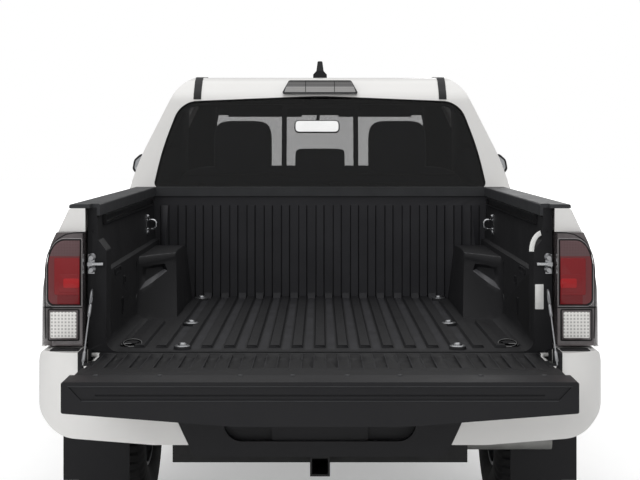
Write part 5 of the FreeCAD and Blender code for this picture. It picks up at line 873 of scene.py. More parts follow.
@dataclass
class Wheels:
    """Tyres with a block tread, and the fittings of the alloy rims."""

    width: float = 0.265
    radius: float = 0.388
    bead: float = 0.216
    pitches: int = 64
    samples: int = 6
    groove: float = 0.008

    def tyre(self, centre: Sequence[float]) -> Mesh:
        """Tyre about X: a carcass profile by angle, the crown cut by grooves.

        The carcass is a set of (across, radius) stations.  Over the crown the
        radius drops by the groove depth where a zigzag around or a slanted
        cross groove runs.

        Args:
            centre: Wheel centre.

        Returns:
            Points and faces.
        """
        half, r, b = self.width / 2, self.radius, self.bead
        side = [(-0.74, b), (-0.86, b + 0.012), (-0.97, b + 0.05), (-1.0, b + 0.085), (-0.985, b + 0.12),
                (-0.93, b + 0.148), (-0.86, r - 0.009)]
        crown_x = np.array([-0.8, -0.62, -0.56, -0.545, -0.43, -0.415, -0.2, -0.185, -0.075, -0.06, 0.06,
                            0.075, 0.185, 0.2, 0.415, 0.43, 0.545, 0.56, 0.62, 0.8])
        crown_r = r - 0.006 * np.abs(crown_x / 0.8) ** 3
        across = np.concatenate([[s[0] for s in side], crown_x, [-s[0] for s in side[::-1]], [0.72, -0.72]])
        height = np.concatenate([[s[1] for s in side], crown_r, [s[1] for s in side[::-1]],
                                 [b - 0.006, b - 0.006]])
        count = self.pitches * self.samples
        turn = np.arange(count)
        angle = turn * 2 * np.pi / count
        phase = (turn % self.samples) / self.samples
        x = np.repeat(across[:, None], count, 1)
        rad = np.repeat(height[:, None], count, 1)
        on_crown = np.zeros(len(across), bool)
        on_crown[len(side):len(side) + len(crown_x)] = True
        ribs = (np.abs(np.abs(across) - 0.49) < 0.06) | (np.abs(np.abs(across) - 0.13) < 0.056)
        rad[on_crown & ribs] -= self.groove
        slant = (phase[None, :] + 0.5 * (across[:, None] > 0) + 0.25 * np.abs(across[:, None])) % 1.0
        cut = (slant < 0.3) & on_crown[:, None] & ~ribs[:, None]
        rad[cut] -= self.groove * 0.8
        shoulder = np.zeros(len(across), bool)
        shoulder[[len(side) - 1, len(side) - 2, len(side) + len(crown_x),
                  len(side) + len(crown_x) + 1]] = True
        lug = shoulder[:, None] & (phase[None, :] < 0.34)
        rad[lug] -= 0.003
        x = np.where(lug, x * 0.985, x)
        points = np.stack([x * half, rad * np.cos(angle), rad * np.sin(angle)], -1)
        points += np.asarray(centre, float)
        return points.reshape(-1, 3), grid_faces(len(across), count, close_rows=True,
                                                 close_columns=True).tolist()

    def nuts(self, centre: np.ndarray, sign: float, face_x: float) -> Mesh:
        """Wheel nuts on their circle and a domed cap, on the rim's outer face.

        Args:
            centre: Wheel centre.
            sign: 1 where the outer face looks towards +X, otherwise -1.
            face_x: Place of the face that carries them.

        Returns:
            Points and faces of each.
        """
        parts = []
        for k in range(6):
            a = 2 * math.pi * (k + 0.5) / 6
            nut_centre = [face_x, centre[1] + 0.057 * math.cos(a), centre[2] + 0.057 * math.sin(a)]
            parts.append(lathe([(0.0, TIP), (0.0, 0.011), (sign * 0.016, 0.0105), (sign * 0.021, 0.006),
                                (sign * 0.022, TIP)], nut_centre, 0, 12))
        dome = [(0.0, TIP), (0.0, 0.034), (sign * 0.010, 0.033), (sign * 0.017, 0.026),
                (sign * 0.020, 0.012), (sign * 0.0205, TIP)]
        parts.append(lathe(dome, [face_x, centre[1], centre[2]], 0, 32))
        return join_parts(parts)

    def build(self) -> None:
        """Build four tyres with their nuts."""
        for where in ("front_left", "front_right", "rear_left", "rear_right"):
            low, high = node_box(f"tyre_{where}")
            centre = (low + high) / 2
            points, faces = self.tyre(centre)
            settle(make_object(f"treaded_tyre_{where}", points, faces, finish("rubber"), sharp_angle=34),
                   f"wheel_{where}", "tyre_rubber", f"tyre_{where}")
            sign = 1.0 if centre[0] > 0 else -1.0
            rim_low, rim_high = node_box(f"rim_{where}")
            face_x = (rim_high[0] if sign > 0 else rim_low[0]) - sign * 0.045
            points, faces = self.nuts(centre, sign, face_x)
            settle(make_object(f"wheel_nuts_{where}", points, faces, finish("chrome")), f"wheel_{where}",
                   "bright_metal")


class Side(Enum):
    """Side of the truck; the value is the sign of X there."""

    LEFT = -1
    RIGHT = 1

    @property
    def word(self) -> str:
        """Lower-case name, as the nodes and bodies use it."""
        return self.name.lower()


@dataclass
class Probe:
    """Finds points on CAD nodes by casting rays at their triangles."""

    nodes: tuple[str, ...]
    tree: BVHTree = field(init=False)

    def __post_init__(self) -> None:
        """Gather the triangles of the nodes into one search tree."""
        points, faces, start = [], [], 0
        for name in self.nodes:
            mesh = frame["nodes"][name].data
            mesh.calc_loop_triangles()
            flat = np.empty(len(mesh.vertices) * 3)
            mesh.vertices.foreach_get("co", flat)
            corners = np.empty(len(mesh.loop_triangles) * 3, np.int32)
            mesh.loop_triangles.foreach_get("vertices", corners)
            points.append(flat.reshape(-1, 3))
            faces.append(corners.reshape(-1, 3) + start)
            start += len(mesh.vertices)
        self.tree = BVHTree.FromPolygons(np.vstack(points).tolist(), np.vstack(faces).tolist())

    def hit(self, start: Sequence[float], way: Sequence[float], reach: float = 3.0) -> np.ndarray | None:
        """First point on the nodes along a ray.

        Args:
            start: Where the ray begins.
            way: Its direction.
            reach: Longest distance looked at.

        Returns:
            The point, or None where the ray meets nothing.
        """
        place = self.tree.ray_cast(Vector(start), Vector(way), reach)[0]
        return None if place is None else np.array(place)


def resample(points: np.ndarray, count: int) -> np.ndarray:
    """Even steps along a closed line: s_k = k L / count.

    Args:
        points: Points of the line.
        count: Points of the result.

    Returns:
        Array of points.
    """
    ring = np.vstack([points, points[:1]])
    run = np.concatenate([[0.0], np.cumsum(np.linalg.norm(np.diff(ring, axis=0), axis=1))])
    steps = np.linspace(0, run[-1], count, endpoint=False)
    return np.stack([np.interp(steps, run, ring[:, axis]) for axis in range(ring.shape[1])], -1)


def rim_loop(node: str, way: Sequence[float], share: float = 0.35) -> tuple[np.ndarray, np.ndarray]:
    """Longest edge loop round the faces of a node that look one way.

    Args:
        node: CAD node.
        way: Direction; faces whose normal leans towards it count.
        share: Least cosine between normal and direction.

    Returns:
        The loop's points in order and the mean normal of the faces.
    """
    thing = dressed_copy(node, "outline_source")
    mesh = thing.data
    look = Vector(way).normalized()
    edges: dict[tuple[int, int], int] = {}
    normal = Vector((0.0, 0.0, 0.0))
    for face in mesh.polygons:
        if face.normal.dot(look) < share:
            continue
        normal += face.normal * face.area
        for key in face.edge_keys:
            edges[key] = edges.get(key, 0) + 1
    follow: dict[int, list[int]] = {}
    for (a, b), uses in edges.items():
        if uses == 1:
            follow.setdefault(a, []).append(b)
            follow.setdefault(b, []).append(a)
    loops: list[list[int]] = []
    left = set(follow)
    while left:
        start = left.pop()
        loop, spot = [start], start
        while True:
            ahead = [p for p in follow[spot] if p in left]
            if not ahead:
                break
            spot = ahead[0]
            left.discard(spot)
            loop.append(spot)
        loops.append(loop)
    places = [np.array([mesh.vertices[i].co[:] for i in loop]) for loop in loops if len(loop) > 3]
    bpy.data.objects.remove(thing)
    longest = max(places, key=lambda p: float(np.linalg.norm(np.diff(p, axis=0), axis=1).sum()))
    return longest, np.array(normal.normalized())


def loop_frame(loop: np.ndarray, normal: np.ndarray) -> np.ndarray:
    """Unit vectors from each point of a loop towards its inside: the tangent crossed with the normal.

    Args:
        loop: Points in order.
        normal: Normal of the loop's plane.

    Returns:
        One vector for each point.
    """
    tangent = np.roll(loop, -1, 0) - np.roll(loop, 1, 0)
    tangent /= np.linalg.norm(tangent, axis=1)[:, None]
    inward = np.cross(tangent, normal)
    inward /= np.linalg.norm(inward, axis=1)[:, None]
    if float((inward * (loop.mean(0) - loop)).sum()) < 0:
        inward = -inward
    return inward


def plateau(outline: Outline, axis: int, foot: float, rise: float, soft: float,
            sink: float = 0.002) -> Mesh:
    """Raised plate over an outline with a quarter-round edge.

    Ring k stands at foot + rise sin(a_k) and lies inside the outline by
    soft (1 - cos(a_k)), with a_k from 0 to 90 degrees.

    Args:
        outline: Corners in the two other axes, in order.
        axis: Axis along which the plate rises.
        foot: Place of the surface that the plate stands on.
        rise: Signed height of the plate.
        soft: Width of the rounded edge.
        sink: How far the plate reaches into that surface.

    Returns:
        Points and faces.
    """
    flat = np.asarray(outline, float)
    ahead, behind = np.roll(flat, -1, 0) - flat, flat - np.roll(flat, 1, 0)
    ahead /= np.linalg.norm(ahead, axis=1)[:, None] + 1e-12
    behind /= np.linalg.norm(behind, axis=1)[:, None] + 1e-12
    along = ahead + behind
    along /= np.linalg.norm(along, axis=1)[:, None] + 1e-12
    area = float((flat[:, 0] * np.roll(flat[:, 1], -1) - np.roll(flat[:, 0], -1) * flat[:, 1]).sum())
    inward = np.stack([-along[:, 1], along[:, 0]], -1) * (1.0 if area > 0 else -1.0)
    first, second = [i for i in range(3) if i != axis]
    turns = np.radians([0.0, 30.0, 60.0, 90.0])
    levels = [foot - math.copysign(sink, rise)] + [foot + rise * math.sin(a) for a in turns]
    insets = [0.0] + [soft * (1 - math.cos(a)) for a in turns]
    points = np.zeros((len(levels), len(flat), 3))
    for row, (level, inset) in enumerate(zip(levels, insets)):
        ring = flat + inward * inset
        points[row, :, first], points[row, :, second], points[row, :, axis] = ring[:, 0], ring[:, 1], level
    count = len(flat)
    faces = grid_faces(len(levels), count, close_columns=True).tolist()
    last = (len(levels) - 1) * count
    return points.reshape(-1, 3), faces + [list(range(count))[::-1], list(range(last, last + count))]


def oblong(low: Sequence[float], high: Sequence[float], radius: float,
           steps: int = 5) -> list[tuple[float, float]]:
    """Rectangle with rounded corners.

    Args:
        low: Lowest corner.
        high: Highest corner.
        radius: Radius of the corners.
        steps: Points of each corner.

    Returns:
        The outline.
    """
    (a, b), (c, d) = low, high
    return rounded([(a, b), (c, b), (c, d), (a, d)], radius, steps)


def sliced_copy(node: str, name: str, cuts: Sequence[tuple[int, float]],
                sharp_angle: float = 30.0) -> bpy.types.Object:
    """Merged copy of a CAD node whose faces are cut through at planes.

    Args:
        node: CAD node.
        name: Name of the copy.
        cuts: Axis number and place of each plane.
        sharp_angle: Edges that turn more than this many degrees stay sharp.

    Returns:
        The copy, still one closed skin.
    """
    return slice_through(dressed_copy(node, name, sharp_angle), cuts)


def slice_through(thing: bpy.types.Object, cuts: Sequence[tuple[int, float]]) -> bpy.types.Object:
    """Cut the faces of a piece at planes and keep it one closed skin.

    Args:
        thing: Piece to cut.
        cuts: Axis number and place of each plane.

    Returns:
        The same piece.
    """
    work = bmesh.new()
    work.from_mesh(thing.data)
    for axis, level in cuts:
        place, way = Vector((0, 0, 0)), Vector((0, 0, 0))
        place[axis], way[axis] = level, 1.0
        bmesh.ops.bisect_plane(work, geom=work.verts[:] + work.edges[:] + work.faces[:], plane_co=place,
                               plane_no=way, dist=MERGE)
    work.to_mesh(thing.data)
    work.free()
    return thing


def split_finish(thing: bpy.types.Object, base: str,
                 rules: Sequence[tuple[str, Callable[[np.ndarray, np.ndarray], np.ndarray]]]) -> None:
    """Give faces their finishes by place and direction.

    Args:
        thing: Piece whose faces are sorted.
        base: Finish of the faces that no rule takes.
        rules: Finish and a test on the face centres and normals; later rules win.
    """
    mesh = thing.data
    count = len(mesh.polygons)
    centre, normal = np.empty(count * 3), np.empty(count * 3)
    mesh.polygons.foreach_get("center", centre)
    mesh.polygons.foreach_get("normal", normal)
    centre, normal = centre.reshape(-1, 3), normal.reshape(-1, 3)
    index = np.zeros(count, np.int32)
    mesh.materials.clear()
    mesh.materials.append(finish(base))
    for place, (key, test) in enumerate(rules, start=1):
        mesh.materials.append(finish(key))
        index[test(centre, normal)] = place
    mesh.polygons.foreach_set("material_index", index)


def piece(name: str, parts: Sequence[Part], key: str, body: str, slot: str,
          *nodes: str, sharp_angle: float = 40.0) -> bpy.types.Object:
    """Join parts into one settled piece.

    Args:
        name: Object name.
        parts: Point and face sets.
        key: Finish.
        body: CAD body that it moves with.
        slot: Material slot of the record.
        *nodes: CAD nodes that it replaces.
        sharp_angle: Edges that turn more than this many degrees stay sharp.

    Returns:
        The piece.
    """
    points, faces = join_parts(list(parts))
    thing = make_object(name, points, [f for f in tidy_faces(faces) if len(f) > 2], finish(key),
                        sharp_angle=sharp_angle)
    return settle(thing, body, slot, *nodes)


@dataclass
class LoadBed:
    """Composite tub: groove wedges, bolts, cup rims, wall frames, label and a painted highlight arc on the
    post's shoulder.
    """

    pitch: float = 0.0755
    groove: float = 0.0335
    floor_z: float = 0.790
    length: float = 1.537
    rub: float = 0.0125
    rib: float = 0.009
    bolt_places: tuple[tuple[float, float], ...] = ((0.457, -2.270), (0.481, -1.699), (0.512, -0.896))
    cup: tuple[float, float] = (0.642, -2.1955)
    post_back: float = 0.014
    hinge_y: float = field(default_factory=lambda: float(joint_place("tailgate_hinge")[1]))

    @property
    def bulkhead_y(self) -> float:
        """Rear face of the bulkhead."""
        return self.hinge_y + self.length

    def ramps(self) -> list[Mesh]:
        """Wedge at the foot of each bulkhead groove: a quarter slope.

        Returns:
            Points and faces of each.
        """
        parts = []
        for k in range(-7, 7):
            x = (k + 0.5) * self.pitch
            half = self.groove / 2 - 0.001
            wedge = [(self.bulkhead_y, self.floor_z), (self.bulkhead_y, self.floor_z + 0.022),
                     (self.bulkhead_y - 0.020, self.floor_z)]
            parts.append(slab(wedge, x - half, x + half, 0))
        return parts

    def bolts(self) -> list[Mesh]:
        """Flanged dome bolts that hold the tub to its cross members.

        Returns:
            Points and faces of each.
        """
        parts = []
        for x, y in self.bolt_places:
            dome = [(-0.002, TIP), (-0.002, 0.027), (0.0015, 0.027), (0.003, 0.0255), (0.004, 0.015),
                    (0.009, 0.013), (0.0120, 0.008), (0.0125, TIP)]
            parts.append(both_sides(lathe(dome, [x, y, self.floor_z + self.rib], 2, 32)))
        return parts

    def bosses(self) -> list[Mesh]:
        """Moulded bosses that lift the bolts to the height of the ribs.

        Returns:
            Points and faces of each.
        """
        boss = [(-0.002, TIP), (-0.002, 0.030), (self.rib - 0.001, 0.028), (self.rib - 0.0005, 0.0275),
                (self.rib - 0.0005, TIP)]
        return [both_sides(lathe(boss, [x, y, self.floor_z], 2, 32)) for x, y in self.bolt_places]

    def well_feet(self) -> list[Mesh]:
        """Pale bead where the floor turns up into each wheel well: a painted highlight line.

        Returns:
            Points and faces of each.
        """
        path = np.array([[0.752, -1.370], [0.700, -1.322], [0.648, -1.276], [0.604, -1.240], [0.585, -1.212]])
        t = np.linspace(0, 4, 24)
        line = np.stack([np.interp(t, np.arange(5), path[:, 0]), np.interp(t, np.arange(5), path[:, 1]),
                         np.full(24, self.floor_z + 0.001)], -1)
        return [both_sides(sweep(line, 0.0042, 8))]

    def cups(self) -> list[Mesh]:
        """Raised rim, cross bar and leaning wire loop of the round recess at each rear corner.

        Returns:
            Points and faces of each kind.
        """
        x, y = self.cup
        rim = [(-0.004, 0.031), (0.0015, 0.031), (0.003, 0.034), (0.0015, 0.037), (-0.0005, 0.037),
               (-0.004, 0.035)]
        bar = box_part([x - 0.030, y - 0.004, self.floor_z - 0.005],
                       [x + 0.030, y + 0.004, self.floor_z + 0.0005])
        turn = np.linspace(0, 2 * np.pi, 40, endpoint=False)
        lift = 0.011 * (1 + np.sin(turn))
        loop = np.stack([x - 0.010 + 0.031 * np.cos(turn), y - 0.022 + 1.2 * lift,
                         self.floor_z - 0.002 + lift], -1)
        return [both_sides(lathe(rim + rim[:1], [x, y, self.floor_z], 2, 40)), both_sides(bar),
                both_sides(sweep(loop, 0.0032, 10, closed=True))]

    def wall_frames(self) -> list[Mesh]:
        """Moulded frames of the small pockets in the side walls, on the wall's face.

        Returns:
            Points and faces of each.
        """
        wall = Probe(("bed_tub",))
        parts = []
        for y0, y1, z0, z1 in ((-2.105, -1.965, 1.018, 1.040), (-1.90, -1.86, 0.965, 0.995),
                               (-1.96, -1.93, 0.865, 0.925)):
            hit = wall.hit([0.3, (y0 + y1) / 2, (z0 + z1) / 2], [1, 0, 0])
            face = float(hit[0]) if hit is not None else 0.7
            outer = oblong((y0, z0), (y1, z1), 0.005)
            inner = oblong((y0 + 0.005, z0 + 0.005), (y1 - 0.005, z1 - 0.005), 0.003)
            parts.append(both_sides(ring_band(outer, inner, face + 0.004, face - 0.003, 0)))
        return parts

    def build(self) -> None:
        """Build the pieces of the tub."""
        middles = [(k + 0.5) * self.pitch for k in range(-7, 7)]
        cuts = [(0, x + way * self.rub) for x in middles for way in (-1, 1)]
        tub = sliced_copy("bed_tub", "tub_panels",
                          cuts + [(1, self.hinge_y + 0.060), (1, self.bulkhead_y - 0.002)], 14.0)

        def pale_stripes(c: np.ndarray, n: np.ndarray) -> np.ndarray:
            """Floor faces between the ribs that take the paler composite.

            Args:
                c: Centres of the faces.
                n: Their normals.

            Returns:
                True for each face that belongs.
            """
            off = np.abs((c[:, 0] / self.pitch) % 1.0 - 0.5) * self.pitch
            return ((n[:, 2] > 0.9) & (c[:, 2] < self.floor_z + 0.002) & (off < self.rub)
                    & (np.abs(c[:, 0]) < 0.5475)
                    & (c[:, 1] > self.hinge_y + 0.060))

        def edges(c: np.ndarray, n: np.ndarray) -> np.ndarray:
            """Sloped rims of the wells and their pockets: a lighter copy of the composite paints their
            highlight.

            Args:
                c: Centres of the faces.
                n: Their normals.

            Returns:
                True for each face that belongs.
            """
            ramp = (n[:, 2] > 0.8) & (n[:, 2] < 0.96) & (n[:, 1] < -0.3) & (c[:, 2] > 0.9) & (c[:, 2] < 1.0)
            brow = (c[:, 2] > 1.025) & (c[:, 2] < 1.08) & (n[:, 2] > 0.35) & (n[:, 2] < 0.95) & (n[:,
                    1] < -0.15)
            return (np.abs(c[:, 0]) > 0.52) & (ramp | brow)

        # Face finishes of the tub: pale stripes on the floor between the ribs, painted highlight on the
        # wells' sloped rims, painted light on the bulkhead's rear faces.
        split_finish(tub, "composite", [
            ("pale_and_highlight", pale_stripes),
            ("polished", edges),
            # Painted light: the bulkhead's rear-facing faces take a lighter copy of the composite.
            ("bulkhead", lambda c, n: (n[:, 1] < -0.5) & (c[:, 1] > self.bulkhead_y - 0.03)
             & (c[:, 2] > self.floor_z))])
        settle(tub, "chassis", "bed_composite", "bed_tub")
        # The foot wedges take the pale finish: painted highlight on their sloped tops.
        piece("bulkhead_foot_wedges", self.ramps(), "pale_and_highlight", "chassis", "bed_composite", sharp_angle=20)
        piece("floor_bolts", self.bolts(), "zinc", "chassis", "bright_metal")
        piece("floor_bolt_bosses", self.bosses(), "composite", "chassis", "bed_composite")
        piece("well_foot_highlight_beads", self.well_feet(), "polished", "chassis", "bed_composite")
        piece("floor_cup_rims", self.cups(), "gloss_black", "chassis", "bed_composite")
        piece("wall_pocket_frames", self.wall_frames(), "trim", "chassis", "bed_composite")
        post_y = self.hinge_y + self.post_back
        heads = []
        for z in (1.101, 1.061):
            heads.append(both_sides(lathe([(0.004, TIP), (0.004, 0.0125), (-0.002, 0.0120), (-0.006, 0.008),
                                           (-0.007, TIP)], [0.746, post_y - 0.004, z], 1, 24)))
        for z in (1.162, 1.096):
            heads.append(both_sides(lathe([(0.010, TIP), (0.010, 0.0095), (-0.003, 0.0090), (-0.008, 0.006),
                                           (-0.009, TIP)], [0.722, self.hinge_y + 1.255, z], 0, 20)))
        piece("striker_and_loop_screws", heads, "zinc", "chassis", "bright_metal")
        label = plateau(oblong((0.7045, 0.929), (0.7325, 1.011), 0.003), 1, post_y, -0.0006, 0.0002)
        # Painted highlight: a thin white arc on the right post's rounded shoulder, on this side only.
        bend = np.radians(np.linspace(0, 78, 12))
        outer = [(0.731 - 0.046 * math.cos(a), 1.118 + 0.070 * math.sin(a)) for a in bend]
        inner = [(0.731 - 0.030 * math.cos(a), 1.118 + 0.054 * math.sin(a)) for a in bend[::-1]]
        shoulder_highlight = plateau(outer + inner, 1, post_y - 0.0002, -0.0012, 0.0004)
        piece("post_label_and_painted_highlight", [label, shoulder_highlight], "label", "chassis", "bed_composite")


@dataclass
class Tailgate:
    """Painted gate with a black channelled liner, its screws and pads."""

    pitch: float = 0.0755
    channel: float = 0.038
    hinge_y: float = field(default_factory=lambda: float(joint_place("tailgate_hinge")[1]))
    top_z: float = field(default_factory=lambda: float(joint_place("tailgate_hinge")[2]) + 0.008)

    def build(self) -> None:
        """Split the gate's faces and add pads and screws."""
        gate = sliced_copy("tailgate", "gate_panel",
                           [(2, self.top_z - 0.012), (0, -0.7165), (0, 0.7165), (1, self.hinge_y - 0.115)])
        # The liner is darker than the bed's composite: painted shade on the open gate's top.
        split_finish(gate, "paint", [
            ("liner", lambda c, n: (c[:, 2] > self.top_z - 0.012)
             & ((np.abs(c[:, 0]) < 0.7165) | (c[:, 1] < self.hinge_y - 0.115))),
            ("liner", lambda c, n: (np.abs(c[:, 0]) < 0.7165) & (n[:, 1] < -0.9))])
        settle(gate, "tailgate", "white_paint", "tailgate")
        pads = []
        for k in range(-9, 9):
            x = (k + 0.5) * self.pitch
            half = self.channel / 2 - 0.0008
            y = self.hinge_y - 0.030
            wedge = [(y, self.top_z - 0.009), (y, self.top_z - 0.001), (y - 0.008, self.top_z - 0.001),
                     (y - 0.020, self.top_z - 0.009)]
            pads.append(slab(wedge, x - half, x + half, 0))
        piece("gate_channel_pads", pads, "liner", "tailgate", "bed_composite", sharp_angle=20)
        # Painted highlight: thin pale beads along both edges of each channel.
        beads = []
        for k in range(-9, 10):
            for half in (-self.channel / 2, self.channel / 2):
                x = (k - 0.5) * self.pitch + half
                if abs(x) > 0.70:
                    continue
                path = np.stack([np.full(6, x), np.linspace(self.hinge_y - 0.045, self.hinge_y - 0.335, 6),
                                 np.full(6, self.top_z - 0.0006)], -1)
                beads.append(sweep(path, 0.0016, 6))
        piece("gate_channel_highlight_beads", beads, "pale_and_highlight", "tailgate", "bed_composite")
        screws = []
        dome = [(-0.001, TIP), (-0.001, 0.0085), (0.001, 0.0085), (0.003, 0.0065), (0.004, 0.003),
                (0.0042, TIP)]
        for x in (0.081, 0.235, 0.473, 0.66):
            screws.append(both_sides(lathe(dome, [x, self.hinge_y - 0.442, self.top_z], 2, 20)))
        piece("spoiler_screws", screws, "trim_light", "tailgate", "bed_composite")
        # Painted highlight: thin pale beads along the spoiler's edges.
        lip = []
        for z, half in ((self.top_z - 0.0125, 0.724), (self.top_z - 0.0540, 0.684)):
            path = np.stack([np.linspace(-half, half, 40), np.full(40, self.hinge_y - 0.550),
                             np.full(40, z)], -1)
            lip.append(sweep(path, 0.0016, 8))
        piece("spoiler_edge_highlight_beads", lip, "trim_light", "tailgate", "black_plastic")


@dataclass
class SupportCables:
    """Stranded steel cables between the posts and the open gate."""

    radius: float = 0.0026

    def build(self) -> None:
        """Build both cables with their crimped ferrules and eyes."""
        low, high = node_box("tailgate_cables")
        for side in Side:
            x = side.value * (abs(high[0]) - 0.004)
            foot = np.array([x, low[1] + 0.004, low[2] + 0.004])
            top = np.array([x, high[1] - 0.004, high[2] - 0.004])
            t = np.linspace(0, 1, 60)[:, None]
            line = foot + (top - foot) * t
            parts = [sweep(line, self.radius, 10)]
            way = (top - foot) / np.linalg.norm(top - foot)
            length = float(np.linalg.norm(top - foot))
            for start, stop, r in ((length - 0.105, length - 0.055, 0.0058), (0.01, 0.05, 0.0055)):
                s = np.linspace(start, stop, 9)
                swell = r * np.clip(np.minimum(s - start, stop - s) / 0.003, 0.55, 1)
                parts.append(sweep(foot + way * s[:, None], swell, 14))
            eye_centre = foot + way * (length - 0.03)
            a = np.linspace(0, 2 * np.pi, 28, endpoint=False)
            across = np.cross(way, [1.0, 0, 0])
            eye = eye_centre + 0.026 * np.cos(a)[:, None] * way + 0.010 * np.sin(a)[:, None] * across
            parts.append(sweep(eye, 0.0034, 8, closed=True))
            points, faces = join_parts([(p, tidy_faces(np.asarray(f))) for p, f in parts])
            cable = make_object(f"gate_cable_{side.word}", points, [f for f in faces if len(f) > 2],
                                finish("zinc"))
            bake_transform(cable)
            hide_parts("tailgate_cables")


@dataclass
class TailLamps:
    """Tail lamps: smoked bezel, stepped red lens and a fluted clear lens below."""

    red_low: tuple[float, float] = (0.7735, 0.9530)
    red_high: tuple[float, float] = (0.8765, 1.1600)
    clear_low: tuple[float, float] = (0.7835, 0.8440)
    clear_high: tuple[float, float] = (0.8700, 0.9310)
    face_y: float = field(default_factory=lambda: float(node_box("tail_lamps")[0][1]))

    def red_outline(self, grow: float) -> list[tuple[float, float]]:
        """Lens outline with its swept outer top corner.

        Args:
            grow: How far it reaches past the lens.

        Returns:
            Corners in order.
        """
        (x0, z0), (x1, z1) = self.red_low, self.red_high
        arc = np.radians(np.linspace(0, 90, 14))
        reach, drop = 0.052 + grow, 0.085 + grow
        corner = [(x1 + grow - reach + reach * math.cos(a), z1 + grow - drop + drop * math.sin(a))
                  for a in arc]
        foot = [(x1 + grow - 0.022 + 0.022 * math.cos(a), z0 - grow + 0.022 - 0.022 * math.sin(a))
                for a in arc[::-1]]
        return [(x0 - grow, z0 - grow)] + foot + corner + [(x0 - grow, z1 + grow)]

    def build(self) -> None:
        """Dress the lamp bodies and set the lenses on them."""
        for node, name, slot in (("tail_lamps", "red_lamp_bodies", "lamp_red"),
                                 ("reversing_lamps", "clear_lamp_bodies", "lamp_clear")):
            body = dressed_copy(node, name)
            body.data.materials.clear()
            body.data.materials.append(finish("bezel"))
            settle(body, "chassis", slot, node)
        y = self.face_y
        gasket = [both_sides(plateau(self.red_outline(0.0035), 1, y, -0.0012, 0.0006))]
        frame_out = oblong((self.clear_low[0] - 0.0085, self.clear_low[1] - 0.0085),
                           (self.clear_high[0] + 0.0085, self.clear_high[1] + 0.0075), 0.007)
        gasket.append(both_sides(plateau(frame_out, 1, y, -0.0012, 0.0006)))
        split = [(self.red_low[0] - 0.0065, 0.9415), (0.8895, 0.9415), (0.8895, 0.9465),
                 (self.red_low[0] - 0.0065, 0.9465)]
        gasket.append(both_sides(plateau(split, 1, y, -0.0010, 0.0004)))
        piece("lamp_gaskets", gasket, "seal", "chassis", "black_plastic")
        ledge = oblong((self.clear_low[0] - 0.0045, self.clear_low[1] - 0.0045),
                       (self.clear_high[0] + 0.0045, self.clear_high[1] + 0.0040), 0.005)
        piece("clear_lens_frames", [both_sides(plateau(ledge, 1, y - 0.001, -0.0035, 0.0015))], "bezel",
              "chassis", "lamp_clear")
        points, faces = both_sides(plateau(self.red_outline(0.0), 1, y, -0.0065, 0.006))
        lens = make_object("red_lenses", points, faces, finish("red_lens"))
        slice_through(lens, [(2, z) for z in (1.0005, 1.0386, 1.077, 1.1095)] + [(0, -0.846), (0, 0.846)])
        split_finish(lens, "red_lens", [
            ("red_smoke", lambda c, n: c[:, 2] > 1.1095),
            ("red_dim", lambda c, n: (c[:, 2] > 1.077) & (c[:, 2] < 1.1095)),
            ("red_dim", lambda c, n: (c[:, 2] < 1.077) & (np.abs(c[:, 0]) > 0.846))])
        settle(lens, "chassis", "lamp_red")
        rim = [(0.7615, 1.1865), (0.800, 1.1855), (0.823, 1.1805), (0.845, 1.168), (0.861, 1.1535),
               (0.872, 1.136), (0.8805, 1.1155), (0.886, 1.091), (0.8885, 1.066), (0.8895, 1.016),
               (0.8895, 0.966), (0.8865, 0.845)]
        flat = np.array(rim) - np.array([0.0025, 0.0015])
        t = np.linspace(0, len(flat) - 1, 70)
        path = np.stack([np.interp(t, np.arange(len(flat)), flat[:, 0]), np.full(70, y + 0.0003),
                         np.interp(t, np.arange(len(flat)), flat[:, 1])], -1)
        inner = np.array(self.red_outline(0.0060))
        ring = np.stack([inner[:, 0], np.full(len(inner), y - 0.0002), inner[:, 1]], -1)
        piece("lamp_outlines", [both_sides(sweep(path, 0.0018, 8))], "seal", "chassis", "black_plastic")
        piece("lamp_bright_lines", [both_sides(sweep(resample(ring, 90), 0.0011, 8, closed=True))],
              "bezel_light", "chassis", "lamp_clear")
        blocks = []
        for x1, z0, z1, out in ((0.8560, 0.984, 1.104, 0.0082), (0.8420, 0.992, 1.052, 0.0094),
                                (0.8270, 1.0063, 1.0386, 0.0104)):
            blocks.append(both_sides(plateau(oblong((self.red_low[0] + 0.001, z0), (x1, z1), 0.007), 1,
                                             y - 0.005, -(out - 0.005), 0.002)))
        piece("red_light_guides", blocks[:2], "red_guide", "chassis", "lamp_red")
        piece("red_reflex_blocks", blocks[2:], "red_bright", "chassis", "lamp_red")
        piece("clear_lenses", [both_sides(plateau(oblong(self.clear_low, self.clear_high, 0.006), 1,
                                                  y - 0.001, -0.0050, 0.004))],
              "clear_lens", "chassis", "lamp_clear")


@dataclass
class BumperPads:
    """Black step pads and end trims of the rear bumper."""

    top_z: float = 0.8112
    inner_x: float = 0.7505
    rear_y: float = -2.4955

    def build(self) -> None:
        """Build the end trims, the lamp-side pads and the tread of the step."""
        ends = [both_sides(plateau(oblong((self.rear_y - 0.003, 0.702),
                                          (self.rear_y + 0.100, self.top_z + 0.002), 0.006), 0,
                                          self.inner_x + 0.014, -0.0135, 0.001, 0.0))]
        rows = []
        for x0, x1, y0, y1 in ((0.770, 0.862, -2.462, -2.404),):
            rows.append(both_sides(plateau(oblong((x0, y0), (x1, y1), 0.010), 2, self.top_z, 0.0028, 0.002)))
        piece("bumper_end_trims", ends, "trim", "chassis", "black_plastic")
        piece("bumper_corner_pads", rows, "trim", "chassis", "black_plastic")
        ribs = []
        for k in range(11):
            y = -2.478 + k * 0.007
            ribs.append(plateau(oblong((-0.44, y), (0.44, y + 0.0035), 0.0015, 3), 2, 0.700, 0.0018, 0.001))
        piece("step_tread_ribs", ribs, "trim", "chassis", "black_plastic")


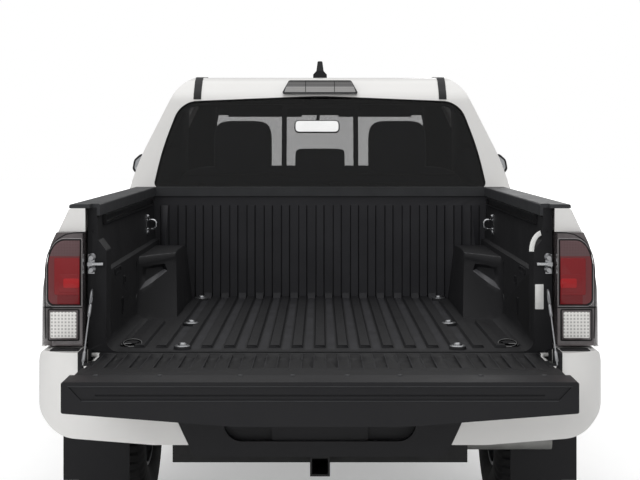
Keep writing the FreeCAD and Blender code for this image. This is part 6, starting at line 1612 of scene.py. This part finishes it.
@dataclass
class HighLamp:
    """High brake lamp: clear bands between dark edges, in three bays."""

    def build(self) -> None:
        """Cut the lamp's rear face into lens, edge and dividers."""
        cuts = [(2, 1.6945), (2, 1.6965), (2, 1.7215), (2, 1.7445), (0, -0.0665), (0, -0.0635), (0, 0.0635),
                (0, 0.0665)]
        lamp = sliced_copy("high_brake_lamp", "high_lamp", cuts)
        def rear(n: np.ndarray) -> np.ndarray:
            """Faces that look back."""
            return n[:, 1] < -0.35
        split_finish(lamp, "trim_light", [
            ("brake_low", lambda c, n: rear(n) & (c[:, 2] > 1.6965) & (c[:, 2] < 1.7215)
             & (np.abs(c[:, 0]) < 0.158)),
            ("brake_high", lambda c, n: rear(n) & (c[:, 2] > 1.7215) & (c[:, 2] < 1.7445)
             & (np.abs(c[:, 0]) < 0.150)),
            ("seal", lambda c, n: rear(n) & (c[:, 2] > 1.6945) & (c[:, 2] < 1.6965)),
            ("seal", lambda c, n: rear(n) & (np.abs(np.abs(c[:, 0]) - 0.065) < 0.0016) & (c[:, 2] > 1.6965)),
            ("seal", lambda c, n: rear(n) & (c[:, 2] > 1.7445))])
        settle(lamp, "chassis", "lamp_clear", "high_brake_lamp")


@dataclass
class Glazing:
    """Rubber seals round every window, fired black borders and the rear slider."""

    seal_radius: float = 0.0042
    seal_share: float = 0.8
    border_edge: float = 0.002
    border_lift: float = 0.0006
    rear_border: float = 0.024
    front_border: float = 0.045
    spacing: float = 0.018
    slider_half: float = 0.160
    slider_low: float = 1.330
    slider_high: float = 1.632

    def rim(self, node: str, way: Sequence[float], least: int) -> tuple[np.ndarray, np.ndarray, np.ndarray]:
        """Even points round one face of a window.

        Args:
            node: CAD node of the window.
            way: Direction in which the face looks.
            least: Smallest number of points.

        Returns:
            Points, vectors towards the inside and the face's normal.
        """
        loop, normal = rim_loop(node, way)
        length = float(np.linalg.norm(np.diff(np.vstack([loop, loop[:1]]), axis=0), axis=1).sum())
        ring = resample(loop, max(least, int(length / self.spacing)))
        return ring, loop_frame(ring, normal), normal

    def seal(self, node: str, way: Sequence[float], body: str, slot: str) -> None:
        """Lay a bead along the outer edge of one window.

        Args:
            node: CAD node of the window.
            way: Direction in which its outer face looks.
            body: CAD body that it moves with.
            slot: Material slot of the record.
        """
        ring, inward, _ = self.rim(node, way, 24)
        points, faces = sweep(ring + inward * self.seal_radius * self.seal_share, self.seal_radius, 8,
                              closed=True)
        piece(f"{node}_seal", [(points, faces)], "seal", body, slot)

    def border(self, node: str, way: Sequence[float], width: float, body: str) -> None:
        """Black ceramic border on the inner face of one window.

        Args:
            node: CAD node of the window.
            way: Direction in which its inner face looks.
            width: Width of the border.
            body: CAD body that it moves with.
        """
        ring, inward, normal = self.rim(node, way, 48)
        outer, inner = ring + inward * self.border_edge, ring + inward * width
        lift = normal * self.border_lift
        rows = np.stack([outer + lift, inner + lift, inner + lift * 3, outer + lift * 3], 0)
        piece(f"{node}_border", [(rows.reshape(-1, 3),
                                  grid_faces(4, len(ring), close_rows=True, close_columns=True).tolist())],
              "ceramic", body, "black_plastic")

    def slider(self) -> None:
        """Frame of the sliding middle pane on the inner face of the rear window."""
        glass = Probe(("rear_window",))
        outer = np.array(rounded([(-self.slider_half - 0.011, self.slider_low - 0.010),
                                  (self.slider_half + 0.011, self.slider_low - 0.010),
                                  (self.slider_half + 0.011, self.slider_high + 0.010),
                                  (-self.slider_half - 0.011, self.slider_high + 0.010)], 0.02))
        outer = resample(outer, 120)
        centre = outer.mean(0)
        half = np.array([self.slider_half + 0.011, (self.slider_high - self.slider_low) / 2 + 0.010])
        inner = centre + (outer - centre) * (half - np.array([0.022, 0.016])) / half
        rows = []
        for ring, lift in ((outer, 0.0008), (inner, 0.0008), (inner, 0.014), (outer, 0.014)):
            y = [glass.hit([x, 0.2, z], [0, -1, 0]) for x, z in ring]
            rows.append(np.array([[x, (p[1] if p is not None else -0.7) + lift, z]
                                  for (x, z), p in zip(ring, y)]))
        points = np.stack(rows, 0).reshape(-1, 3)
        tracks = []
        for z in (self.slider_high + 0.004, self.slider_low - 0.004):
            x = np.linspace(-0.60, 0.60, 41) if z < 1.5 else np.linspace(-0.55, 0.55, 41)
            line = []
            for value in x:
                spot = glass.hit([value, 0.2, z], [0, -1, 0])
                if spot is not None:
                    line.append(spot + np.array([0, 0.008, 0]))
            tracks.append(sweep(np.array(line), 0.006, 8))
        piece("rear_slider_frame", [(points, grid_faces(4, len(outer), close_rows=True,
                                                        close_columns=True).tolist())] + tracks,
              "seal", "chassis", "black_plastic")

    def build(self) -> None:
        """Build seals, borders and the slider."""
        self.seal("rear_window", (0, -1, 0.3), "chassis", "black_plastic")
        self.seal("windshield", (0, 0.6, 0.8), "chassis", "black_plastic")
        self.border("rear_window", (0, 1, -0.3), self.rear_border, "chassis")
        self.border("windshield", (0, -0.6, -0.8), self.front_border, "chassis")
        for side in Side:
            for where in ("front", "rear"):
                self.seal(f"glass_{where}_{side.word}", (side.value, 0, 0.3), f"door_{where}_{side.word}",
                          "black_plastic")
        self.slider()


@dataclass
class CabTrim:
    """Lining of the cab: roof lining, header roll, visors, pillar covers and belts."""

    lining_gap: float = 0.003
    header_low: float = 1.609

    def lining(self) -> Mesh:
        """Roof lining: an even sheet that follows the roof's inner face.

        Returns:
            Points and faces.
        """
        roof = Probe(("cab_shell",))
        across, along = np.linspace(-0.50, 0.50, 21), np.linspace(-0.44, 0.60, 19)
        low = np.zeros((len(along), len(across), 3))
        for i, y in enumerate(along):
            for k, x in enumerate(across):
                spot = roof.hit([x, y, 1.45], [0, 0, 1], 0.5)
                low[i, k] = (x, y, (float(spot[2]) if spot is not None else 1.745) - self.lining_gap - 0.006)
        high = low + np.array([0, 0, 0.006])
        rows, columns = len(along), len(across)
        points = np.vstack([low.reshape(-1, 3), high.reshape(-1, 3)])
        bottom = grid_faces(rows, columns)
        faces = bottom.tolist() + (bottom[:, ::-1] + rows * columns).tolist()
        edge = ([(0, k) for k in range(columns)] + [(i, columns - 1) for i in range(1, rows)]
                + [(rows - 1, k) for k in range(columns - 2, -1, -1)]
                + [(i, 0) for i in range(rows - 2, 0, -1)])
        ring = [i * columns + k for i, k in edge]
        for a, b in zip(ring, ring[1:] + ring[:1]):
            faces.append([a, b, b + rows * columns, a + rows * columns])
        return points, faces

    def header(self) -> list[Mesh]:
        """Roll above the windshield and the two visors folded against it.

        Returns:
            Points and faces of each.
        """
        roll = rounded([(0.600, 1.735), (0.640, 1.650), (0.700, self.header_low), (0.722, 1.640),
                        (0.700, 1.735)], 0.02)
        parts = [slab(roll, -0.555, 0.555, 0)]
        for side in (-1, 1):
            visor = rounded([(0.612, 1.668), (0.690, self.header_low - 0.004), (0.703, self.header_low),
                             (0.625, 1.676)], 0.005)
            parts.append(slab(visor, min(side * 0.10, side * 0.50), max(side * 0.10, side * 0.50), 0))
        return parts

    def pillars(self) -> list[Mesh]:
        """Covers of the middle and rear pillars, from the belt line to the roof.

        Each row of the cover sits a wall's depth inside the cab's side at its
        height, and its section is a flattened half ellipse.

        Returns:
            Points and faces of each.
        """
        side = Probe(("cab_shell", "door_front_right", "door_rear_right", "glass_front_right",
                      "glass_rear_right"))
        parts = []
        back = Probe(("cab_shell", "rear_window"))
        for y_low, y_high, depth, reach, z0, z1 in ((0.275, 0.425, 0.050, 0.537, 0.700, 1.715),
                                                    (-0.720, -0.330, 0.060, 0.610, 1.180, 1.690)):
            heights = np.linspace(z0, z1, 24)
            rows = []
            for z in heights:
                spot = side.hit([0.30, y_high - 0.07, z], [1, 0, 0], 0.8)
                base = (float(spot[0]) if spot is not None else 0.8) - 0.003
                stop = back.hit([base - depth, y_high, z], [0, -1, 0], 1.0)
                first = max(y_low, float(stop[1]) + 0.006) if stop is not None else y_low
                turn = np.linspace(0, np.pi, 11)
                y = (first + y_high) / 2 - (y_high
                                            - first) / 2 * np.sign(np.cos(turn)) * np.abs(np.cos(turn)) ** 0.6
                thick = max(depth, (base - reach) * min(1.0, max(0.0, (z - 1.15) / 0.18)))
                x = base - thick * np.abs(np.sin(turn)) ** 0.6
                rows.append(np.stack([x, y, np.full_like(x, z)], -1))
            grid = np.stack(rows, 0)
            count = grid.shape[1]
            faces = grid_faces(len(heights), count, close_columns=True).tolist()
            last = (len(heights) - 1) * count
            parts.append(both_sides((grid.reshape(-1, 3),
                                     faces + [list(range(count))[::-1], list(range(last, last + count))])))
        return parts

    def belts(self) -> list[Mesh]:
        """Front seat belts: a webbing strap from the pillar ring to the sill.

        Returns:
            Points and faces of each.
        """
        parts = []
        for side in (-1, 1):
            path = np.array([[0.628, 0.300, 1.560], [0.655, 0.285, 1.40], [0.685, 0.270, 1.20],
                             [0.690, 0.262, 0.98], [0.690, 0.255, 0.74]]) * [side, 1, 1]
            t = np.linspace(0, len(path) - 1, 40)
            line = np.stack([np.interp(t, np.arange(len(path)), path[:, axis]) for axis in range(3)], -1)
            wide = np.array([0.0, 0.023, 0.0])
            thick = np.array([0.0009 * side, 0.0, 0.0])
            rows = np.stack([line - wide - thick, line + wide - thick, line + wide + thick,
                             line - wide + thick], 1)
            faces = grid_faces(len(line), 4, close_columns=True).tolist()
            last = (len(line) - 1) * 4
            parts.append((rows.reshape(-1, 3), faces
                          + [[0, 1, 2, 3][::-1], [last, last + 1, last + 2, last + 3]]))
            parts.append(lathe([(-0.012, TIP), (-0.012, 0.020), (0.0, 0.022), (0.012, 0.020), (0.012, TIP)],
                               [side * 0.632, 0.300, 1.575], 0, 20))
        return parts

    def build(self) -> None:
        """Build the lining pieces."""
        piece("roof_lining", [self.lining()], "lining", "chassis", "black_plastic")
        piece("header_roll_and_visors", self.header(), "cabin", "chassis", "black_plastic")
        piece("pillar_covers", self.pillars(), "cabin", "chassis", "black_plastic")
        piece("front_belts", self.belts(), "webbing", "chassis", "seat_cloth")


@dataclass
class Dash:
    """Dashboard fittings: hood over the dials, screen, vents and inner mirror glass."""

    def build(self) -> None:
        """Build the fittings on the dashboard's face."""
        board = Probe(("dashboard",))

        def face(x: float, z: float) -> float:
            """Place of the dashboard's rear face."""
            spot = board.hit([x, 0.2, z], [0, 1, 0])
            return float(spot[1]) if spot is not None else 1.1

        y = face(0.0, 1.05)
        black = [plateau(oblong((-0.115, 1.000), (0.115, 1.130), 0.010), 1, y, -0.012, 0.004),
                 plateau(oblong((-0.545, 1.030), (-0.215, 1.140), 0.035), 1, y, -0.030, 0.012)]
        for x in (-0.62, -0.165, 0.165, 0.62):
            black.append(plateau(oblong((x - 0.042, 1.045), (x + 0.042, 1.095), 0.010), 1, y, -0.008, 0.003))
        piece("dash_fittings", black, "gloss_black", "chassis", "black_plastic")
        slats = []
        for x in (-0.62, -0.165, 0.165, 0.62):
            for k in range(4):
                z = 1.053 + k * 0.0105
                slats.append(plateau(oblong((x - 0.036, z), (x + 0.036, z + 0.004), 0.0015, 3), 1, y - 0.008,
                                     -0.003, 0.001))
        for x in (-0.455, -0.305):
            slats.append(lathe([(0.0, TIP), (0.0, 0.041), (-0.004, 0.043), (-0.006, 0.040), (-0.004, 0.037),
                                (-0.004, TIP)], [x, y - 0.030, 1.085], 1, 40))
        piece("dash_vent_slats", slats, "cabin", "chassis", "black_plastic")
        low, high = node_box("cabin_mirror")
        # The inner mirror glass glows: a painted reflection of the bright sky behind the truck.
        glass = plateau(oblong((low[0] + 0.006, low[2] + 0.008), (high[0] - 0.006, low[2] + 0.066), 0.020),
                        1, float(low[1]), -0.0014, 0.0006)
        piece("cabin_mirror_glass", [glass], "mirror_painted_reflection", "chassis", "black_plastic")


@dataclass
class DoorMirrors:
    """Mirror glass and black surround on the rear face of each cap."""

    reach: float = 1.102
    width: float = 0.205
    height: float = 0.122
    centre_z: float = 1.337
    shares: tuple[tuple[float, float], ...] = ((-0.12, -0.5), (0.0, -0.24), (-0.05, 0.22), (-0.24, 0.5),
                                               (-1.0, 0.44), (-1.0, -0.5))

    def outline(self, inset: float) -> list[tuple[float, float]]:
        """Outline of the cap's rear face, moved inwards.

        Args:
            inset: How far.

        Returns:
            Corners in order.
        """
        ring = np.array([(self.reach + x * self.width, self.centre_z + z * self.height)
                         for x, z in self.shares])
        centre = (ring.max(0) + ring.min(0)) / 2
        half = (ring.max(0) - ring.min(0)) / 2
        return rounded([tuple(p) for p in centre + (ring - centre) * (half - inset) / half], 0.026, 6)

    def build(self) -> None:
        """Build both surrounds and glasses."""
        for side in Side:
            low, _ = node_box(f"mirror_{side.word}")
            body = f"door_front_{side.word}"
            rim = plateau(self.outline(0.0015), 1, float(low[1]), -0.004, 0.003)
            glass = plateau(self.outline(0.0120), 1, float(low[1]) - 0.003, -0.0022, 0.0015)
            lead = mirror_x if side is Side.LEFT else (lambda part: part)
            piece(f"mirror_surround_{side.word}", [lead(rim)], "trim", body, "black_plastic")
            piece(f"mirror_glass_{side.word}", [lead(glass)], "mirror_glass", body, "mirror_shell")


@dataclass
class Nose:
    """Front end: two-tone bumper, lamp optics and wipers."""

    split_z: float = 0.560
    split_x: float = 0.43
    ledge_z: float = 0.66

    def bumper(self) -> None:
        """Paint the bumper's upper part and leave its lower part black."""
        thing = sliced_copy("front_bumper", "front_bumper_cover",
                            [(2, self.split_z), (0, -self.split_x), (0, self.split_x)])
        split_finish(thing, "trim", [("paint", lambda c, n: (c[:, 2] > self.split_z)
                                      & ((n[:, 1] > 0.3) | (n[:, 0] * np.sign(c[:, 0]) > 0.3)
                                         | ((n[:, 2] > 0.5) & (c[:, 2] > self.ledge_z))))])
        settle(thing, "chassis", "black_plastic", "front_bumper")

    def lamps(self) -> None:
        """Two optics on the front of each headlamp, a bright bowl in a dark ring."""
        lens = Probe(("headlamps",))
        rings, bright = [], []
        for x, z, r in ((0.680, 0.925, 0.040), (0.775, 0.930, 0.034)):
            spot = lens.hit([x, 3.3, z], [0, -1, 0])
            if spot is None:
                continue
            y = float(spot[1])
            rings.append(both_sides(lathe([(-0.002, r + 0.012), (0.003, r + 0.012), (0.005, r + 0.006),
                                           (0.003, r), (-0.002, r), (-0.002, r + 0.012)], [x, y, z], 1, 44)))
            bright.append(both_sides(lathe([(-0.004, TIP), (-0.004, r), (0.002, r * 0.96), (0.007, r * 0.7),
                                            (0.010, r * 0.35), (0.011, TIP)], [x, y, z], 1, 44)))
        piece("headlamp_rings", rings, "bezel", "chassis", "black_plastic")
        piece("headlamp_projectors", bright, "chrome", "chassis", "lamp_clear")

    def wipers(self) -> None:
        """Two wiper arms with blades at the foot of the windshield."""
        screen = Probe(("windshield", "cab_shell"))
        parts = []
        for x_pivot, x_tip in ((-0.52, 0.02), (0.02, 0.56)):
            x = np.linspace(x_pivot, x_tip, 30)
            z = 1.232 + 0.040 * np.sin(np.linspace(0, np.pi * 0.9, 30))
            line = []
            for a, b in zip(x, z):
                spot = screen.hit([a, 2.2, b], [0, -1, 0])
                if spot is not None:
                    line.append(spot + np.array([0, 0.006, 0.010]))
            line = np.array(line)
            parts.append(sweep(line, 0.0045, 8))
            parts.append(sweep(line[3:] + np.array([0, 0.004, -0.007]), 0.0030, 8))
            parts.append(lathe([(-0.010, TIP), (-0.010, 0.014), (0.008, 0.013), (0.014, 0.008),
                                (0.015, TIP)], line[0], 2, 20))
        piece("wiper_arms", parts, "seal", "chassis", "black_plastic")

    def build(self) -> None:
        """Build the front end's pieces."""
        self.bumper()
        self.lamps()
        self.wipers()


@dataclass
class Seat:
    """Upholstered seats: crowned closed pads with seams, inside the CAD forms."""

    power: float = 0.24
    rest_power: float = 0.42

    def pad(self, name: str, low: Sequence[float], high: Sequence[float], crown: float, bulge_axis: int,
            channels: int,
            power: float) -> bpy.types.Object:
        """Crowned closed cushion: a superellipsoid with channels across its face.

        Points follow x = a sgn(c) |c|^e with a small exponent e, so the form
        fills its box; the face swells by the crown towards its middle, and each
        channel is a cosine groove 3 mm deep.

        Args:
            name: Piece name.
            low: Lowest corner.
            high: Highest corner.
            crown: How much of the box the crown takes.
            bulge_axis: Axis across the cushion's face.
            channels: Number of sewn channels across the width.
            power: How square the form is; 1 is an ellipsoid.

        Returns:
            The padded piece.
        """
        low, high = np.asarray(low, float), np.asarray(high, float)
        centre, half = (low + high) / 2, (high - low) / 2
        u = np.linspace(-np.pi / 2, np.pi / 2, 49)
        v = np.linspace(-np.pi, np.pi, 128, endpoint=False)

        def soft(value: np.ndarray) -> np.ndarray:
            """Signed power that squares the sphere off."""
            return np.sign(value) * np.abs(value) ** power

        x = soft(np.cos(u))[:, None] * soft(np.cos(v))[None, :]
        y = soft(np.cos(u))[:, None] * soft(np.sin(v))[None, :]
        z = np.repeat(soft(np.sin(u))[:, None], len(v), 1)
        unit = np.stack([x, y, z], -1)
        others = [i for i in range(3) if i != bulge_axis]
        swell = 1 - crown * (0.5 * unit[..., others[0]] ** 2 + 0.5 * unit[..., others[1]] ** 2)
        groove = np.exp(-((np.cos(unit[..., others[0]] * np.pi * channels / 2))
                          / 0.12) ** 2) * 0.003 / half[bulge_axis]
        piping = np.exp(-((np.abs(unit[..., bulge_axis]) - 0.55) / 0.05) ** 2)
        unit[..., bulge_axis] = unit[..., bulge_axis] * swell * (1 - groove)
        points = centre + unit * half * (1 - 0.006 * piping[..., None])
        faces = [f for f in tidy_faces(grid_faces(len(u), len(v), close_columns=True)) if len(f) > 2]
        thing = make_object(name, points, faces, finish("cloth"), sharp_angle=80)
        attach(thing, "chassis")
        return thing

    def posts(self, name: str, places: Sequence[tuple[float, float, float, float]]) -> None:
        """Chromed headrest posts.

        Args:
            name: Piece name.
            places: X, Y, foot and head of each.
        """
        parts = [sweep(np.array([[x, y, z0], [x, y, (z0 + z1) / 2], [x, y, z1]]), 0.0055, 12)
                 for x, y, z0, z1 in places]
        piece(name, parts, "chrome", "chassis", "bright_metal")

    def build(self) -> None:
        """Build the three seats inside their CAD forms."""
        rests = {
            "seat_left": (1.345, [(-0.380, 0.130, 1.290, 1.546)]),
            "seat_right": (1.345, [(0.380, 0.130, 1.290, 1.546)]),
            "rear_seat": (1.365, [(-0.350, 0.131, 1.290, 1.568), (0.350, 0.131, 1.290, 1.568),
                                  (0.0, 0.112, 1.290, 1.442)])}
        for node, (back_top, heads) in rests.items():
            low, high = node_box(node)
            cushion = self.pad(f"{node}_cushion", [low[0], low[1] + 0.122, 0.701], [high[0], high[1], 0.850],
                               0.14, 2, 6, self.power)
            back = self.pad(f"{node}_back", [low[0], low[1], 0.776], [high[0], low[1] + 0.118, back_top],
                            0.16, 1, 6, self.power)
            base = box_part([low[0] + 0.045, low[1] + 0.17, 0.626], [high[0] - 0.045, high[1] - 0.085, 0.706])
            plinth = bevel(piece(f"{node}_plinth", [base], "cabin", "chassis", "black_plastic"), 0.012, 2)
            posts = []
            for index, (x, half_width, z0, z1) in enumerate(heads):
                self.pad(f"{node}_rest_{index}", [x - half_width, low[1] + 0.001, z0],
                         [x + half_width, low[1] + 0.089, z1], 0.18, 1, 1,
                         self.rest_power if abs(x) > 0.1 else self.power)
                posts += [(x + way * half_width / 2, low[1] + 0.060, back_top - 0.03, z0 + 0.02)
                          for way in (-1, 1)]
            self.posts(f"{node}_rest_posts", posts)
            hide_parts(node)
            log.info("%s with %d headrests, %s on %s", node, len(heads), cushion.name, plinth.name)


def main() -> None:
    """Build the truck's looks in order and report each piece."""
    logging.basicConfig(level=logging.INFO, format="%(message)s")
    bpy.context.scene.view_settings.view_transform = "Standard"
    dress_nodes()
    Studio().build()
    for group in (Wheels(), LoadBed(), Tailgate(), SupportCables(), TailLamps(), BumperPads(), HighLamp(),
                  Glazing(), CabTrim(), Dash(),
                  DoorMirrors(), Nose(), Seat()):
        log.info("building %s", type(group).__name__)
        group.build()


if __name__ == "__main__":
    main()
